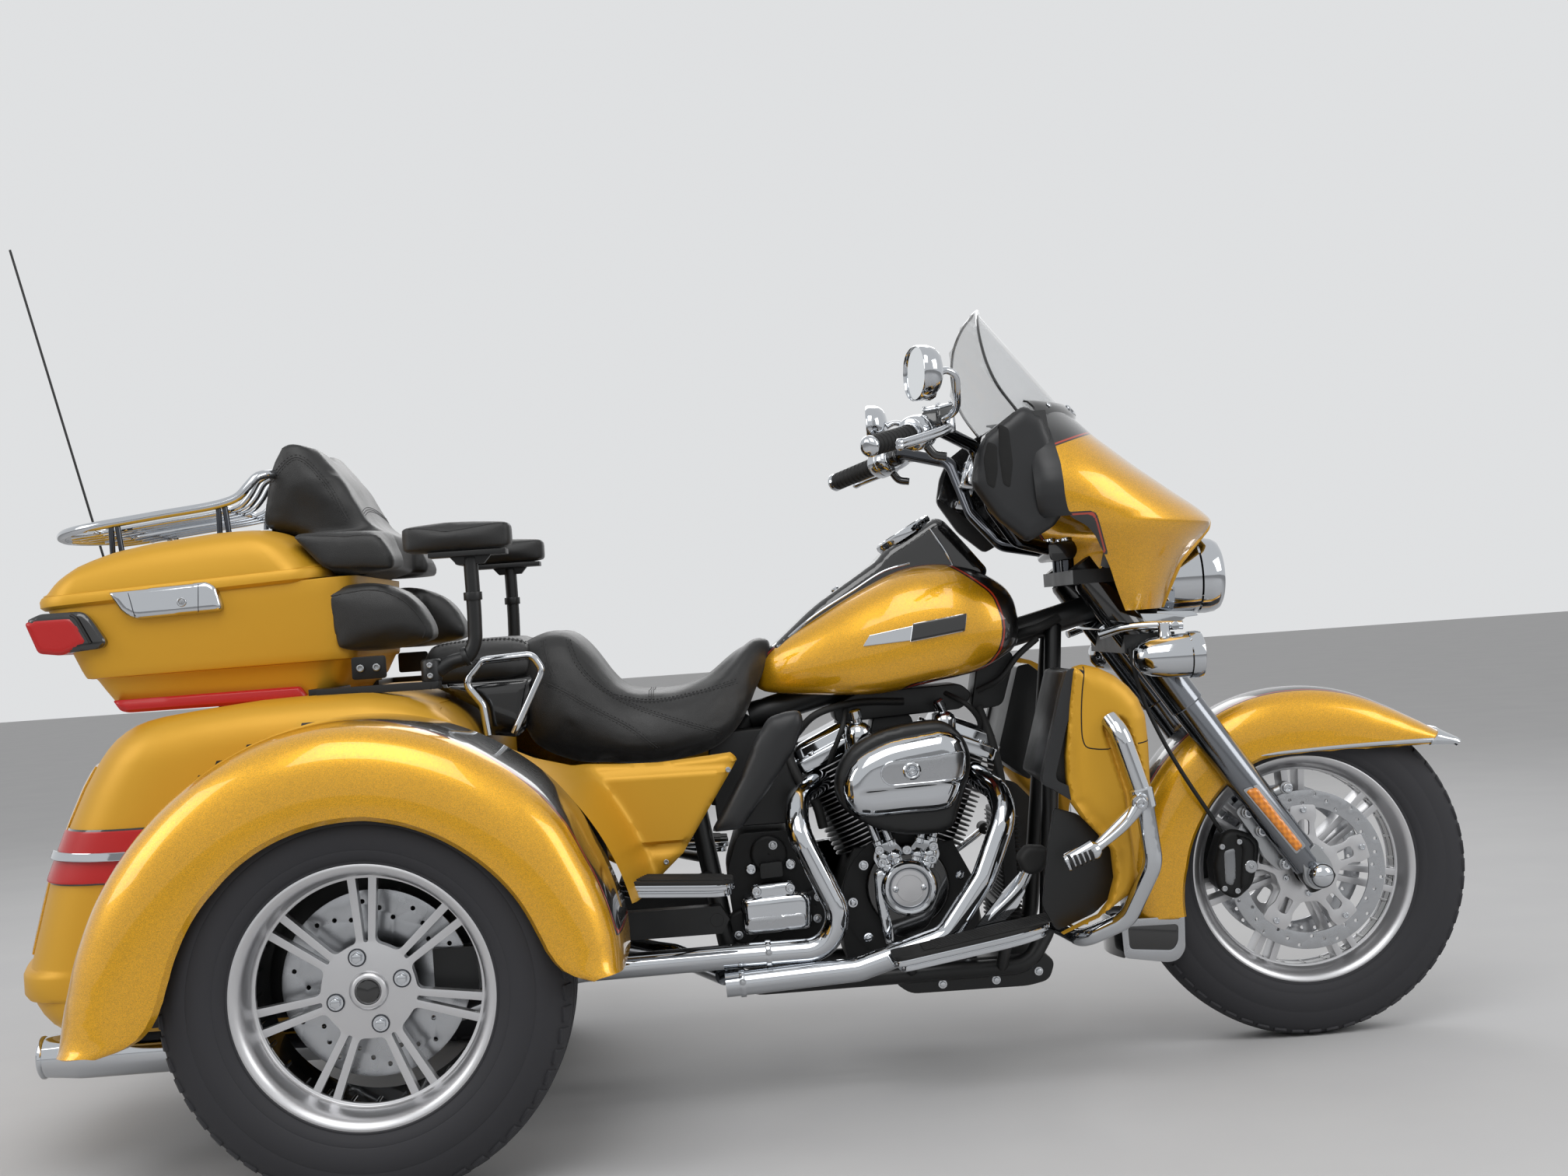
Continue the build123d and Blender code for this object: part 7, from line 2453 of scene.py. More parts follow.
@dataclass(frozen=True)
class ForkLegs:
    """Brushed sliders and covers over the fork's legs, with reflectors, axle caps and callipers.

    Attributes:
        half: distance of each leg from the middle.
        angle: the legs' lean in degrees.
    """

    half: float = 116.0
    angle: float = 33.5

    CALLIPER = ((1500, 382), (1508, 400), (1527, 409), (1556, 400), (1576, 382), (1572, 350), (1563, 318),
                (1556, 300), (1526, 277), (1505, 286), (1490, 304), (1488, 345))
    BRIDGE = ((1488, 345), (1490, 306), (1504, 290), (1517, 296), (1514, 330), (1522, 372), (1519, 400),
              (1509, 398), (1501, 380))
    BRACKET = ((1536, 440), (1552, 454), (1572, 452), (1596, 414), (1604, 380), (1630, 352), (1632, 330),
               (1612, 322), (1584, 350), (1566, 392))

    def at(self, z: float, side: int) -> tuple[float, float, float]:
        """A point of a leg's axis at a height."""
        return (1670 - math.tan(math.radians(self.angle)) * (z - 319), side * self.half, z)

    def build(self) -> None:
        """Makes both legs and both callipers."""
        for side, name in SIDES:
            self._leg(side, name)
            self._calliper(side, name)

    def _leg(self, side: int, name: str) -> None:
        """One leg: slider, cover, end, axle cap and reflector.

        Args:
            side: RIGHT or LEFT.
            name: the side as a word, for the piece names.
        """
        # The sliders' dark grey is painted dark reflection on polished metal.
        steel = Form()
        steel.bar(self.at(652, side), self.at(332, side), [(0, 29.6), (0.01, 30.6), (0.97, 30.6), (1, 28)], 40)
        steel.bar(self.at(768, side), self.at(648, side),
                  [(0, 30), (0.02, 33.5), (0.97, 33.5), (0.985, 34.2), (1, 33.4)], 40)
        steel.build(f"fork_slider_{name}", "steering", [POLISHED], "fork_steel", angle=28)
        cover = Form().bar(self.at(900, side), self.at(766, side), [(0, 31), (0.04, 34), (0.97, 34), (1, 33)], 32)
        cover.build(f"fork_cover_{name}", "steering", [GLOSS_BLACK], "gloss_black", angle=28)
        boss = Form()
        low, high = span(side, 96, 144)
        outline = rounded([(1640, 346), (1662, 374), (1670, 376), (1694, 342), (1698, 314), (1684, 293),
                           (1656, 291), (1642, 310)], (8, 8, 4, 12, 12, 12, 12, 12), 5)
        boss.plate(outline, low, high)
        boss.build(f"fork_end_{name}", "steering", [SILVER], "fork_steel", bevel=4.0, steps=3)
        cap = Form().lathe([(0.1, 17), (10, 16), (18, 11.5), (22.5, 4), (23.5, -4), (23.5, -10), (0.1, -10)],
                           (1670, side * 156, 319), (0, side, 0), steps=40)
        cap.build(f"axle_cap_{name}", "steering", [CHROME], "chrome", angle=40)
        strip = rounded([(1541, 484), (1563, 490), (1643, 374), (1629, 364)], 4, 4)
        lens = Form().pillow(strip, self.half + 30, 3, 4.5, reach=6, pitch=4, side=side)
        lens.build(f"fork_reflector_{name}", "steering", [AMBER_LENS], "red_lens", angle=50)
        seat = Form().plate(rounded([(1537, 486), (1565, 494), (1648, 374), (1628, 360)], 4, 4),
                            *span(side, self.half + 22, self.half + 30.5))
        seat.build(f"fork_reflector_seat_{name}", "steering", [SILVER], "chrome", bevel=0.8)

    def _calliper(self, side: int, name: str) -> None:
        """One calliper on its bracket, with its bolts.

        Args:
            side: RIGHT or LEFT.
            name: the side as a word, for the piece names.
        """
        body = Form().pillow(rounded(self.CALLIPER, 8, 3), 92, 12, 7, reach=9, pitch=5, side=side)
        body.pillow(rounded(self.BRIDGE, 6, 3), 90, 54, 5, reach=7, pitch=5, side=side)
        ridge = [(1528, 402), (1556, 392), (1568, 376), (1562, 336), (1552, 306), (1530, 288), (1534, 330),
                 (1540, 372)]
        body.pillow(rounded(ridge, 6, 3), 96, 6, 9, reach=10, pitch=5, side=side)
        body.build(f"calliper_body_{name}", "steering", [WRINKLE], "gloss_black",
                   ["callipers"] if side == RIGHT else (), angle=50)
        low, high = span(side, 79, 91)
        mount = Form().plate(rounded(self.BRACKET, 7, 4), low, high, holes=[])
        for x, z in ((1556, 438), (1580, 402), (1620, 337)):
            mount.bar((x, side * 79, z), (x, side * 103, z), [(0, 12), (0.96, 12), (1, 11)], 24)
        for x, z in ((1630, 480),):
            mount.bar((x - 22, side * 100, z - 8), (x, side * 100, z), [(0, 9), (1, 9)], 16)
            mount.bar((x, side * 92, z), (x, side * 112, z), [(0, 12), (1, 12)], 24)
        mount.build(f"calliper_mount_{name}", "steering", [SILVER], "fork_steel", bevel=1.5)
        spots = [(1556, side * 103, 438), (1580, side * 103, 402), (1620, side * 103, 337), (1630, side * 112, 480)]
        Repeater.at(f"calliper_bolts_{name}", "steering", Fasteners.cap_screw(), spots, [(0, side, 0)] * 4, CHROME,
                    "chrome", sizes=1.9, bevel=0.4)
        spots = [(1536, side * 99, 385), (1526, side * 99, 294), (1503, side * 98.6, 378), (1502, side * 98.6, 300)]
        Repeater.at(f"calliper_screws_{name}", "steering", Fasteners.cap_screw(), spots, [(0, side, 0)] * 4, STEEL,
                    "chrome", sizes=1.1, bevel=0.3)
        plug = Form().lathe([(0.1, 4), (3, 4), (4, 2.5), (11, 2.5), (12.5, 1), (12.5, -4), (0.1, -4)],
                            (1554, side * 105.5, 338), (0, side, 0), steps=32)
        plug.build(f"calliper_plug_{name}", "steering", [STEEL], "chrome", bevel=0.4)
        panel = rounded([(1506, 370), (1528, 374), (1526, 318), (1518, 302), (1504, 310)], 5, 4)
        Form().pillow(panel, 98.6, 2, 2, reach=4, pitch=4, side=side).build(f"calliper_panel_{name}", "steering",
            [SPECKLE], "chrome", angle=50)


@dataclass(frozen=True)
class Fairing:
    """Fork-mounted fairing with its inner panel, screen trim, headlight and lamps.

    Attributes:
        lamp_z: height of the headlight's axis.
        nacelle: radius of the opening round it.
    """

    lamp_z: float = 888.0
    nacelle: float = 108.0

    ROWS = ((832, 1336, 1440, 178), (872, 1318, 1462, 204), (914, 1302, 1484, 228), (950, 1283, 1516, 252),
            (975, 1268, 1538, 270), (990, 1252, 1544, 281), (1004, 1228, 1533, 290), (1020, 1214, 1514, 297),
            (1045, 1210, 1478, 301), (1071, 1209, 1442, 301), (1100, 1208, 1402, 293), (1133, 1204, 1361, 276),
            (1160, 1201, 1328, 256), (1180, 1198, 1309, 234), (1206, 1195, 1284, 196), (1226, 1192, 1262, 156))
    SIDE = ((1086, 1160), (1141, 1199), (1160, 1211), (1194, 1190), (1209, 1140), (1211, 1071), (1222, 1020),
            (1200, 992), (1150, 966), (1098, 1012), (1058, 1076), (1068, 1124))

    def across(self, z: float) -> tuple[float, float, float]:
        """The rear edge, the nose and the half width at a height."""
        rows = np.array(self.ROWS)
        return tuple(float(np.interp(z, rows[:, 0], rows[:, k])) for k in (1, 2, 3))

    def surface(self, y: float, z: float) -> float:
        """How far forward the outside is."""
        rear, nose, half = self.across(z)
        return rear + (nose - rear) * math.sqrt(max(0.0, 1 - (y / half) ** 2))

    def second_colour(self, at: np.ndarray) -> np.ndarray:
        """Distance past the edge of the dark hood, and of the dark corner behind the skirt.

        Args:
            at: points in model millimetres, one a row.

        Returns:
            One distance for each point.
        """
        hood = at[:, 2] - (1133 + 0.3 * (at[:, 0] - 1209))
        corner = np.minimum(1014 - at[:, 2], 1272 + 0.35 * (1010 - at[:, 2]) - at[:, 0])
        return np.maximum(hood, np.minimum(corner, at[:, 2] - 936))

    def grid(self) -> np.ndarray:
        """Points of the outside, those near the nacelle's edge moved onto it.

        Returns:
            The points by row and column.
        """
        rows = smooth(self.ROWS, 72)
        turns = np.radians(np.linspace(-90, 90, 89))
        points = np.array([[(rear + (nose - rear) * math.cos(t), half * math.sin(t), z) for t in turns]
                           for z, rear, nose, half in rows])
        rho = np.hypot(points[..., 1], points[..., 2] - self.lamp_z)
        near = (np.abs(rho - self.nacelle) < 6.6) & (points[..., 0] > 1385)
        scale = np.where(near, self.nacelle / np.maximum(rho, 1), 1.0)
        points[..., 1] *= scale
        points[..., 2] = self.lamp_z + (points[..., 2] - self.lamp_z) * scale
        return points

    def build(self) -> None:
        """Makes the fairing and its lamps."""
        points = self.grid()
        centre = (points[1:, 1:] + points[:-1, 1:] + points[1:, :-1] + points[:-1, :-1]) / 4
        keep = ~((np.hypot(centre[..., 1], centre[..., 2] - self.lamp_z) < self.nacelle) & (centre[..., 0] > 1385))
        shell = Form().skin(points[:, ::-1], 4.0, keep=keep[:, ::-1], lining=1)
        shell.build("fairing_shell", "steering", [GOLD_BANDED, SATIN_BLACK], "gold_paint", ["fairing_outer"],
                    bands=self.second_colour, angle=45)
        rim = []
        for a in np.radians(np.linspace(-38, 218, 90)):
            y, z = self.nacelle * math.cos(a), self.lamp_z + self.nacelle * math.sin(a)
            if z > 832:
                rim.append((self.surface(y, z) - 1.5, y, z))
        edge = Form().tube(rim, 4.6, 10)
        edge.build("fairing_rim", "steering", [GOLD], "gold_paint")
        bowl = Form().lathe([(30, 0), (self.nacelle - 6, 24), (self.nacelle - 2, 52), (self.nacelle + 1, 80),
                             (self.nacelle - 3, 80), (self.nacelle - 7, 52), (self.nacelle - 12, 28), (30, 5)],
                            (1336, 0, self.lamp_z), AHEAD, steps=64)
        bowl.build("nacelle_bowl", "steering", [SATIN_BLACK], "black_plastic", bevel=0.5)
        self._headlight()
        self._lamps()
        self._inner()
        self._screen_trim()

    def _headlight(self) -> None:
        """The headlight: shell, bowl, lens and foot."""
        at = (0.0, 0.0, self.lamp_z)
        shell = Form().lathe([(30, 1404), (50, 1412), (64, 1430), (69, 1456), (70, 1500), (69, 1512), (72, 1515),
                              (72.5, 1530), (70, 1546), (65, 1555), (58, 1559), (56, 1556), (58, 1540), (62, 1510),
                              (60, 1440), (30, 1410)], at, AHEAD, steps=72)
        shell.build("headlight_shell", "steering", [CHROME], "chrome", ["headlight"], angle=40)
        bowl = Form().lathe([(0.1, 1490), (18, 1492), (40, 1506), (57, 1538), (59, 1538), (42, 1503), (18, 1487),
                             (0.1, 1485)], at, AHEAD, steps=60)
        bowl.lathe([(0.1, 1510), (15, 1508), (22, 1500), (22, 1496), (0.1, 1496)], at, AHEAD, steps=36)
        bowl.build("headlight_reflector", "steering", [MIRROR], "chrome", angle=40)
        lens = Form().lathe([(0.1, 1562), (20, 1561.5), (38, 1559.5), (52, 1555), (57.5, 1551), (57.5, 1547),
                             (52, 1551), (38, 1555.5), (20, 1557.5), (0.1, 1558)], at, AHEAD, steps=60)
        lens.build("headlight_lens", "steering", [CLEAR_LENS], "clear_screen", angle=50)
        neck = Form().plate(rounded([(1420, 826), (1500, 822), (1512, 812), (1420, 806), (1390, 812)], 5), -26, 26)
        neck.bar((1455, 0, 806), (1455, 0, 832), [(0, 16), (1, 14)], 20)
        neck.build("headlight_foot", "steering", [CHROME], "chrome", bevel=2.0)

    def _lamps(self) -> None:
        """The two lamps beside the headlight, on their bar."""
        shell, lens, bar = Form(), Form(), Form()
        for side in (RIGHT, LEFT):
            at = (0.0, side * 196.0, 744.0)
            shell.lathe([(0.1, 1340), (14, 1341), (26, 1350), (34, 1370), (38.5, 1400), (40, 1430), (40, 1440),
                         (42.5, 1442), (43, 1456), (41, 1464), (36.5, 1466), (35.5, 1460), (36, 1400), (0.1, 1396)],
                        at, AHEAD, steps=56)
            lens.lathe([(0.1, 1467), (20, 1465.5), (36, 1461), (36, 1457), (0.1, 1459)], at, AHEAD, steps=48)
            bar.bar((1400, side * 196, 780), (1400, side * 196, 806), [(0, 13), (0.4, 11), (1, 11)], 24)
            path = [(1290, side * 150, 790), (1330, side * 168, 800), (1372, side * 182, 802),
                    (1436, side * 196, 799)]
            bar.tube(smooth(path, 24), 8.0, 14)
        bar.plate(rounded([(1295, 800), (1340, 828), (1420, 822), (1466, 813), (1440, 795), (1375, 786)],
                          (8, 12, 12, 6, 10, 10)), -112, 112)
        bar.bar((1420, -204, 799), (1420, 204, 799), [(0, 8), (1, 8)], 20)
        shell.build("aux_lamp_shells", "steering", [CHROME], "chrome", ["aux_lamps"], angle=40)
        lens.build("aux_lamp_lenses", "steering", [CLEAR_LENS], "clear_screen", angle=50)
        bar.build("lamp_bar", "steering", [CHROME], "chrome", bevel=2.5, steps=3, angle=40)

    def _inner(self) -> None:
        """Side panels with slot vents, the rim band, and the dials that face the rider."""
        form, dark = Form(), Form()
        outline = rounded(self.SIDE, 9, 4)
        for side in (RIGHT, LEFT):
            form.pillow(outline, 262, 14, 13, reach=24, pitch=7, side=side)
            band = []
            for z in np.linspace(1010, 1196, 24):
                rear, _, half = self.across(z)
                band.append([(rear + 6, side * (half - 3), z), (rear - 10, side * (half - 3.5), z),
                             (rear - 28, side * (half - 9), z), (rear - 40, side * (half - 20), z)])
            rows = np.array(band)
            form.skin(rows if side == LEFT else rows[:, ::-1], 4.0)
            # The slot vents are near-black panels: painted shade inside the slots.
            for slot in (((1090, 1150), (1106, 1142), (1104, 1096), (1096, 1064), (1083, 1074), (1080, 1118)),
                         ((1112, 1180), (1129, 1170), (1132, 1108), (1124, 1064), (1112, 1072), (1108, 1130))):
                dark.pillow(rounded(slot, 5, 4), 275.6, 4, 1.0, reach=3, pitch=4, side=side)
        form.build("fairing_inner_sides", "steering", [BLACK_PLASTIC], "black_plastic", angle=50)
        dark.build("fairing_vents", "steering", [PAINTED_SHADE], "black_plastic", angle=50)
        rings, faces = Form(), Form()
        way = np.array((-0.93, 0, 0.36))
        for y, radius, x, z in ((-52, 40, 1104, 1128), (52, 40, 1104, 1128), (-132, 27, 1104, 1120),
                                (132, 27, 1104, 1120), (-196, 44, 1110, 1098), (196, 44, 1110, 1098)):
            rings.lathe([(radius - 5, -14), (radius, -14), (radius + 1, 4), (radius - 1, 7), (radius - 5, 5)],
                        (x, y, z), way, steps=48)
            faces.lathe([(0.1, -12), (radius - 4, -12), (radius - 4, 1.5), (0.1, 2.2)], (x, y, z), way, steps=48)
        rings.build("dial_rims", "steering", [CHROME], "chrome", bevel=0.4)
        faces.build("dial_faces", "steering", [GLOSS_BLACK], "gloss_black", bevel=0.3)

    def _screen_trim(self) -> None:
        """Dark edge round the screen and the clamp across its foot."""
        radius = (235 ** 2 + 130 ** 2) / (2 * 130)

        def on(y: float, z: float, lift: float = 0.0) -> tuple[float, float, float]:
            """A point of the screen, lifted off it."""
            base = 1290 - radius + math.sqrt(radius ** 2 - y * y)
            return (base - (z - 1200) * 170 / 220 + lift, y, z + lift * 0.7)

        edge = [(-240, 1197), (-236, 1250), (-225, 1290), (-203, 1332), (-170, 1369), (-132, 1393), (-90, 1408),
                (-45, 1415), (0, 1418)]
        outline = [on(y, z, 2.2) for y, z in [*edge, *[(-y, z) for y, z in edge[-2::-1]]]]
        Form().tube(smooth(outline, 90), 2.8, 10).build("screen_edge", "steering", [GLOSS_BLACK], "gloss_black")
        rows = [[on(y, z, lift) for y in np.linspace(-222, 222, 60)]
                for z, lift in ((1192, 3.0), (1196, 9.0), (1206, 11.0), (1216, 9.5), (1221, 5.5))]
        clamp = Form().skin(np.array(rows)[:, ::-1], 4.0)
        clamp.build("screen_clamp", "steering", [GLOSS_BLACK], "gloss_black", angle=50)
        spots = [on(y, 1208, 11.5) for y in (-190, -110, 0, 110, 190)]
        ways = [(0.62 + 0.2 * abs(y) / 190, y / 300, 0.6) for y in (-190, -110, 0, 110, 190)]
        Repeater.at("screen_screws", "steering", Fasteners.rivet(), spots, ways, CHROME, "chrome", sizes=1.3)
        bar = [[on(y, z, lift) for y in np.linspace(-100, 100, 30)]
               for z, lift in ((1199, 10.8), (1202, 13), (1213, 13), (1216, 10.6))]
        Form().skin(np.array(bar)[:, ::-1], 3.0).build("screen_clamp_bar", "steering", [CHROME], "chrome", angle=50)


@dataclass(frozen=True)
class BrakeHose:
    """The hose from beside the lower yoke to the right front calliper, a smooth line along its route.

    Attributes:
        route: the control points of the line, where the CAD node has them, in millimetres.
        thick: the hose's outside diameter.
        length: its length along the line; not used.
    """

    route: tuple[tuple[float, float, float], ...] = ((1344, -154.3, 762), (1352, -158.3, 690), (1388, -150, 600),
        (1432, -132, 520), (1478, -106, 450), (1508, -84, 405))
    thick: float = 8.0
    length: float = 408.0

    def build(self) -> None:
        line = bpy.data.curves.new("brake_line", "CURVE")
        line.dimensions = "3D"
        line.bevel_depth, line.bevel_resolution, line.resolution_u = self.thick / 2000, 4, 16
        spline = line.splines.new("NURBS")
        spline.points.add(len(self.route) - 1)
        for point, place in zip(spline.points, to_row(self.route)):
            point.co = (*place, 1.0)
        spline.order_u = 3
        spline.use_endpoint_u = True
        line.materials.append(RUBBER.material())
        piece = bpy.data.objects.new("brake_line", line)
        bpy.context.scene.collection.objects.link(piece)
        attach(piece, "steering")
        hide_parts("brake_hose")
        start = tuple(float(value) for value in to_row(self.route)[0])


# Engine


@dataclass(frozen=True)
class Engine:
    """Finned V of cylinders with rocker covers, pushrods and the covers of the crankcase.

    Attributes:
        crank: the crank's (x, z).
        lean: how far each cylinder leans, in degrees.
        pitch: distance between fins.
        fins: fins on each cylinder.
    """

    crank: tuple[float, float] = (908.0, 330.0)
    lean: float = 24.0
    pitch: float = 9.6
    fins: int = 18

    TIERS = ((290.3, 74, 84, 20), (294, 75, 85, 22), (312, 75, 85, 22), (316, 72, 82, 21), (317, 63, 75, 20),
             (333, 61, 73, 20), (339, 56, 68, 19), (342.5, 47, 59, 16), (343.5, 30, 40, 12))

    def axis(self, way: int) -> np.ndarray:
        """The direction of the rear (-1) or front (1) cylinder."""
        a = math.radians(self.lean)
        return np.array((way * math.sin(a), 0.0, math.cos(a)))

    def place(self, way: int, across: float, y: float, along: float) -> tuple[float, float, float]:
        """A point given across, beside and along a cylinder's axis."""
        up = self.axis(way)
        return (self.crank[0] + along * up[0] + across * up[2], y, self.crank[1] + along * up[2] - across * up[0])

    def build(self) -> None:
        """Makes the cylinders, their covers and the crankcase's dress."""
        for way, name in ((-1, "rear"), (1, "front")):
            self._cylinder(way, name)
        self._rockers()
        self._pushrods()
        self._timing_cover()
        self._chain_case()
        self._sump()

    def _cylinder(self, way: int, name: str) -> None:
        """A black finned cylinder and the bright edges of its fins.

        Args:
            way: 1 for the front cylinder, -1 for the rear one.
            name: which cylinder it is, for the piece names.
        """
        base, up = (self.crank[0], 0.0, self.crank[1]), tuple(self.axis(way))

        def parted(points: np.ndarray) -> np.ndarray:
            """The points, none past the plane between the V's two halves."""
            side = np.maximum if way > 0 else np.minimum
            points[:, 0] = side(points[:, 0], self.crank[0] + 0.4 * way)
            return points

        core = Form().lathe([(0.1, 112), (60, 112), (60, 288), (0.1, 288)], base, up, steps=44)
        edges = Form()
        for k in range(self.fins):
            at = 119 + k * self.pitch
            radius = 79.5 if at < 224 else 85.5
            core.lathe([(52, at - 1.6), (radius - 0.9, at - 1.2), (radius - 0.9, at + 1.2), (52, at + 1.6)], base,
                       up, steps=56)
            edges.lathe([(radius - 1.6, at - 1.25), (radius, at - 1.0), (radius, at + 1.0),
                         (radius - 1.6, at + 1.25)], base, up, steps=56)
        core.placed(parted).build(f"cylinder_{name}", "chassis", [SATIN_BLACK], "cylinder_black",
                                  ["cylinders"] if way < 0 else ())
        edges.placed(parted).build(f"fin_edges_{name}", "chassis", [MACHINED], "cylinder_black")

    def _rockers(self) -> None:
        """Two-tier rocker covers with a bolt at each corner."""
        covers, bolts, ways = Form(), [], []
        for way in (-1, 1):
            rows = []
            for along, hx, hy, cut in self.TIERS:
                outline = rounded([(-hx, -hy), (hx, -hy), (hx, hy), (-hx, hy)], cut, 6)
                rows.append([self.place(way, u, v, along) for u, v in outline])
            covers.grid(np.array(rows), wrap=True, caps=True)
            for u in (-68, 68):
                for v in (-62, 62):
                    bolts.append(self.place(way, u, v, 314.5))
                    ways.append(tuple(self.axis(way)))
            for u in (-34, 34):
                bolts.append(self.place(way, u, -79, 314.5))
                ways.append(tuple(self.axis(way)))
        covers.build("rocker_covers", "chassis", [CHROME], "chrome", ["engine_covers"], bevel=0.8, angle=32)
        Repeater.at("rocker_bolts", "chassis", Fasteners.cap_screw(), bolts, ways, CHROME, "chrome", sizes=1.2,
                    bevel=0.3)
        dome = Form().lathe([(0.1, -30), (22, -30), (24, -4), (25, 8), (22, 20), (13, 28), (0.1, 31)],
                            (838, -104, 630), UPWARD, steps=40)
        dome.lathe([(0.1, -30), (19, -30), (20.5, -6), (21, 5), (18, 15), (10, 21), (0.1, 23)], (1000, -96, 646),
                   UPWARD, steps=36)
        dome.bar((838, -104, 655), (832, -108, 684), [(0, 9), (0.4, 9), (0.45, 12), (0.9, 12), (1, 8)], 20)
        dome.bar((1000, -96, 664), (988, -100, 690), [(0, 8), (0.4, 8), (0.45, 11), (0.9, 11), (1, 8)], 20)
        dome.build("breather_domes", "chassis", [CHROME], "chrome", angle=40)

    def _pushrods(self) -> None:
        """Bright pushrod tubes that rise from their tappet blocks beside the timing cover."""
        tubes, blocks, bolts = Form(), Form(), []
        for way in (-1, 1):
            for step in (12, 35):
                low = np.array((self.crank[0] + way * (step + 4), -124.0, 396.0))
                high = np.array((self.crank[0] + way * (step + 52), -112.0, 560.0))
                run = high - low
                tubes.bar(low, high, [(0, 9), (0.2, 9), (0.21, 11.5), (0.26, 11.5), (0.27, 8), (1, 8)], 22)
                blocks.bar(low - run * 0.06, low + run * 0.16,
                           [(0, 15.5), (0.25, 15.5), (0.28, 13.5), (0.55, 13.5), (0.58, 15), (0.8, 15), (1, 10)],
                           24)
            base = [(way * 6, 398), (way * 52, 388), (way * 62, 408), (way * 56, 432), (way * 22, 440),
                    (way * 8, 424)]
            outline = [(self.crank[0] + x, z) for x, z in base]
            blocks.plate(rounded(outline[::way], 6, 4), -131, -96)
            bolts += [(self.crank[0] + way * 46, -131, 400), (self.crank[0] + way * 50, -131, 424)]
        bolts += [(909, -131, 421)]
        tubes.build("pushrod_tubes", "chassis", [CHROME], "chrome", angle=40)
        blocks.build("tappet_blocks", "chassis", [CHROME], "chrome", bevel=1.6, steps=3, angle=40)
        Repeater.at("tappet_bolts", "chassis", Fasteners.cap_screw(), bolts, [RIGHTWARD] * len(bolts), CHROME,
                    "chrome", sizes=1.8, bevel=0.4)

    def _timing_cover(self) -> None:
        """Round timing cover with a dished bright ring, a turned disc and a dark tail."""
        x, z = self.crank[0], self.crank[1] + 22
        arc = arc_points((x, z), 60, -22, 202, 40)
        tail = [(861, 300), (874, 268), (886, 262), (918, 264), (940, 280), (958, 312)]
        case = Form().plate(np.vstack([arc, rounded(tail, 6, 4)]), -133, -95.3)
        case.lathe([(0.1, 95.3), (78, 95.3), (78, 116), (74, 121), (0.1, 121)], (x, 0, z), RIGHTWARD, steps=64)
        case.build("timing_case", "chassis", [GLOSS_BLACK], "chrome", bevel=2.5, steps=3, angle=40)
        ring = Form().lathe([(30, 130), (52, 130), (52.5, 140), (50, 147), (45, 150.5), (40, 150), (36.5, 146),
                             (35, 142), (30, 142)], (x, 0, z), RIGHTWARD, steps=72)
        ring.build("timing_ring", "chassis", [CHROME], "chrome", angle=40)
        disc = Form().lathe([(0.1, 140), (34.4, 140), (34.4, 146), (33, 147.4), (25, 147.8), (24.4, 147.2),
                             (23.8, 147.8), (0.1, 148.4)], (x, 0, z), RIGHTWARD, steps=72)
        disc.build("timing_disc", "chassis", [MACHINED], "chrome", angle=30)
        Repeater.at("timing_screws", "chassis", Fasteners.rivet(), [(x - 26, -147.5, z), (x + 26, -147.5, z)],
                    [RIGHTWARD] * 2, CHROME, "chrome", sizes=1.5)
        strip = [(846, 384), (864, 392), (870, 372), (866, 330), (874, 282), (876, 252), (858, 250), (852, 286),
                 (846, 330)]
        Form().pillow(rounded(strip, 6, 4), 132, 34, 5, reach=9, pitch=4).build("timing_strip", "chassis", [CHROME],
            "chrome", angle=50)
        spots = ring_points(9, 104, (908, -120.0, 330), start=20)
        low = [p for p in spots if np.hypot(p[0] - x, p[2] - z) > 84]
        Repeater.at("crankcase_bolts", "chassis", Fasteners.hex_bolt(), low, [RIGHTWARD] * len(low), CHROME,
                    "chrome", sizes=1.1, bevel=0.3)

    def _chain_case(self) -> None:
        """Long bright chain case on the left, with a round inspection cover."""
        front = arc_points((890, 330), 103, -85, 88, 30)
        rear = arc_points((680, 320), 93, 98, 265, 28)
        outline = np.vstack([front, rear])
        Form().pillow(outline, 150, 46, 20, reach=26, pitch=7, side=LEFT).build("chain_case", "chassis", [CHROME],
            "chrome", angle=50)
        Form().pillow(outline * 1.0, 128, 24, 2, reach=4, pitch=9, side=LEFT).build("chain_case_seat", "chassis",
            [SATIN_BLACK], "engine_case", angle=50)
        lid = Form().lathe([(0.1, 166), (64, 166), (64, 173), (59, 178), (50, 179.5), (47, 177.5), (0.1, 178.5)],
                           (684, 0, 322), LEFTWARD, steps=64)
        lid.lathe([(0.1, 166), (46, 166), (46, 172), (42, 176), (0.1, 177)], (892, 0, 332), LEFTWARD, steps=56)
        lid.build("chain_case_lids", "chassis", [CHROME], "chrome", angle=30)
        spots = [*ring_points(5, 55, (684, 178, 322), start=18), *ring_points(4, 38, (892, 175.6, 332), start=45)]
        Repeater.at("chain_case_screws", "chassis", Fasteners.cap_screw(), spots, [LEFTWARD] * 9, STEEL, "chrome",
                    sizes=1.1, bevel=0.3)

    def _sump(self) -> None:
        """Oil pan under the crankcase, with its bolts."""
        pan = Form().plate(rounded([(872, 206), (1150, 212), (1172, 192), (1160, 158), (1120, 150), (900, 152),
                                    (874, 172)], (6, 10, 12, 14, 14, 14, 10), 5), -112, 112)
        pan.build("oil_pan", "chassis", [SATIN_BLACK], "engine_case", bevel=4, steps=3)
        spots = [(x, side * 112, z) for side in (RIGHT, LEFT)
                 for x, z in ((890, 192), (960, 166), (1060, 166), (1140, 176), (1120, 200), (1010, 200))]
        ways = [(0, math.copysign(1, p[1]), 0) for p in spots]
        Repeater.at("oil_pan_bolts", "chassis", Fasteners.hex_bolt(), spots, ways, CHROME, "chrome", sizes=1.0,
                    bevel=0.3)


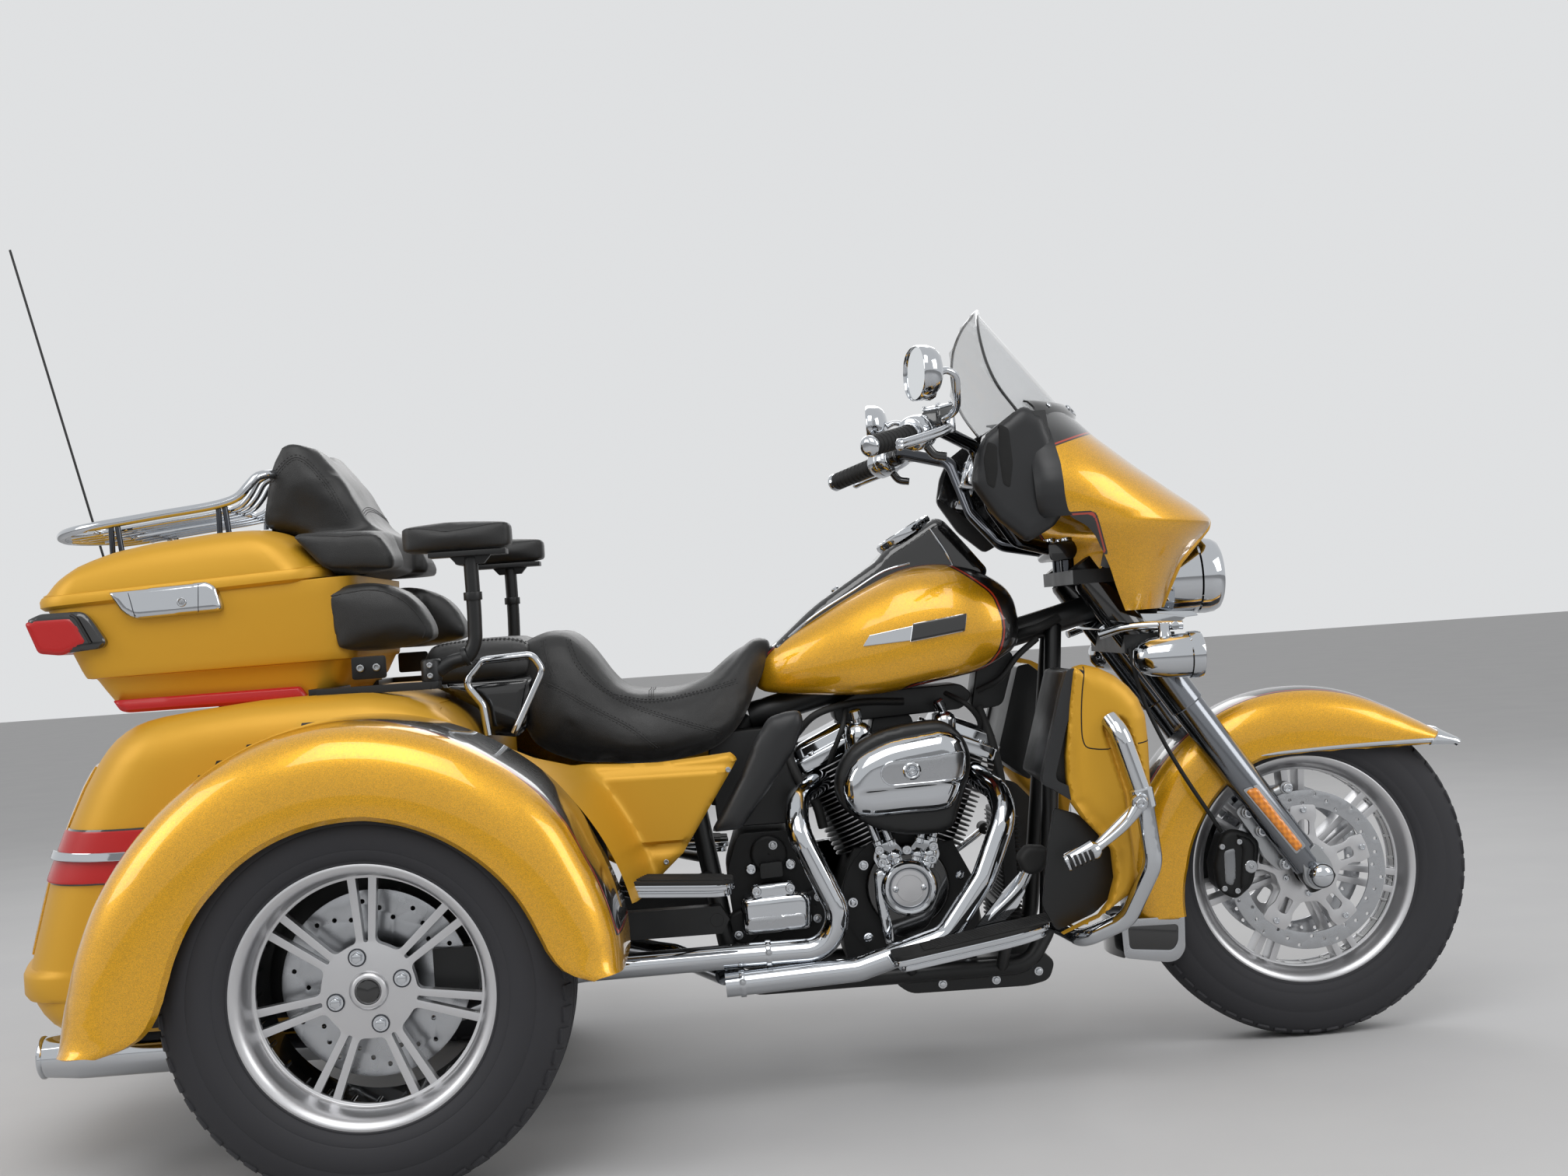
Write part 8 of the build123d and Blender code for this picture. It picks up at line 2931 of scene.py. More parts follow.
@dataclass(frozen=True)
class AirCleaner:
    """Rounded air cleaner: a bright stepped cover on a black base, with a bare brushed panel.

    Attributes:
        face: distance of the cover's face from the middle; not used.
    """

    face: float = 234.0

    COVER = ((797, 566), (808, 586), (827, 604), (856, 619), (886, 629), (940, 637), (984, 640), (1008, 628),
             (1019, 606), (1021, 578), (1010, 536), (996, 506), (984, 495), (905, 491), (836, 491), (812, 499),
             (796, 522), (793, 545))
    BOLT = (918, 0, 573.5)
    BASE = ((782, 544), (788, 578), (810, 612), (861, 642), (950, 657), (986, 655), (1012, 634), (1027, 604),
            (1029, 572), (1016, 530), (1003, 497), (986, 462), (903, 457), (846, 474), (812, 495), (790, 516))

    def shape(self, at: np.ndarray) -> np.ndarray:
        """The long step across the cover's face.

        Args:
            at: (x, z) points in model millimetres, one a row.

        Returns:
            One distance for each point.
        """
        edge = 545.5 + 0.045 * (at[:, 0] - 900)
        step = np.clip((edge - at[:, 1]) / 4.0, 0, 1) * np.clip((at[:, 0] - 818) / 20, 0, 1)
        return -5.5 * step + 3.0 * np.clip((at[:, 1] - 560) / 60, -1, 0.4)

    def build(self) -> None:
        """Makes the base, the cover, its panel and its bolt."""
        base = Form().pillow(smooth(self.BASE, 60, closed=True), 196, 46, 10, reach=16, pitch=7)
        base.bar((908, -152, 590), (908, -40, 604), [(0, 30), (1, 26)], 32)
        base.build("air_cleaner_base", "chassis", [SATIN_BLACK], "black_plastic", ["air_cleaner"], angle=50)
        cover = Form().pillow(smooth(self.COVER, 84, closed=True), 204, 10, 28, reach=34, pitch=4.5, shape=self.shape)
        piece = cover.build("air_cleaner_cover", "chassis", [CHROME], "chrome", angle=60)
        left = arc_points((884, 571), 21, 95, 265, 18)
        panel = np.vstack([left, [(950, 551), (1004, 553.5), (1009, 560), (1017, 592), (1015, 600), (1008, 601.5),
                                  (950, 595)]])
        surface = Surface(piece)
        inner = Form().pillow(panel, 0.0, 1.5, 0.6, reach=2, pitch=4, side=RIGHT)

        def laid(points: np.ndarray) -> np.ndarray:
            """The points, moved onto the face of the cover."""
            found, _ = surface.drop(np.column_stack([points[:, 0], np.full(len(points), -300.0), points[:, 2]]),
                                    LEFTWARD)
            points[:, 1] += found[:, 1] - 0.7
            return points

        inner.placed(laid).build("air_cleaner_panel", "chassis", [STEEL], "chrome", angle=50)
        rim, _ = surface.drop([(x, -300, z) for x, z in even(np.vstack([panel, panel[:1]]), 90, closed=True)],
                              LEFTWARD)
        Form().tube(rim - (0, 0.8, 0), 1.5, 8, closed=True).build("air_cleaner_panel_rim", "chassis", [CHROME],
            "chrome")
        bolt = Form().lathe([(7, 228), (16.5, 228), (16.5, 236), (13.5, 238.4), (10.5, 237.4), (9, 235), (7, 235)],
                            self.BOLT, RIGHTWARD, steps=40)
        bolt.lathe([(0.1, 228), (8.4, 228), (8.4, 236.5), (6.5, 239.5), (3.6, 240), (3.4, 236), (0.1, 236)],
                   self.BOLT, RIGHTWARD, steps=6)
        bolt.build("air_cleaner_bolt", "chassis", [CHROME], "chrome", bevel=0.4)


@dataclass(frozen=True)
class Gearbox:
    """Gearbox with its two-tier side cover, sensor box and bolts.

    Attributes:
        side: distance of the case's side from the middle.
    """

    side: float = 103.0

    def build(self) -> None:
        """Makes the gearbox."""
        case = Form().plate(rounded([(590, 225), (760, 225), (768, 400), (700, 470), (600, 470), (575, 400)], 16,
                                    5), -self.side, self.side)
        for x, z, r in ((600, 300, 32), (735, 330, 30), (655, 430, 34)):
            case.lathe([(0.1, -118), (r - 4, -118), (r, -114), (r, -90), (0.1, -90)], (x, 0, z), LEFTWARD, steps=36)
        case.build("gearbox_case", "chassis", [WRINKLE], "engine_case", ["gearbox"], bevel=5, steps=3)
        cover = Form().pillow(rounded([(600, 288), (724, 292), (727, 350), (716, 364), (604, 360), (597, 348)], 11,
                                      4), 146, 44, 14, reach=16, pitch=4.5)
        cover.build("gearbox_cover", "chassis", [CHROME], "chrome", angle=60)
        upper = Form().pillow(rounded([(618, 350), (698, 354), (697, 382), (617, 378)], 7, 4), 150, 30, 4, reach=6,
                              pitch=4)
        upper.build("gearbox_cover_lip", "chassis", [CHROME], "chrome", angle=60)
        face = Form().pillow(rounded([(608, 294), (712, 297), (716, 310), (712, 325), (608, 322), (603, 308)], 9,
                                     4), 161.3, 4, 1.4, reach=3, pitch=4)
        face.build("gearbox_cover_face", "chassis", [STEEL], "chrome", angle=60)
        box = Form().plate(rounded([(636, 388), (679, 390), (678, 418), (637, 416)], 4, 3), -138, -100)
        box.build("gearbox_sensor", "chassis", [SATIN_BLACK], "black_plastic", bevel=1.6, steps=3)
        large = [(621, -104, 404), (694, -104, 408), (627, -154, 369), (689, -154, 371)]
        Repeater.at("gearbox_bolts", "chassis", Fasteners.cap_screw(), large, [RIGHTWARD] * 4, CHROME, "chrome",
                    sizes=(2.0, 2.0, 1.8, 1.8), bevel=0.4)
        small = [(590, -118, 286), (600, -118, 258), (741, -118, 345), (737, -118, 306), (664, -118, 446),
                 (640, -104, 240), (720, -104, 240)]
        Repeater.at("gearbox_screws", "chassis", Fasteners.hex_bolt(), small, [RIGHTWARD] * 7, STEEL, "chrome",
                    sizes=1.0, bevel=0.3)


@dataclass(frozen=True)
class ExhaustDress:
    """Clamps, their screws and rolled lips on the exhaust, and painted shade deep in the mufflers.

    Attributes:
        lip: where the mufflers end.
    """

    lip: float = -600.0

    def build(self) -> None:
        """Makes the rings and lips."""
        rings, screws, ways = Form(), [], []
        for at, way, radius in (((640, -200, 262), AHEAD, 22), ((-55, -330, 205), AHEAD, 23.5),
                                ((-55, 330, 205), AHEAD, 21.5), ((590, -215, 216), (1, 0, 0.05), 22),
                                ((-124, -330, 205), AHEAD, 39.6), ((-124, 330, 205), AHEAD, 39.6)):
            rings.lathe([(radius - 1.5, -5), (radius + 2.2, -5), (radius + 2.8, -3.5), (radius + 2.8, 3.5),
                         (radius + 2.2, 5), (radius - 1.5, 5)], at, way, steps=44)
            if radius < 30:
                screws.append((at[0], at[1] + math.copysign(radius + 2, at[1]), at[2] + 6))
                ways.append((0, math.copysign(1, at[1]), 0.1))
        for side in (RIGHT, LEFT):
            rings.lathe([(28.5, 3), (34.5, 3), (36.5, 0), (36.5, -3.5), (34, -6), (30, -5), (28.5, -2)],
                        (self.lip, side * 330, 205), AHEAD, steps=48)
        rings.build("exhaust_rings", "chassis", [CHROME], "chrome", angle=40)
        Repeater.at("exhaust_screws", "chassis", Fasteners.hex_bolt(), screws, ways, STEEL, "chrome", sizes=0.8,
                    bevel=0.2)
        # Near-black disc deep in each muffler: painted shade inside the bore, with its soot.
        soot_and_shade = Form()
        for side in (RIGHT, LEFT):
            soot_and_shade.lathe([(0.1, 70), (28.6, 70), (28.6, 6), (27.6, 6), (27.6, 68), (0.1, 68)],
                       (self.lip, side * 330, 205), AHEAD, steps=40)
        soot_and_shade.build("muffler_bores", "chassis", [PAINTED_SHADE], "chrome")


@dataclass(frozen=True)
class Ancillaries:
    """Dark parts that fill the frame round the engine: battery box, throttle body, regulator, cooler, hoses and wiring.

    Attributes:
        half: half of the battery box's width.
    """

    half: float = 96.0

    def build(self) -> None:
        """Makes the boxes, the cooler and the hoses."""
        box, fins, hoses = Form(), Form(), Form()
        box.plate(rounded([(566, 482), (704, 482), (716, 520), (716, 628), (690, 660), (580, 660), (556, 630)], 16,
                          5), -self.half, self.half)
        box.plate(rounded([(800, 658), (1040, 668), (1062, 694), (1040, 716), (842, 712), (796, 690)], 12, 5), -58,
                  58)
        box.plate(rounded([(872, 560), (944, 560), (956, 610), (944, 666), (872, 666), (860, 610)], 14, 5), -36, 44)
        box.plate(rounded([(1058, 662), (1120, 668), (1150, 760), (1120, 790), (1078, 760)], 14, 5), -40, 40)
        box.build("battery_box", "chassis", [SATIN_BLACK], "black_plastic", bevel=6, steps=3)
        fins.plate(rounded([(1092, 300), (1116, 300), (1116, 470), (1092, 470)], 5, 4), -92, 92)
        for k in range(19):
            z = 308 + 8.4 * k
            fins.plate(rounded([(1088, z), (1128, z), (1128, z + 2.4), (1088, z + 2.4)], 0.8, 3), -88, 88)
        for k in range(9):
            z = 230 + 8.4 * k
            fins.plate([(1070, z), (1126, z), (1126, z + 3), (1070, z + 3)], -66, 66)
        fins.plate([(1084, 224), (1104, 224), (1104, 306), (1084, 306)], -60, 60)
        fins.build("oil_cooler", "chassis", [WRINKLE], "engine_case", bevel=0.4)
        runs = (((1104, -70, 470), (1100, -76, 540), (1088, -70, 610), (1072, -50, 668)),
                ((1104, 70, 470), (1108, 84, 560), (1092, 70, 640), (1072, 40, 690)),
                ((720, -70, 640), (760, -90, 678), (840, -66, 694), (930, -60, 690)),
                ((820, -58, 690), (812, -96, 660), (790, -92, 610), (770, -60, 566)),
                ((1010, -56, 700), (1046, -84, 676), (1070, -66, 640), (1064, -40, 600)),
                ((760, -98, 470), (748, -108, 520), (722, -104, 560), (706, -90, 600)),
                ((1120, 0, 780), (1160, -30, 800), (1200, -40, 810), (1240, -30, 826)),
                ((1070, -62, 700), (1112, -74, 720), (1150, -64, 760), (1192, -50, 790)))
        for run, radius in zip(runs, (8, 8, 7, 5, 5, 9, 9, 6)):
            hoses.tube(smooth(run, 28), radius, 12)
        hoses.build("engine_hoses", "chassis", [RUBBER], "soft_rubber")


# Shields, guards, boards and hand controls


@dataclass(frozen=True)
class LowerFairings:
    """Leg shields with a door seam and a channel for the guard, their leaning inner frames and splash panels.

    Attributes:
        edge: distance of a shield's edge from the middle.
        rise: how far its face stands out of the edge.
        reach: distance over which it rises.
        channel: depth of the guard's channel.
    """

    edge: float = 350.0
    rise: float = 30.0
    reach: float = 40.0
    channel: float = 21.0

    OUTLINE = ((1196, 742), (1218, 745), (1242, 738), (1270, 722), (1292, 702), (1308, 680), (1318, 650),
               (1320, 600), (1318, 520), (1306, 470), (1297, 430), (1291, 396), (1283, 366), (1268, 342),
               (1232, 321), (1184, 304), (1143, 286), (1170, 292), (1208, 311), (1229, 336), (1242, 374),
               (1240, 424), (1219, 452), (1190, 486), (1174, 512), (1170, 550), (1171, 590), (1183, 680),
               (1193, 734))
    REAR = ((286, 1143), (311, 1208), (336, 1229), (374, 1242), (424, 1240), (452, 1219), (486, 1190), (512, 1174),
            (550, 1170), (590, 1171), (680, 1183), (745, 1196))
    GUARD = ((1300, 396), (1293, 470), (1290, 520), (1262, 625), (1260, 632))
    FRAME = ((1198, 741), (1182, 738), (1168, 700), (1126, 556), (1128, 544), (1144, 536), (1192, 502), (1206, 498),
             (1212, 506), (1204, 560), (1204, 690), (1212, 736))
    WINDOW = ((1178, 652), (1196, 660), (1194, 560), (1190, 530), (1152, 550), (1150, 560))

    def shape(self, at: np.ndarray) -> np.ndarray:
        """The crisp rear edge, and the channel round the guard.

        Args:
            at: (x, z) points in model millimetres, one a row.

        Returns:
            One distance for each point.
        """
        rear = np.array([table(self.REAR, z) for z in at[:, 1]])
        crisp = 0.9 * self.rise * np.clip(1 - (at[:, 0] - rear) / 26, 0, 1) ** 2
        path = np.array(self.GUARD, float)
        away = np.full(len(at), 1e9)
        for a, b in zip(path[:-1], path[1:]):
            run = b - a
            share = np.clip((at - a) @ run / (run @ run), 0, 1)
            away = np.minimum(away, np.linalg.norm(at - (a + share[:, None] * run), axis=1))
        cut = np.clip((24 - away) / 8, 0, 1)
        return crisp - self.channel * cut * cut * (3 - 2 * cut)

    def build(self) -> None:
        """Makes both shields and both inner frames."""
        for side, name in SIDES:
            shell = Form().pillow(self.OUTLINE, self.edge, 26, self.rise, reach=self.reach, pitch=4.6, side=side,
                                  shape=self.shape)
            piece = shell.build(f"lower_shield_{name}", "chassis", [GOLD], "gold_paint",
                                ["lower_fairings"] if side == RIGHT else (), angle=60)
            surface = Surface(piece)
            seam = [(1214, 742), (1206, 700), (1201, 650), (1201, 618), (1206, 605), (1222, 600), (1250, 598)]
            self._groove(surface, seam, side, f"lower_door_seam_{name}")
            self._groove(surface, [(1296, 604), (1306, 605), (1319, 607)], side, f"lower_door_seam_front_{name}")
            frame = Form()
            low, high = span(side, 376, 352)
            frame.plate(rounded(self.FRAME, (3, 4, 4, 6, 6, 6, 4, 4, 6, 4, 4, 4), 4), low, high,
                        holes=[rounded(self.WINDOW, 5, 4)[::-1]])
            frame.build(f"lower_frame_{name}", "chassis", [BLACK_PLASTIC], "black_plastic",
                        ["lower_inners"] if side == RIGHT else (), bevel=3.0, steps=3)
            dark = Form()
            low, high = span(side, 352, 150)
            dark.plate(rounded([(1206, 738), (1184, 734), (1130, 556), (1146, 542), (1192, 506), (1204, 520),
                                (1204, 560), (1232, 716)], 5, 4), low, high)
            dark.build(f"lower_back_{name}", "chassis", [SATIN_BLACK], "black_plastic", bevel=2.0)
            splash = [(1150, 500), (1192, 486), (1222, 452), (1246, 424), (1248, 372), (1234, 334), (1208, 312),
                      (1140, 286), (1118, 330), (1132, 420)]
            low, high = span(side, 336, 326)
            Form().plate(rounded(splash, 8, 4), low, high).build(f"lower_splash_{name}", "chassis", [SATIN_BLACK],
                "black_plastic", bevel=1.5)

    def _groove(self, surface: Surface, path: Points, side: int, name: str) -> None:
        """A near-black line sunk in the shield's face: the painted shade of the door's gap."""
        line, normals = surface.drop([(x, side * 480, z) for x, z in smooth(path, 60)], (0, -side, 0))
        Form().tube(line - normals * 0.5, 1.3, 8).build(name, "chassis", [PAINTED_SHADE], "black_plastic")


@dataclass(frozen=True)
class GuardDress:
    """Clamps on the engine guard, with hinged arms that end in highway pegs.

    Attributes:
        clamp: where the right-hand clamp stands.
    """

    clamp: tuple[float, float, float] = (1291.6, -402.0, 512.0)

    def build(self) -> None:
        """Makes both clamps, arms and pegs."""
        metal, pads = Form(), Form()
        x, y, z = self.clamp
        metal.bar((x + 2.6, y, z - 18), (x - 2.6, y, z + 18), [(0, 18), (0.08, 20.5), (0.92, 20.5), (1, 18)], 32)
        metal.bar((x - 6, y - 8, z), (x - 12, y - 34, z - 3), [(0, 13), (0.7, 13), (0.8, 11), (1, 9)], 24)
        metal.lathe([(0.1, -9), (13, -9), (15, -6), (15, 6), (13, 9), (0.1, 9)], (x - 12, y - 26, z - 4), RIGHTWARD,
                    steps=32)
        arm = smooth([(x - 12, y - 26, z - 6), (x - 34, y - 28, z - 34), (x - 66, y - 28, z - 60),
                      (x - 96, y - 28, z - 78)], 24)
        metal.tube(arm, np.interp(np.linspace(0, 1, 24), [0, 0.3, 0.8, 1], [12.5, 8.5, 7.0, 9.5]), 20)
        metal.lathe([(0.1, -8), (9, -8), (11, -5), (11, 5), (9, 8), (0.1, 8)], (x - 97, y - 28, z - 79), RIGHTWARD,
                    steps=28)
        metal.bar((1206, -430, 437), (1146, -430, 415), [(0, 9), (0.1, 14.5), (0.2, 15.5), (0.26, 13), (0.9, 13),
                (0.93, 15.5), (0.99, 14), (1, 9)], 32)
        for share in np.linspace(0.3, 0.86, 5):
            a = np.array((1206, -430, 437)) + (np.array((1146, -430, 415)) - (1206, -430, 437)) * share
            pads.lathe([(12, -3.4), (15.6, -2.8), (15.6, 2.8), (12, 3.4)], a, (-60, 0, -22), steps=32)
        metal.twin().build("guard_clamps", "chassis", [CHROME], "chrome", angle=40)
        pads.twin().build("guard_peg_pads", "chassis", [RUBBER], "soft_rubber")
        spots = [(x - 12, side * (abs(y) + 35), z - 4) for side in (RIGHT, LEFT)]
        Repeater.at("guard_bolts", "chassis", Fasteners.cap_screw(), spots, [RIGHTWARD, LEFTWARD], CHROME, "chrome",
                    sizes=1.9, bevel=0.4)


@dataclass(frozen=True)
class Boards:
    """Foot boards with ribbed rubber tops on bright pans, and the brake pedal.

    Attributes:
        inner: distance of the rider's boards' inner edge from the middle.
        outer: distance of their outer edge.
    """

    inner: float = 242.0
    outer: float = 345.0

    def build(self) -> None:
        """Makes all four boards and the pedals."""
        rider = ((850, 262), (1139, 306.5))
        plan = rounded([(850, -self.inner), (852, -self.outer + 4), (1078, -self.outer), (1132, -self.outer + 26),
                        (1140, -self.inner - 16), (1134, -self.inner)], (10, 26, 40, 22, 12, 8), 6)
        self._board("rider", plan, rider, 9, ["footboards"])
        rear = rounded([(388, -276), (388, -366), (404, -375), (560, -375), (586, -350), (588, -284), (578, -276)],
                       (8, 16, 12, 26, 18, 10, 8), 6)
        self._board("passenger", rear, ((387, 436), (587, 422)), 7, ())
        stays = Form()
        stays.tube(smooth([(1072, -250, 276), (1070, -190, 238), (1070, -128, 194)], 16), 11, 16)
        stays.tube(smooth([(900, -250, 248), (902, -190, 226), (902, -128, 196)], 16), 9, 16)
        stays.tube(smooth([(478, -284, 398), (510, -200, 400), (546, -124, 400)], 16), 10, 16)
        stays.plate(rounded([(1040, 288), (1104, 296), (1100, 262), (1080, 250), (1052, 254)], 8, 4), -256, -244)
        stays.twin().build("board_stays", "chassis", [SATIN_BLACK], "black_plastic", angle=40)
        self._pedals()

    @staticmethod
    def _board(name: str, plan: np.ndarray, line: Points, ribs: int, nodes: Sequence[str]) -> None:
        """One pair of boards: a rubber top with ribs across it, on a bright pan.

        Args:
            name: the pair's name.
            plan: the outline of one board from above.
            line: its (x, z) line from the side.
            ribs: how many ribs cross it.
            nodes: CAD nodes that it stands for.
        """
        (x0, z0), (x1, z1) = line

        def tilted(p: np.ndarray, level: float) -> np.ndarray:
            """A point of the plan, raised to the slope of the board."""
            return np.column_stack([p[:, 0], p[:, 1], z0 + (p[:, 0] - x0) * (z1 - z0) / (x1 - x0) + level])

        middle = plan.mean(axis=0)
        wide, deep = plan.max(axis=0) - plan.min(axis=0)
        pan = Form().plate(plan, -19, -9, place=tilted)
        pan.plate(middle + (plan - middle) * 0.93, -30, -19, place=tilted)
        pan.twin().build(f"{name}_board_pans", "chassis", [CHROME], "chrome", nodes, bevel=2.5, steps=3)
        rubber = Form().plate(middle + (plan - middle) * 0.975, -9, -2.5, place=tilted)
        for k in range(ribs):
            y = plan[:, 1].min() + deep * (k + 1) / (ribs + 1)
            half = 0.43 * wide if 0 < k < ribs - 1 else 0.36 * wide
            rubber.plate(rounded([(middle[0] - half, y - 2.2), (middle[0] + half, y - 2.2),
                                  (middle[0] + half, y + 2.2), (middle[0] - half, y + 2.2)], 1.6, 3), -3, 0,
                         place=tilted)
        rubber.twin().build(f"{name}_board_pads", "chassis", [RUBBER], "soft_rubber", bevel=0.8)

    def _pedals(self) -> None:
        """Brake pedal on the right and heel-toe shifter on the left."""
        metal, pads = Form(), Form()
        metal.tube(smooth([(1000, -228, 262), (1040, -232, 300), (1092, -250, 352), (1118, -258, 396)], 24),
                   [9] * 24, 16)
        metal.plate(rounded([(1026, 262), (1090, 318), (1120, 372), (1106, 384), (1060, 340), (1008, 282)], 8, 4),
                    -240, -230)
        pads.pillow(rounded([(1092, 408), (1110, 428), (1146, 424), (1152, 404), (1132, 378), (1104, 376)], 9, 4),
                    262, 30, 6, reach=9, pitch=4.5)
        metal.tube(smooth([(960, 236, 330), (1020, 242, 352), (1082, 252, 386), (1110, 262, 404)], 20), [7] * 20, 16)
        metal.tube(smooth([(960, 236, 330), (900, 242, 338), (862, 252, 356)], 16), [7] * 16, 16)
        for x, z in ((1110, 404), (862, 356)):
            pads.bar((x, 246, z), (x, 290, z), [(0, 9), (0.06, 12), (0.3, 12), (0.34, 10.6), (0.42, 12), (0.66, 12),
                    (0.7, 10.6), (0.78, 12), (0.96, 12), (1, 9)], 24)
        metal.build("foot_levers", "chassis", [CHROME], "chrome", ["foot_controls"], angle=40)
        pads.build("foot_lever_pads", "chassis", [RUBBER], "soft_rubber", bevel=0.6, angle=50)


@dataclass(frozen=True)
class HandControls:
    """Grips, switch housings, levers, reservoirs and mirrors on the handlebar.

    Attributes:
        tip: the right-hand grip's outer end.
        bend: where the bar turns inward.
    """

    tip: tuple[float, float, float] = (868.0, -412.0, 1143.0)
    bend: tuple[float, float, float] = (1000.0, -262.0, 1182.0)

    def along(self, reach: float, up: float = 0.0, ahead: float = 0.0) -> np.ndarray:
        """A point along the grip, moved up and forward.

        Args:
            reach: how far along the grip it is.
            up: how far it is moved up.
            ahead: how far it is moved forward.

        Returns:
            The point.
        """
        start, end = np.array(self.tip), np.array(self.bend)
        run = (end - start) / np.linalg.norm(end - start)
        front = np.cross(run, (0, 0, 1.0))
        front /= np.linalg.norm(front)
        return start + run * reach + np.array((0, 0, up)) + front * ahead

    def turned(self, form: Form, first: float, last: float, profile: Points, sides: int = 36) -> None:
        """Adds a turned part between two stations on the bar; profile holds (station, radius) pairs."""
        span = last - first
        form.bar(self.along(first), self.along(last), [((s - first) / span, r) for s, r in profile], sides)

    def build(self) -> None:
        """Makes both sides' controls."""
        rubber, metal, black, levers = Form(), Form(), Form(), Form()
        profile = [(0, 16.6)]
        for k in range(9):
            s = 6 + 11.6 * k
            profile += [(s, 16.6), (s + 1, 18.2), (s + 8.4, 18.2), (s + 9.6, 16.8)]
        profile += [(113, 16.8), (115, 19.5), (118, 19.5)]
        self.turned(rubber, 0, 118, profile)
        self.turned(metal, -12, 4, [(-12, 8), (-11, 13), (-8, 16.5), (-4, 18.8), (0, 18.8), (2, 17.4), (4, 17.4)])
        self.turned(metal, 117, 123.5, [(117, 20.5), (118, 22), (122.5, 22), (123.5, 20.5)])
        self.turned(metal, 124, 172, [(124, 25), (126, 29), (131, 31), (146, 31.5), (147, 30.4), (148, 31.5),
                                      (164, 30), (170, 26), (172, 20)])
        self.turned(black, 172, 192, [(172, 17), (174, 19), (189, 19), (192, 15)])
        a, b, c, d = (self.along(150, 26, 6), self.along(206, 26, 6), self.along(206, 26, 44),
                      self.along(150, 26, 44))
        for low, high, form, grow in ((8, 34, black, 1.0), (34, 40, metal, 0.96)):
            middle = (a + b + c + d) / 4
            base = [middle + (p - middle) * grow for p in (a, b, c, d)]
            corners = rounded([(0, 0), (1, 0), (1, 1), (0, 1)], 0.16, 5)
            rows = []
            for level, inset in ((low, 0.94), (low + 2, 1.0), (high - 2, 1.0), (high, 0.94)):
                ring = []
                for u, v in corners:
                    u, v = 0.5 + (u - 0.5) * inset, 0.5 + (v - 0.5) * inset
                    p = base[0] * (1 - u) * (1 - v) + base[1] * u * (1 - v) + base[2] * u * v + base[3] * (1 - u) * v
                    ring.append(p + (0, 0, level - 26))
                rows.append(ring)
            form.grid(np.array(rows), wrap=True, caps=True)
        pivot = self.along(186, 2, 38)
        metal.lathe([(0.1, -14), (12, -14), (14, -11), (14, 11), (12, 14), (0.1, 14)], pivot, UPWARD, steps=28)
        metal.bar(self.along(182, 0, 14), pivot, [(0, 14), (0.6, 13), (1, 12)], 24)
        blade = [pivot, self.along(150, 0, 62), self.along(100, -2, 70), self.along(40, -4, 62),
                 self.along(-4, -4, 58)]
        path = smooth(blade, 40)
        for lift, radius in ((3.4, 5.2), (-3.4, 5.2)):
            levers.tube(path + (0, 0, lift), np.interp(np.linspace(0, 1, 40), [0, 0.1, 0.9, 0.97, 1],
                    [8, radius, radius, 7.5, 4]), 14)
        self.turned(black, 126, 160, [(126, 10), (128, 12), (158, 12), (160, 10)])
        under = smooth([self.along(160, -24, 6), self.along(170, -44, 16), self.along(186, -52, 30)], 14)
        black.tube(under, 8, 12)
        for form in (rubber, metal, black, levers):
            form.twin()
        rubber.build("grip_sleeves", "steering", [RUBBER], "soft_rubber", ["grips"], angle=30)
        metal.build("control_housings", "steering", [CHROME], "chrome", ["hand_controls"], bevel=0.6, angle=40)
        black.build("control_boxes", "steering", [GLOSS_BLACK], "gloss_black", bevel=1.0, angle=40)
        levers.build("hand_levers", "steering", [CHROME], "chrome", angle=60)
        spots, ways = [], []
        for side in (RIGHT, LEFT):
            for s, f in ((156, 12), (200, 12), (200, 38), (156, 38)):
                p = self.along(s, 40, f)
                spots.append((p[0], p[1] if side == RIGHT else -p[1], p[2]))
                ways.append(UPWARD)
        Repeater.at("reservoir_screws", "steering", Fasteners.cap_screw(), spots, ways, STEEL, "chrome", sizes=0.7,
                    bevel=0.2)
        self._mirrors()
        self._clamp()

    def _mirrors(self) -> None:
        """Mirror heads with a rounded shell, a glass and a knuckle on a bent stem."""
        shell, glass, stems, dark = Form(), Form(), Form(), Form()
        centre, tilt = np.array((966.0, -440.0, 1258.0)), math.radians(8)
        out = np.array((math.cos(tilt), math.sin(tilt), 0.0))
        wide = np.array((-math.sin(tilt), math.cos(tilt), 0.0))
        ring = [(74 * math.copysign(abs(math.cos(t)) ** 0.86, math.cos(t)),
                 46 * math.copysign(abs(math.sin(t)) ** 0.86, math.sin(t)))
                for t in np.linspace(0, 2 * math.pi, 56, endpoint=False)]

        def row(scale: float, depth: float) -> list[np.ndarray]:
            """One loop of the mirror's outline."""
            return [centre + wide * u * scale + np.array((0, 0, 1.0)) * v * scale + out * depth for u, v in ring]

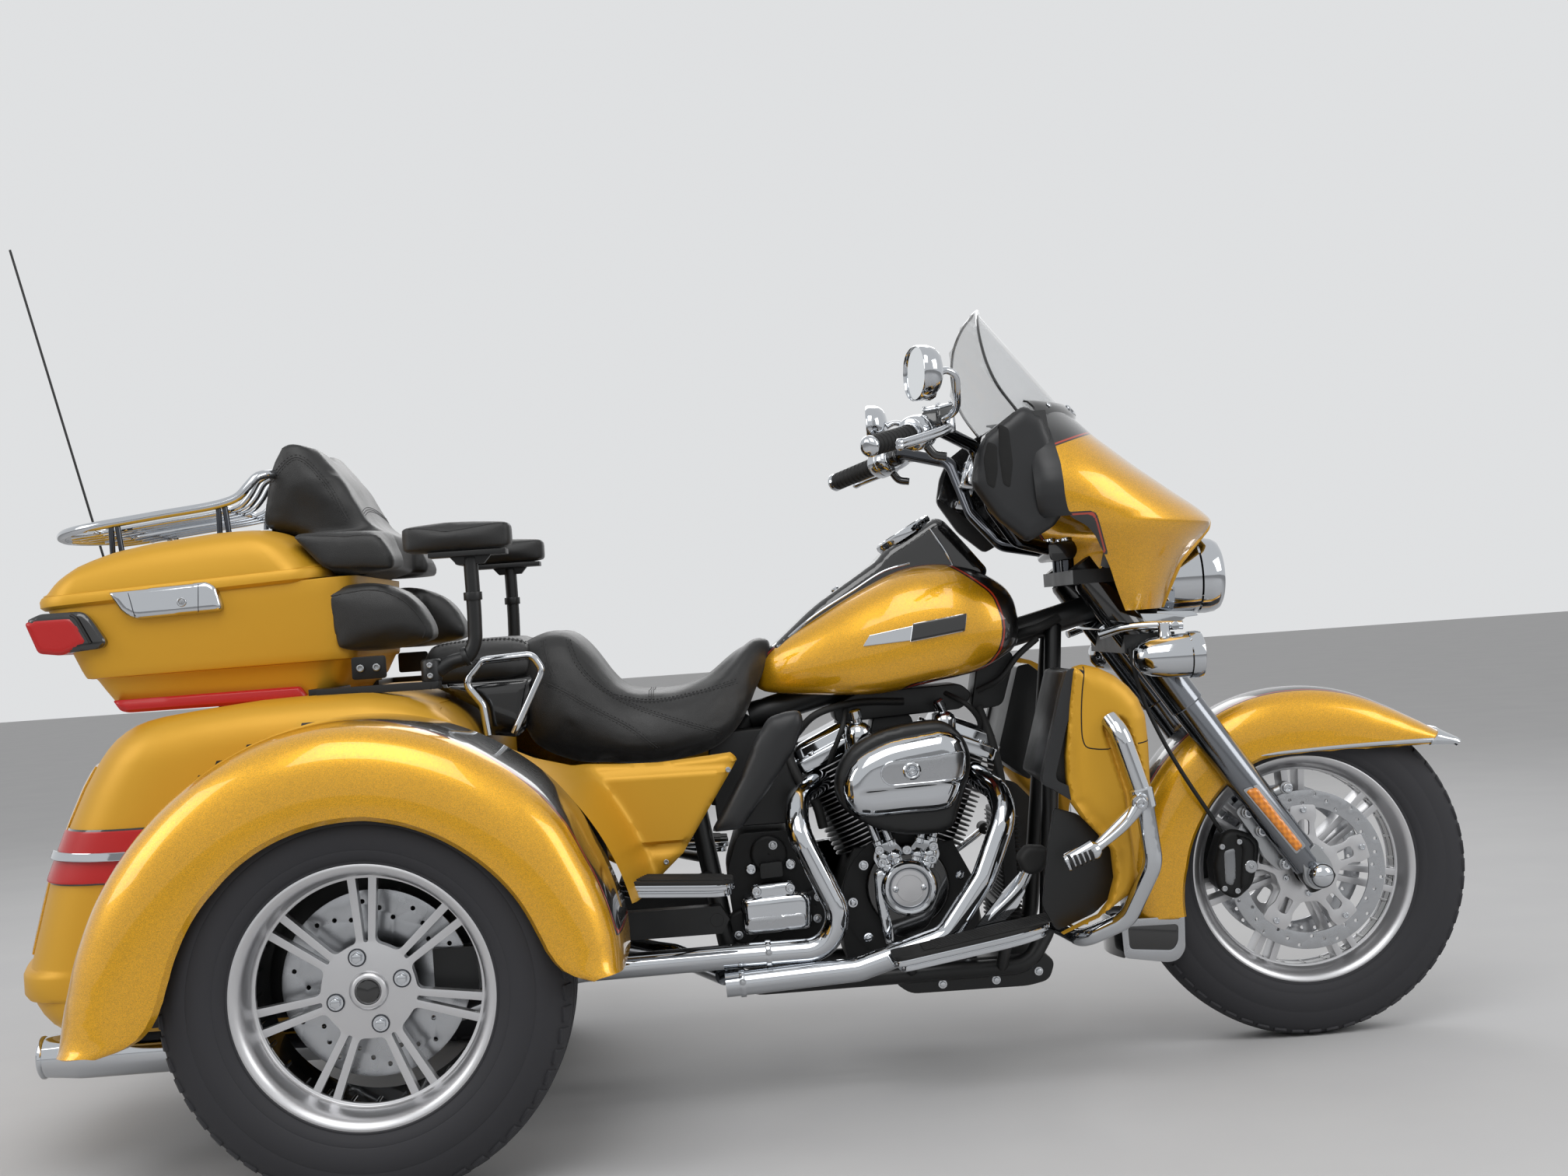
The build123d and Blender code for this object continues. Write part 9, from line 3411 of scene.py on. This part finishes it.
        rows = [row(s, d) for s, d in ((0.02, 24), (0.3, 23.2), (0.55, 20.5), (0.76, 15.5), (0.9, 8), (0.98, -2),
                                       (1.0, -12), (0.99, -18), (0.96, -20), (0.94, -18), (0.94, -14), (0.02, -13))]
        shell.grid(np.array(rows), wrap=True, caps=True)
        glass.grid(np.array([row(0.02, -15.2), row(0.5, -15.4), row(0.93, -16), row(0.93, -14.5),
                             row(0.02, -13.8)]), wrap=True, caps=True)
        stem = smooth([(972, -428, 1246), (1002, -424, 1262), (1020, -414, 1254), (1025, -390, 1228),
                       (1026, -350, 1202), (1008, -322, 1190), (976, -306, 1180)], 60)
        stems.tube(stem, 6.2, 16)
        stems.bar((976, -306, 1172), (974, -308, 1200), [(0, 10), (0.9, 10), (1, 8)], 24)
        dark.bar((966, -436, 1214), (974, -430, 1250), [(0, 8), (0.15, 15), (0.6, 17), (0.9, 13), (1, 9)], 24)
        for form in (shell, glass, stems, dark):
            form.twin()
        shell.build("mirror_shells", "steering", [CHROME], "chrome", ["mirrors"], angle=50)
        glass.build("mirror_glasses", "steering", [MIRROR], "chrome", angle=50)
        stems.build("mirror_stems", "steering", [CHROME], "chrome", angle=50)
        dark.build("mirror_knuckles", "steering", [GLOSS_BLACK], "gloss_black", angle=50)

    def _clamp(self) -> None:
        """Dark bar clamp on the risers, with its bolts."""
        form = Form().plate(rounded([(1222, 968), (1272, 972), (1280, 952), (1270, 934), (1226, 934)], 8, 4), -66, 66)
        form.build("bar_clamp", "steering", [GLOSS_BLACK], "gloss_black", bevel=3, steps=3)
        spots = [(x, y, 970) for x in (1234, 1264) for y in (-52, -28, 28, 52)]
        Repeater.at("bar_clamp_bolts", "steering", Fasteners.cap_screw(), spots, [UPWARD] * 8, CHROME, "chrome",
                    sizes=1.6, bevel=0.4)


PARTS = (RearFender(), TrunkShell(), RearWheel(RIGHT), RearWheel(LEFT), LuggageBox(), PassengerRest(), FuelTank(),
         Seats(), SideCovers(), FrontWheel(), FrontFender(), ForkLegs(), Fairing(), BrakeHose(), Engine(),
         AirCleaner(), Gearbox(), ExhaustDress(), Ancillaries(), LowerFairings(), GuardDress(), Boards(),
         HandControls(),)


# Frame nodes that show as they are


PLAIN_NODES = {
    "frame": SATIN_BLACK, "rear_axle": SATIN_BLACK, "engine_block": WRINKLE, "exhaust": CHROME, "antenna": SATIN_BLACK,
    "grab_rails": CHROME, "engine_guard": CHROME, "fork": SATIN_BLACK, "fairing_inner": GLOSS_BLACK,
    "windshield": SCREEN, "handlebar": CHROME_DARK_REFLECTION,
}


def dress_nodes(frame: dict) -> None:
    """Gives every CAD node that still shows its finish."""
    for name, node in frame["nodes"].items():
        if node.hide_render:
            continue
        node.data.materials.clear()
        node.data.materials.append(PLAIN_NODES[name].material())
        LOG.info("node %s: %s", name, PLAIN_NODES[name].name)


@dataclass(frozen=True)
class Studio:
    """The floor, the light and the camera.

    Attributes:
        camera_at: the camera's place in metres.
        camera_turn: its yaw, pitch and roll in degrees, from looking along +y.
        lens: its focal length in millimetres on a 36 mm wide sensor.
        sky: brightness of the light from all round.
    """

    LAMPS = (("key", (-0.5, -3.2, 4.2), (0.0, 0.0, 0.6), 3.2, 95.0),
             ("front", (4.2, -2.2, 2.6), (0.3, 0.0, 0.6), 2.4, 55.0),
             ("rear", (-4.4, -1.8, 2.8), (-0.5, 0.0, 0.6), 2.4, 50.0),
             ("far", (0.2, 4.2, 3.4), (0.0, 0.0, 0.7), 3.0, 60.0),)

    camera_at: tuple[float, float, float] = (-0.041, -3.628, 0.862)
    camera_turn: tuple[float, float, float] = (-2.582, -0.904, -4.002)
    lens: float = 43.66
    sky: float = 0.55

    def build(self) -> None:
        """Makes the whole stage."""
        self._camera()
        self._floor()
        self._world()
        for lamp in self.LAMPS:
            self._lamp(*lamp)

    def _camera(self) -> None:
        """The camera that the photograph was fitted with."""
        yaw, pitch, roll = (math.radians(a) for a in self.camera_turn)
        base = np.array([[1, 0, 0], [0, 0, -1], [0, 1, 0]], float)
        about_z = np.array([[math.cos(yaw), math.sin(yaw), 0], [-math.sin(yaw), math.cos(yaw), 0], [0, 0, 1]])
        about_x = np.array([[1, 0, 0], [0, math.cos(pitch), -math.sin(pitch)], [0, math.sin(pitch), math.cos(pitch)]])
        about_view = np.array([[math.cos(roll), -math.sin(roll), 0], [math.sin(roll), math.cos(roll), 0], [0, 0, 1]])
        rows = about_view @ about_x @ base @ about_z
        data = bpy.data.cameras.new("camera")
        data.sensor_width, data.lens = 36.0, self.lens
        camera = bpy.data.objects.new("camera", data)
        bpy.context.scene.collection.objects.link(camera)
        turn = Matrix((Vector(rows[0]), -Vector(rows[1]), -Vector(rows[2]))).transposed()
        camera.matrix_world = Matrix.Translation(self.camera_at) @ turn.to_4x4()
        bpy.context.scene.camera = camera

    @staticmethod
    def _floor() -> None:
        """A wide pale floor with a faint unevenness."""
        mesh = bpy.data.meshes.new("floor")
        mesh.from_pydata([(-30, -30, 0), (30, -30, 0), (30, 30, 0), (-30, 30, 0)], [], [(0, 1, 2, 3)])
        material = bpy.data.materials.new("pale_floor")
        graph = Graph(material)
        place = graph.add("ShaderNodeTexCoord").outputs["Object"]
        noise = graph.add("ShaderNodeTexNoise", {"Vector": place, "Scale": 3.0, "Detail": 4.0})
        tone = graph.mixed(noise.outputs["Fac"], (0.52, 0.52, 0.53, 1), (0.58, 0.58, 0.58, 1))
        shader = graph.add("ShaderNodeBsdfPrincipled", {"Base Color": tone, "Roughness": 0.7})
        graph.add("ShaderNodeOutputMaterial", {"Surface": shader.outputs[0]})
        mesh.materials.append(material)
        floor = bpy.data.objects.new("floor", mesh)
        bpy.context.scene.collection.objects.link(floor)
        floor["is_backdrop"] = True

    def _world(self) -> None:
        """Light from all round, paler overhead, and a pale backdrop for the camera."""
        world = bpy.data.worlds.new("studio")
        world.use_nodes = True
        nodes, links = world.node_tree.nodes, world.node_tree.links
        nodes.clear()
        place, split = nodes.new("ShaderNodeTexCoord"), nodes.new("ShaderNodeSeparateXYZ")
        ramp, lit, seen = nodes.new("ShaderNodeMapRange"), nodes.new("ShaderNodeBackground"), nodes.new(
            "ShaderNodeBackground")
        path, mix, end = nodes.new("ShaderNodeLightPath"), nodes.new("ShaderNodeMixShader"), nodes.new(
            "ShaderNodeOutputWorld")
        links.new(place.outputs["Generated"], split.inputs[0])
        links.new(split.outputs["Z"], ramp.inputs["Value"])
        for key, value in (("From Min", -0.1), ("From Max", 0.9), ("To Min", self.sky * 0.55),
                           ("To Max", self.sky * 1.25)):
            ramp.inputs[key].default_value = value
        links.new(ramp.outputs[0], lit.inputs["Strength"])
        seen.inputs["Color"].default_value = (0.74, 0.75, 0.76, 1)
        seen.inputs["Strength"].default_value = 1.0
        either, share = nodes.new("ShaderNodeMath"), nodes.new("ShaderNodeMath")
        either.operation = share.operation = "MAXIMUM"
        links.new(path.outputs["Is Camera Ray"], either.inputs[0])
        links.new(path.outputs["Is Glossy Ray"], either.inputs[1])
        links.new(either.outputs[0], share.inputs[0])
        links.new(path.outputs["Is Transmission Ray"], share.inputs[1])
        links.new(share.outputs[0], mix.inputs[0])
        links.new(lit.outputs[0], mix.inputs[1])
        links.new(seen.outputs[0], mix.inputs[2])
        links.new(mix.outputs[0], end.inputs[0])
        bpy.context.scene.world = world

    @staticmethod
    def _lamp(name: str, at: Sequence[float], aim: Sequence[float], size: float, power: float) -> None:
        """A square soft light.

        Args:
            name: the light's name.
            at: its place in metres.
            aim: the point that it shines at.
            size: its side in metres.
            power: its power in watts.
        """
        data = bpy.data.lights.new(name, "AREA")
        data.shape, data.size, data.energy = "SQUARE", size, power
        lamp = bpy.data.objects.new(name, data)
        bpy.context.scene.collection.objects.link(lamp)
        lamp.location = at
        lamp.rotation_euler = (Vector(aim) - Vector(at)).to_track_quat("-Z", "Y").to_euler()


def corners() -> list[list[float]]:
    """The shown object's lowest and highest corners."""
    return [list(corner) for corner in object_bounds()]


def main() -> None:
    """Loads the frame, builds each sub-assembly's looks in turn, dresses the CAD nodes and sets up the studio."""
    logging.basicConfig(level=logging.INFO, format="%(message)s")
    scene = bpy.context.scene
    scene.view_settings.view_transform = "Standard"
    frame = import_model()
    for part in PARTS:
        LOG.info("building %s", type(part).__name__)
        part.build()
    dress_nodes(frame)
    Studio().build()


if __name__ == "__main__":
    main()
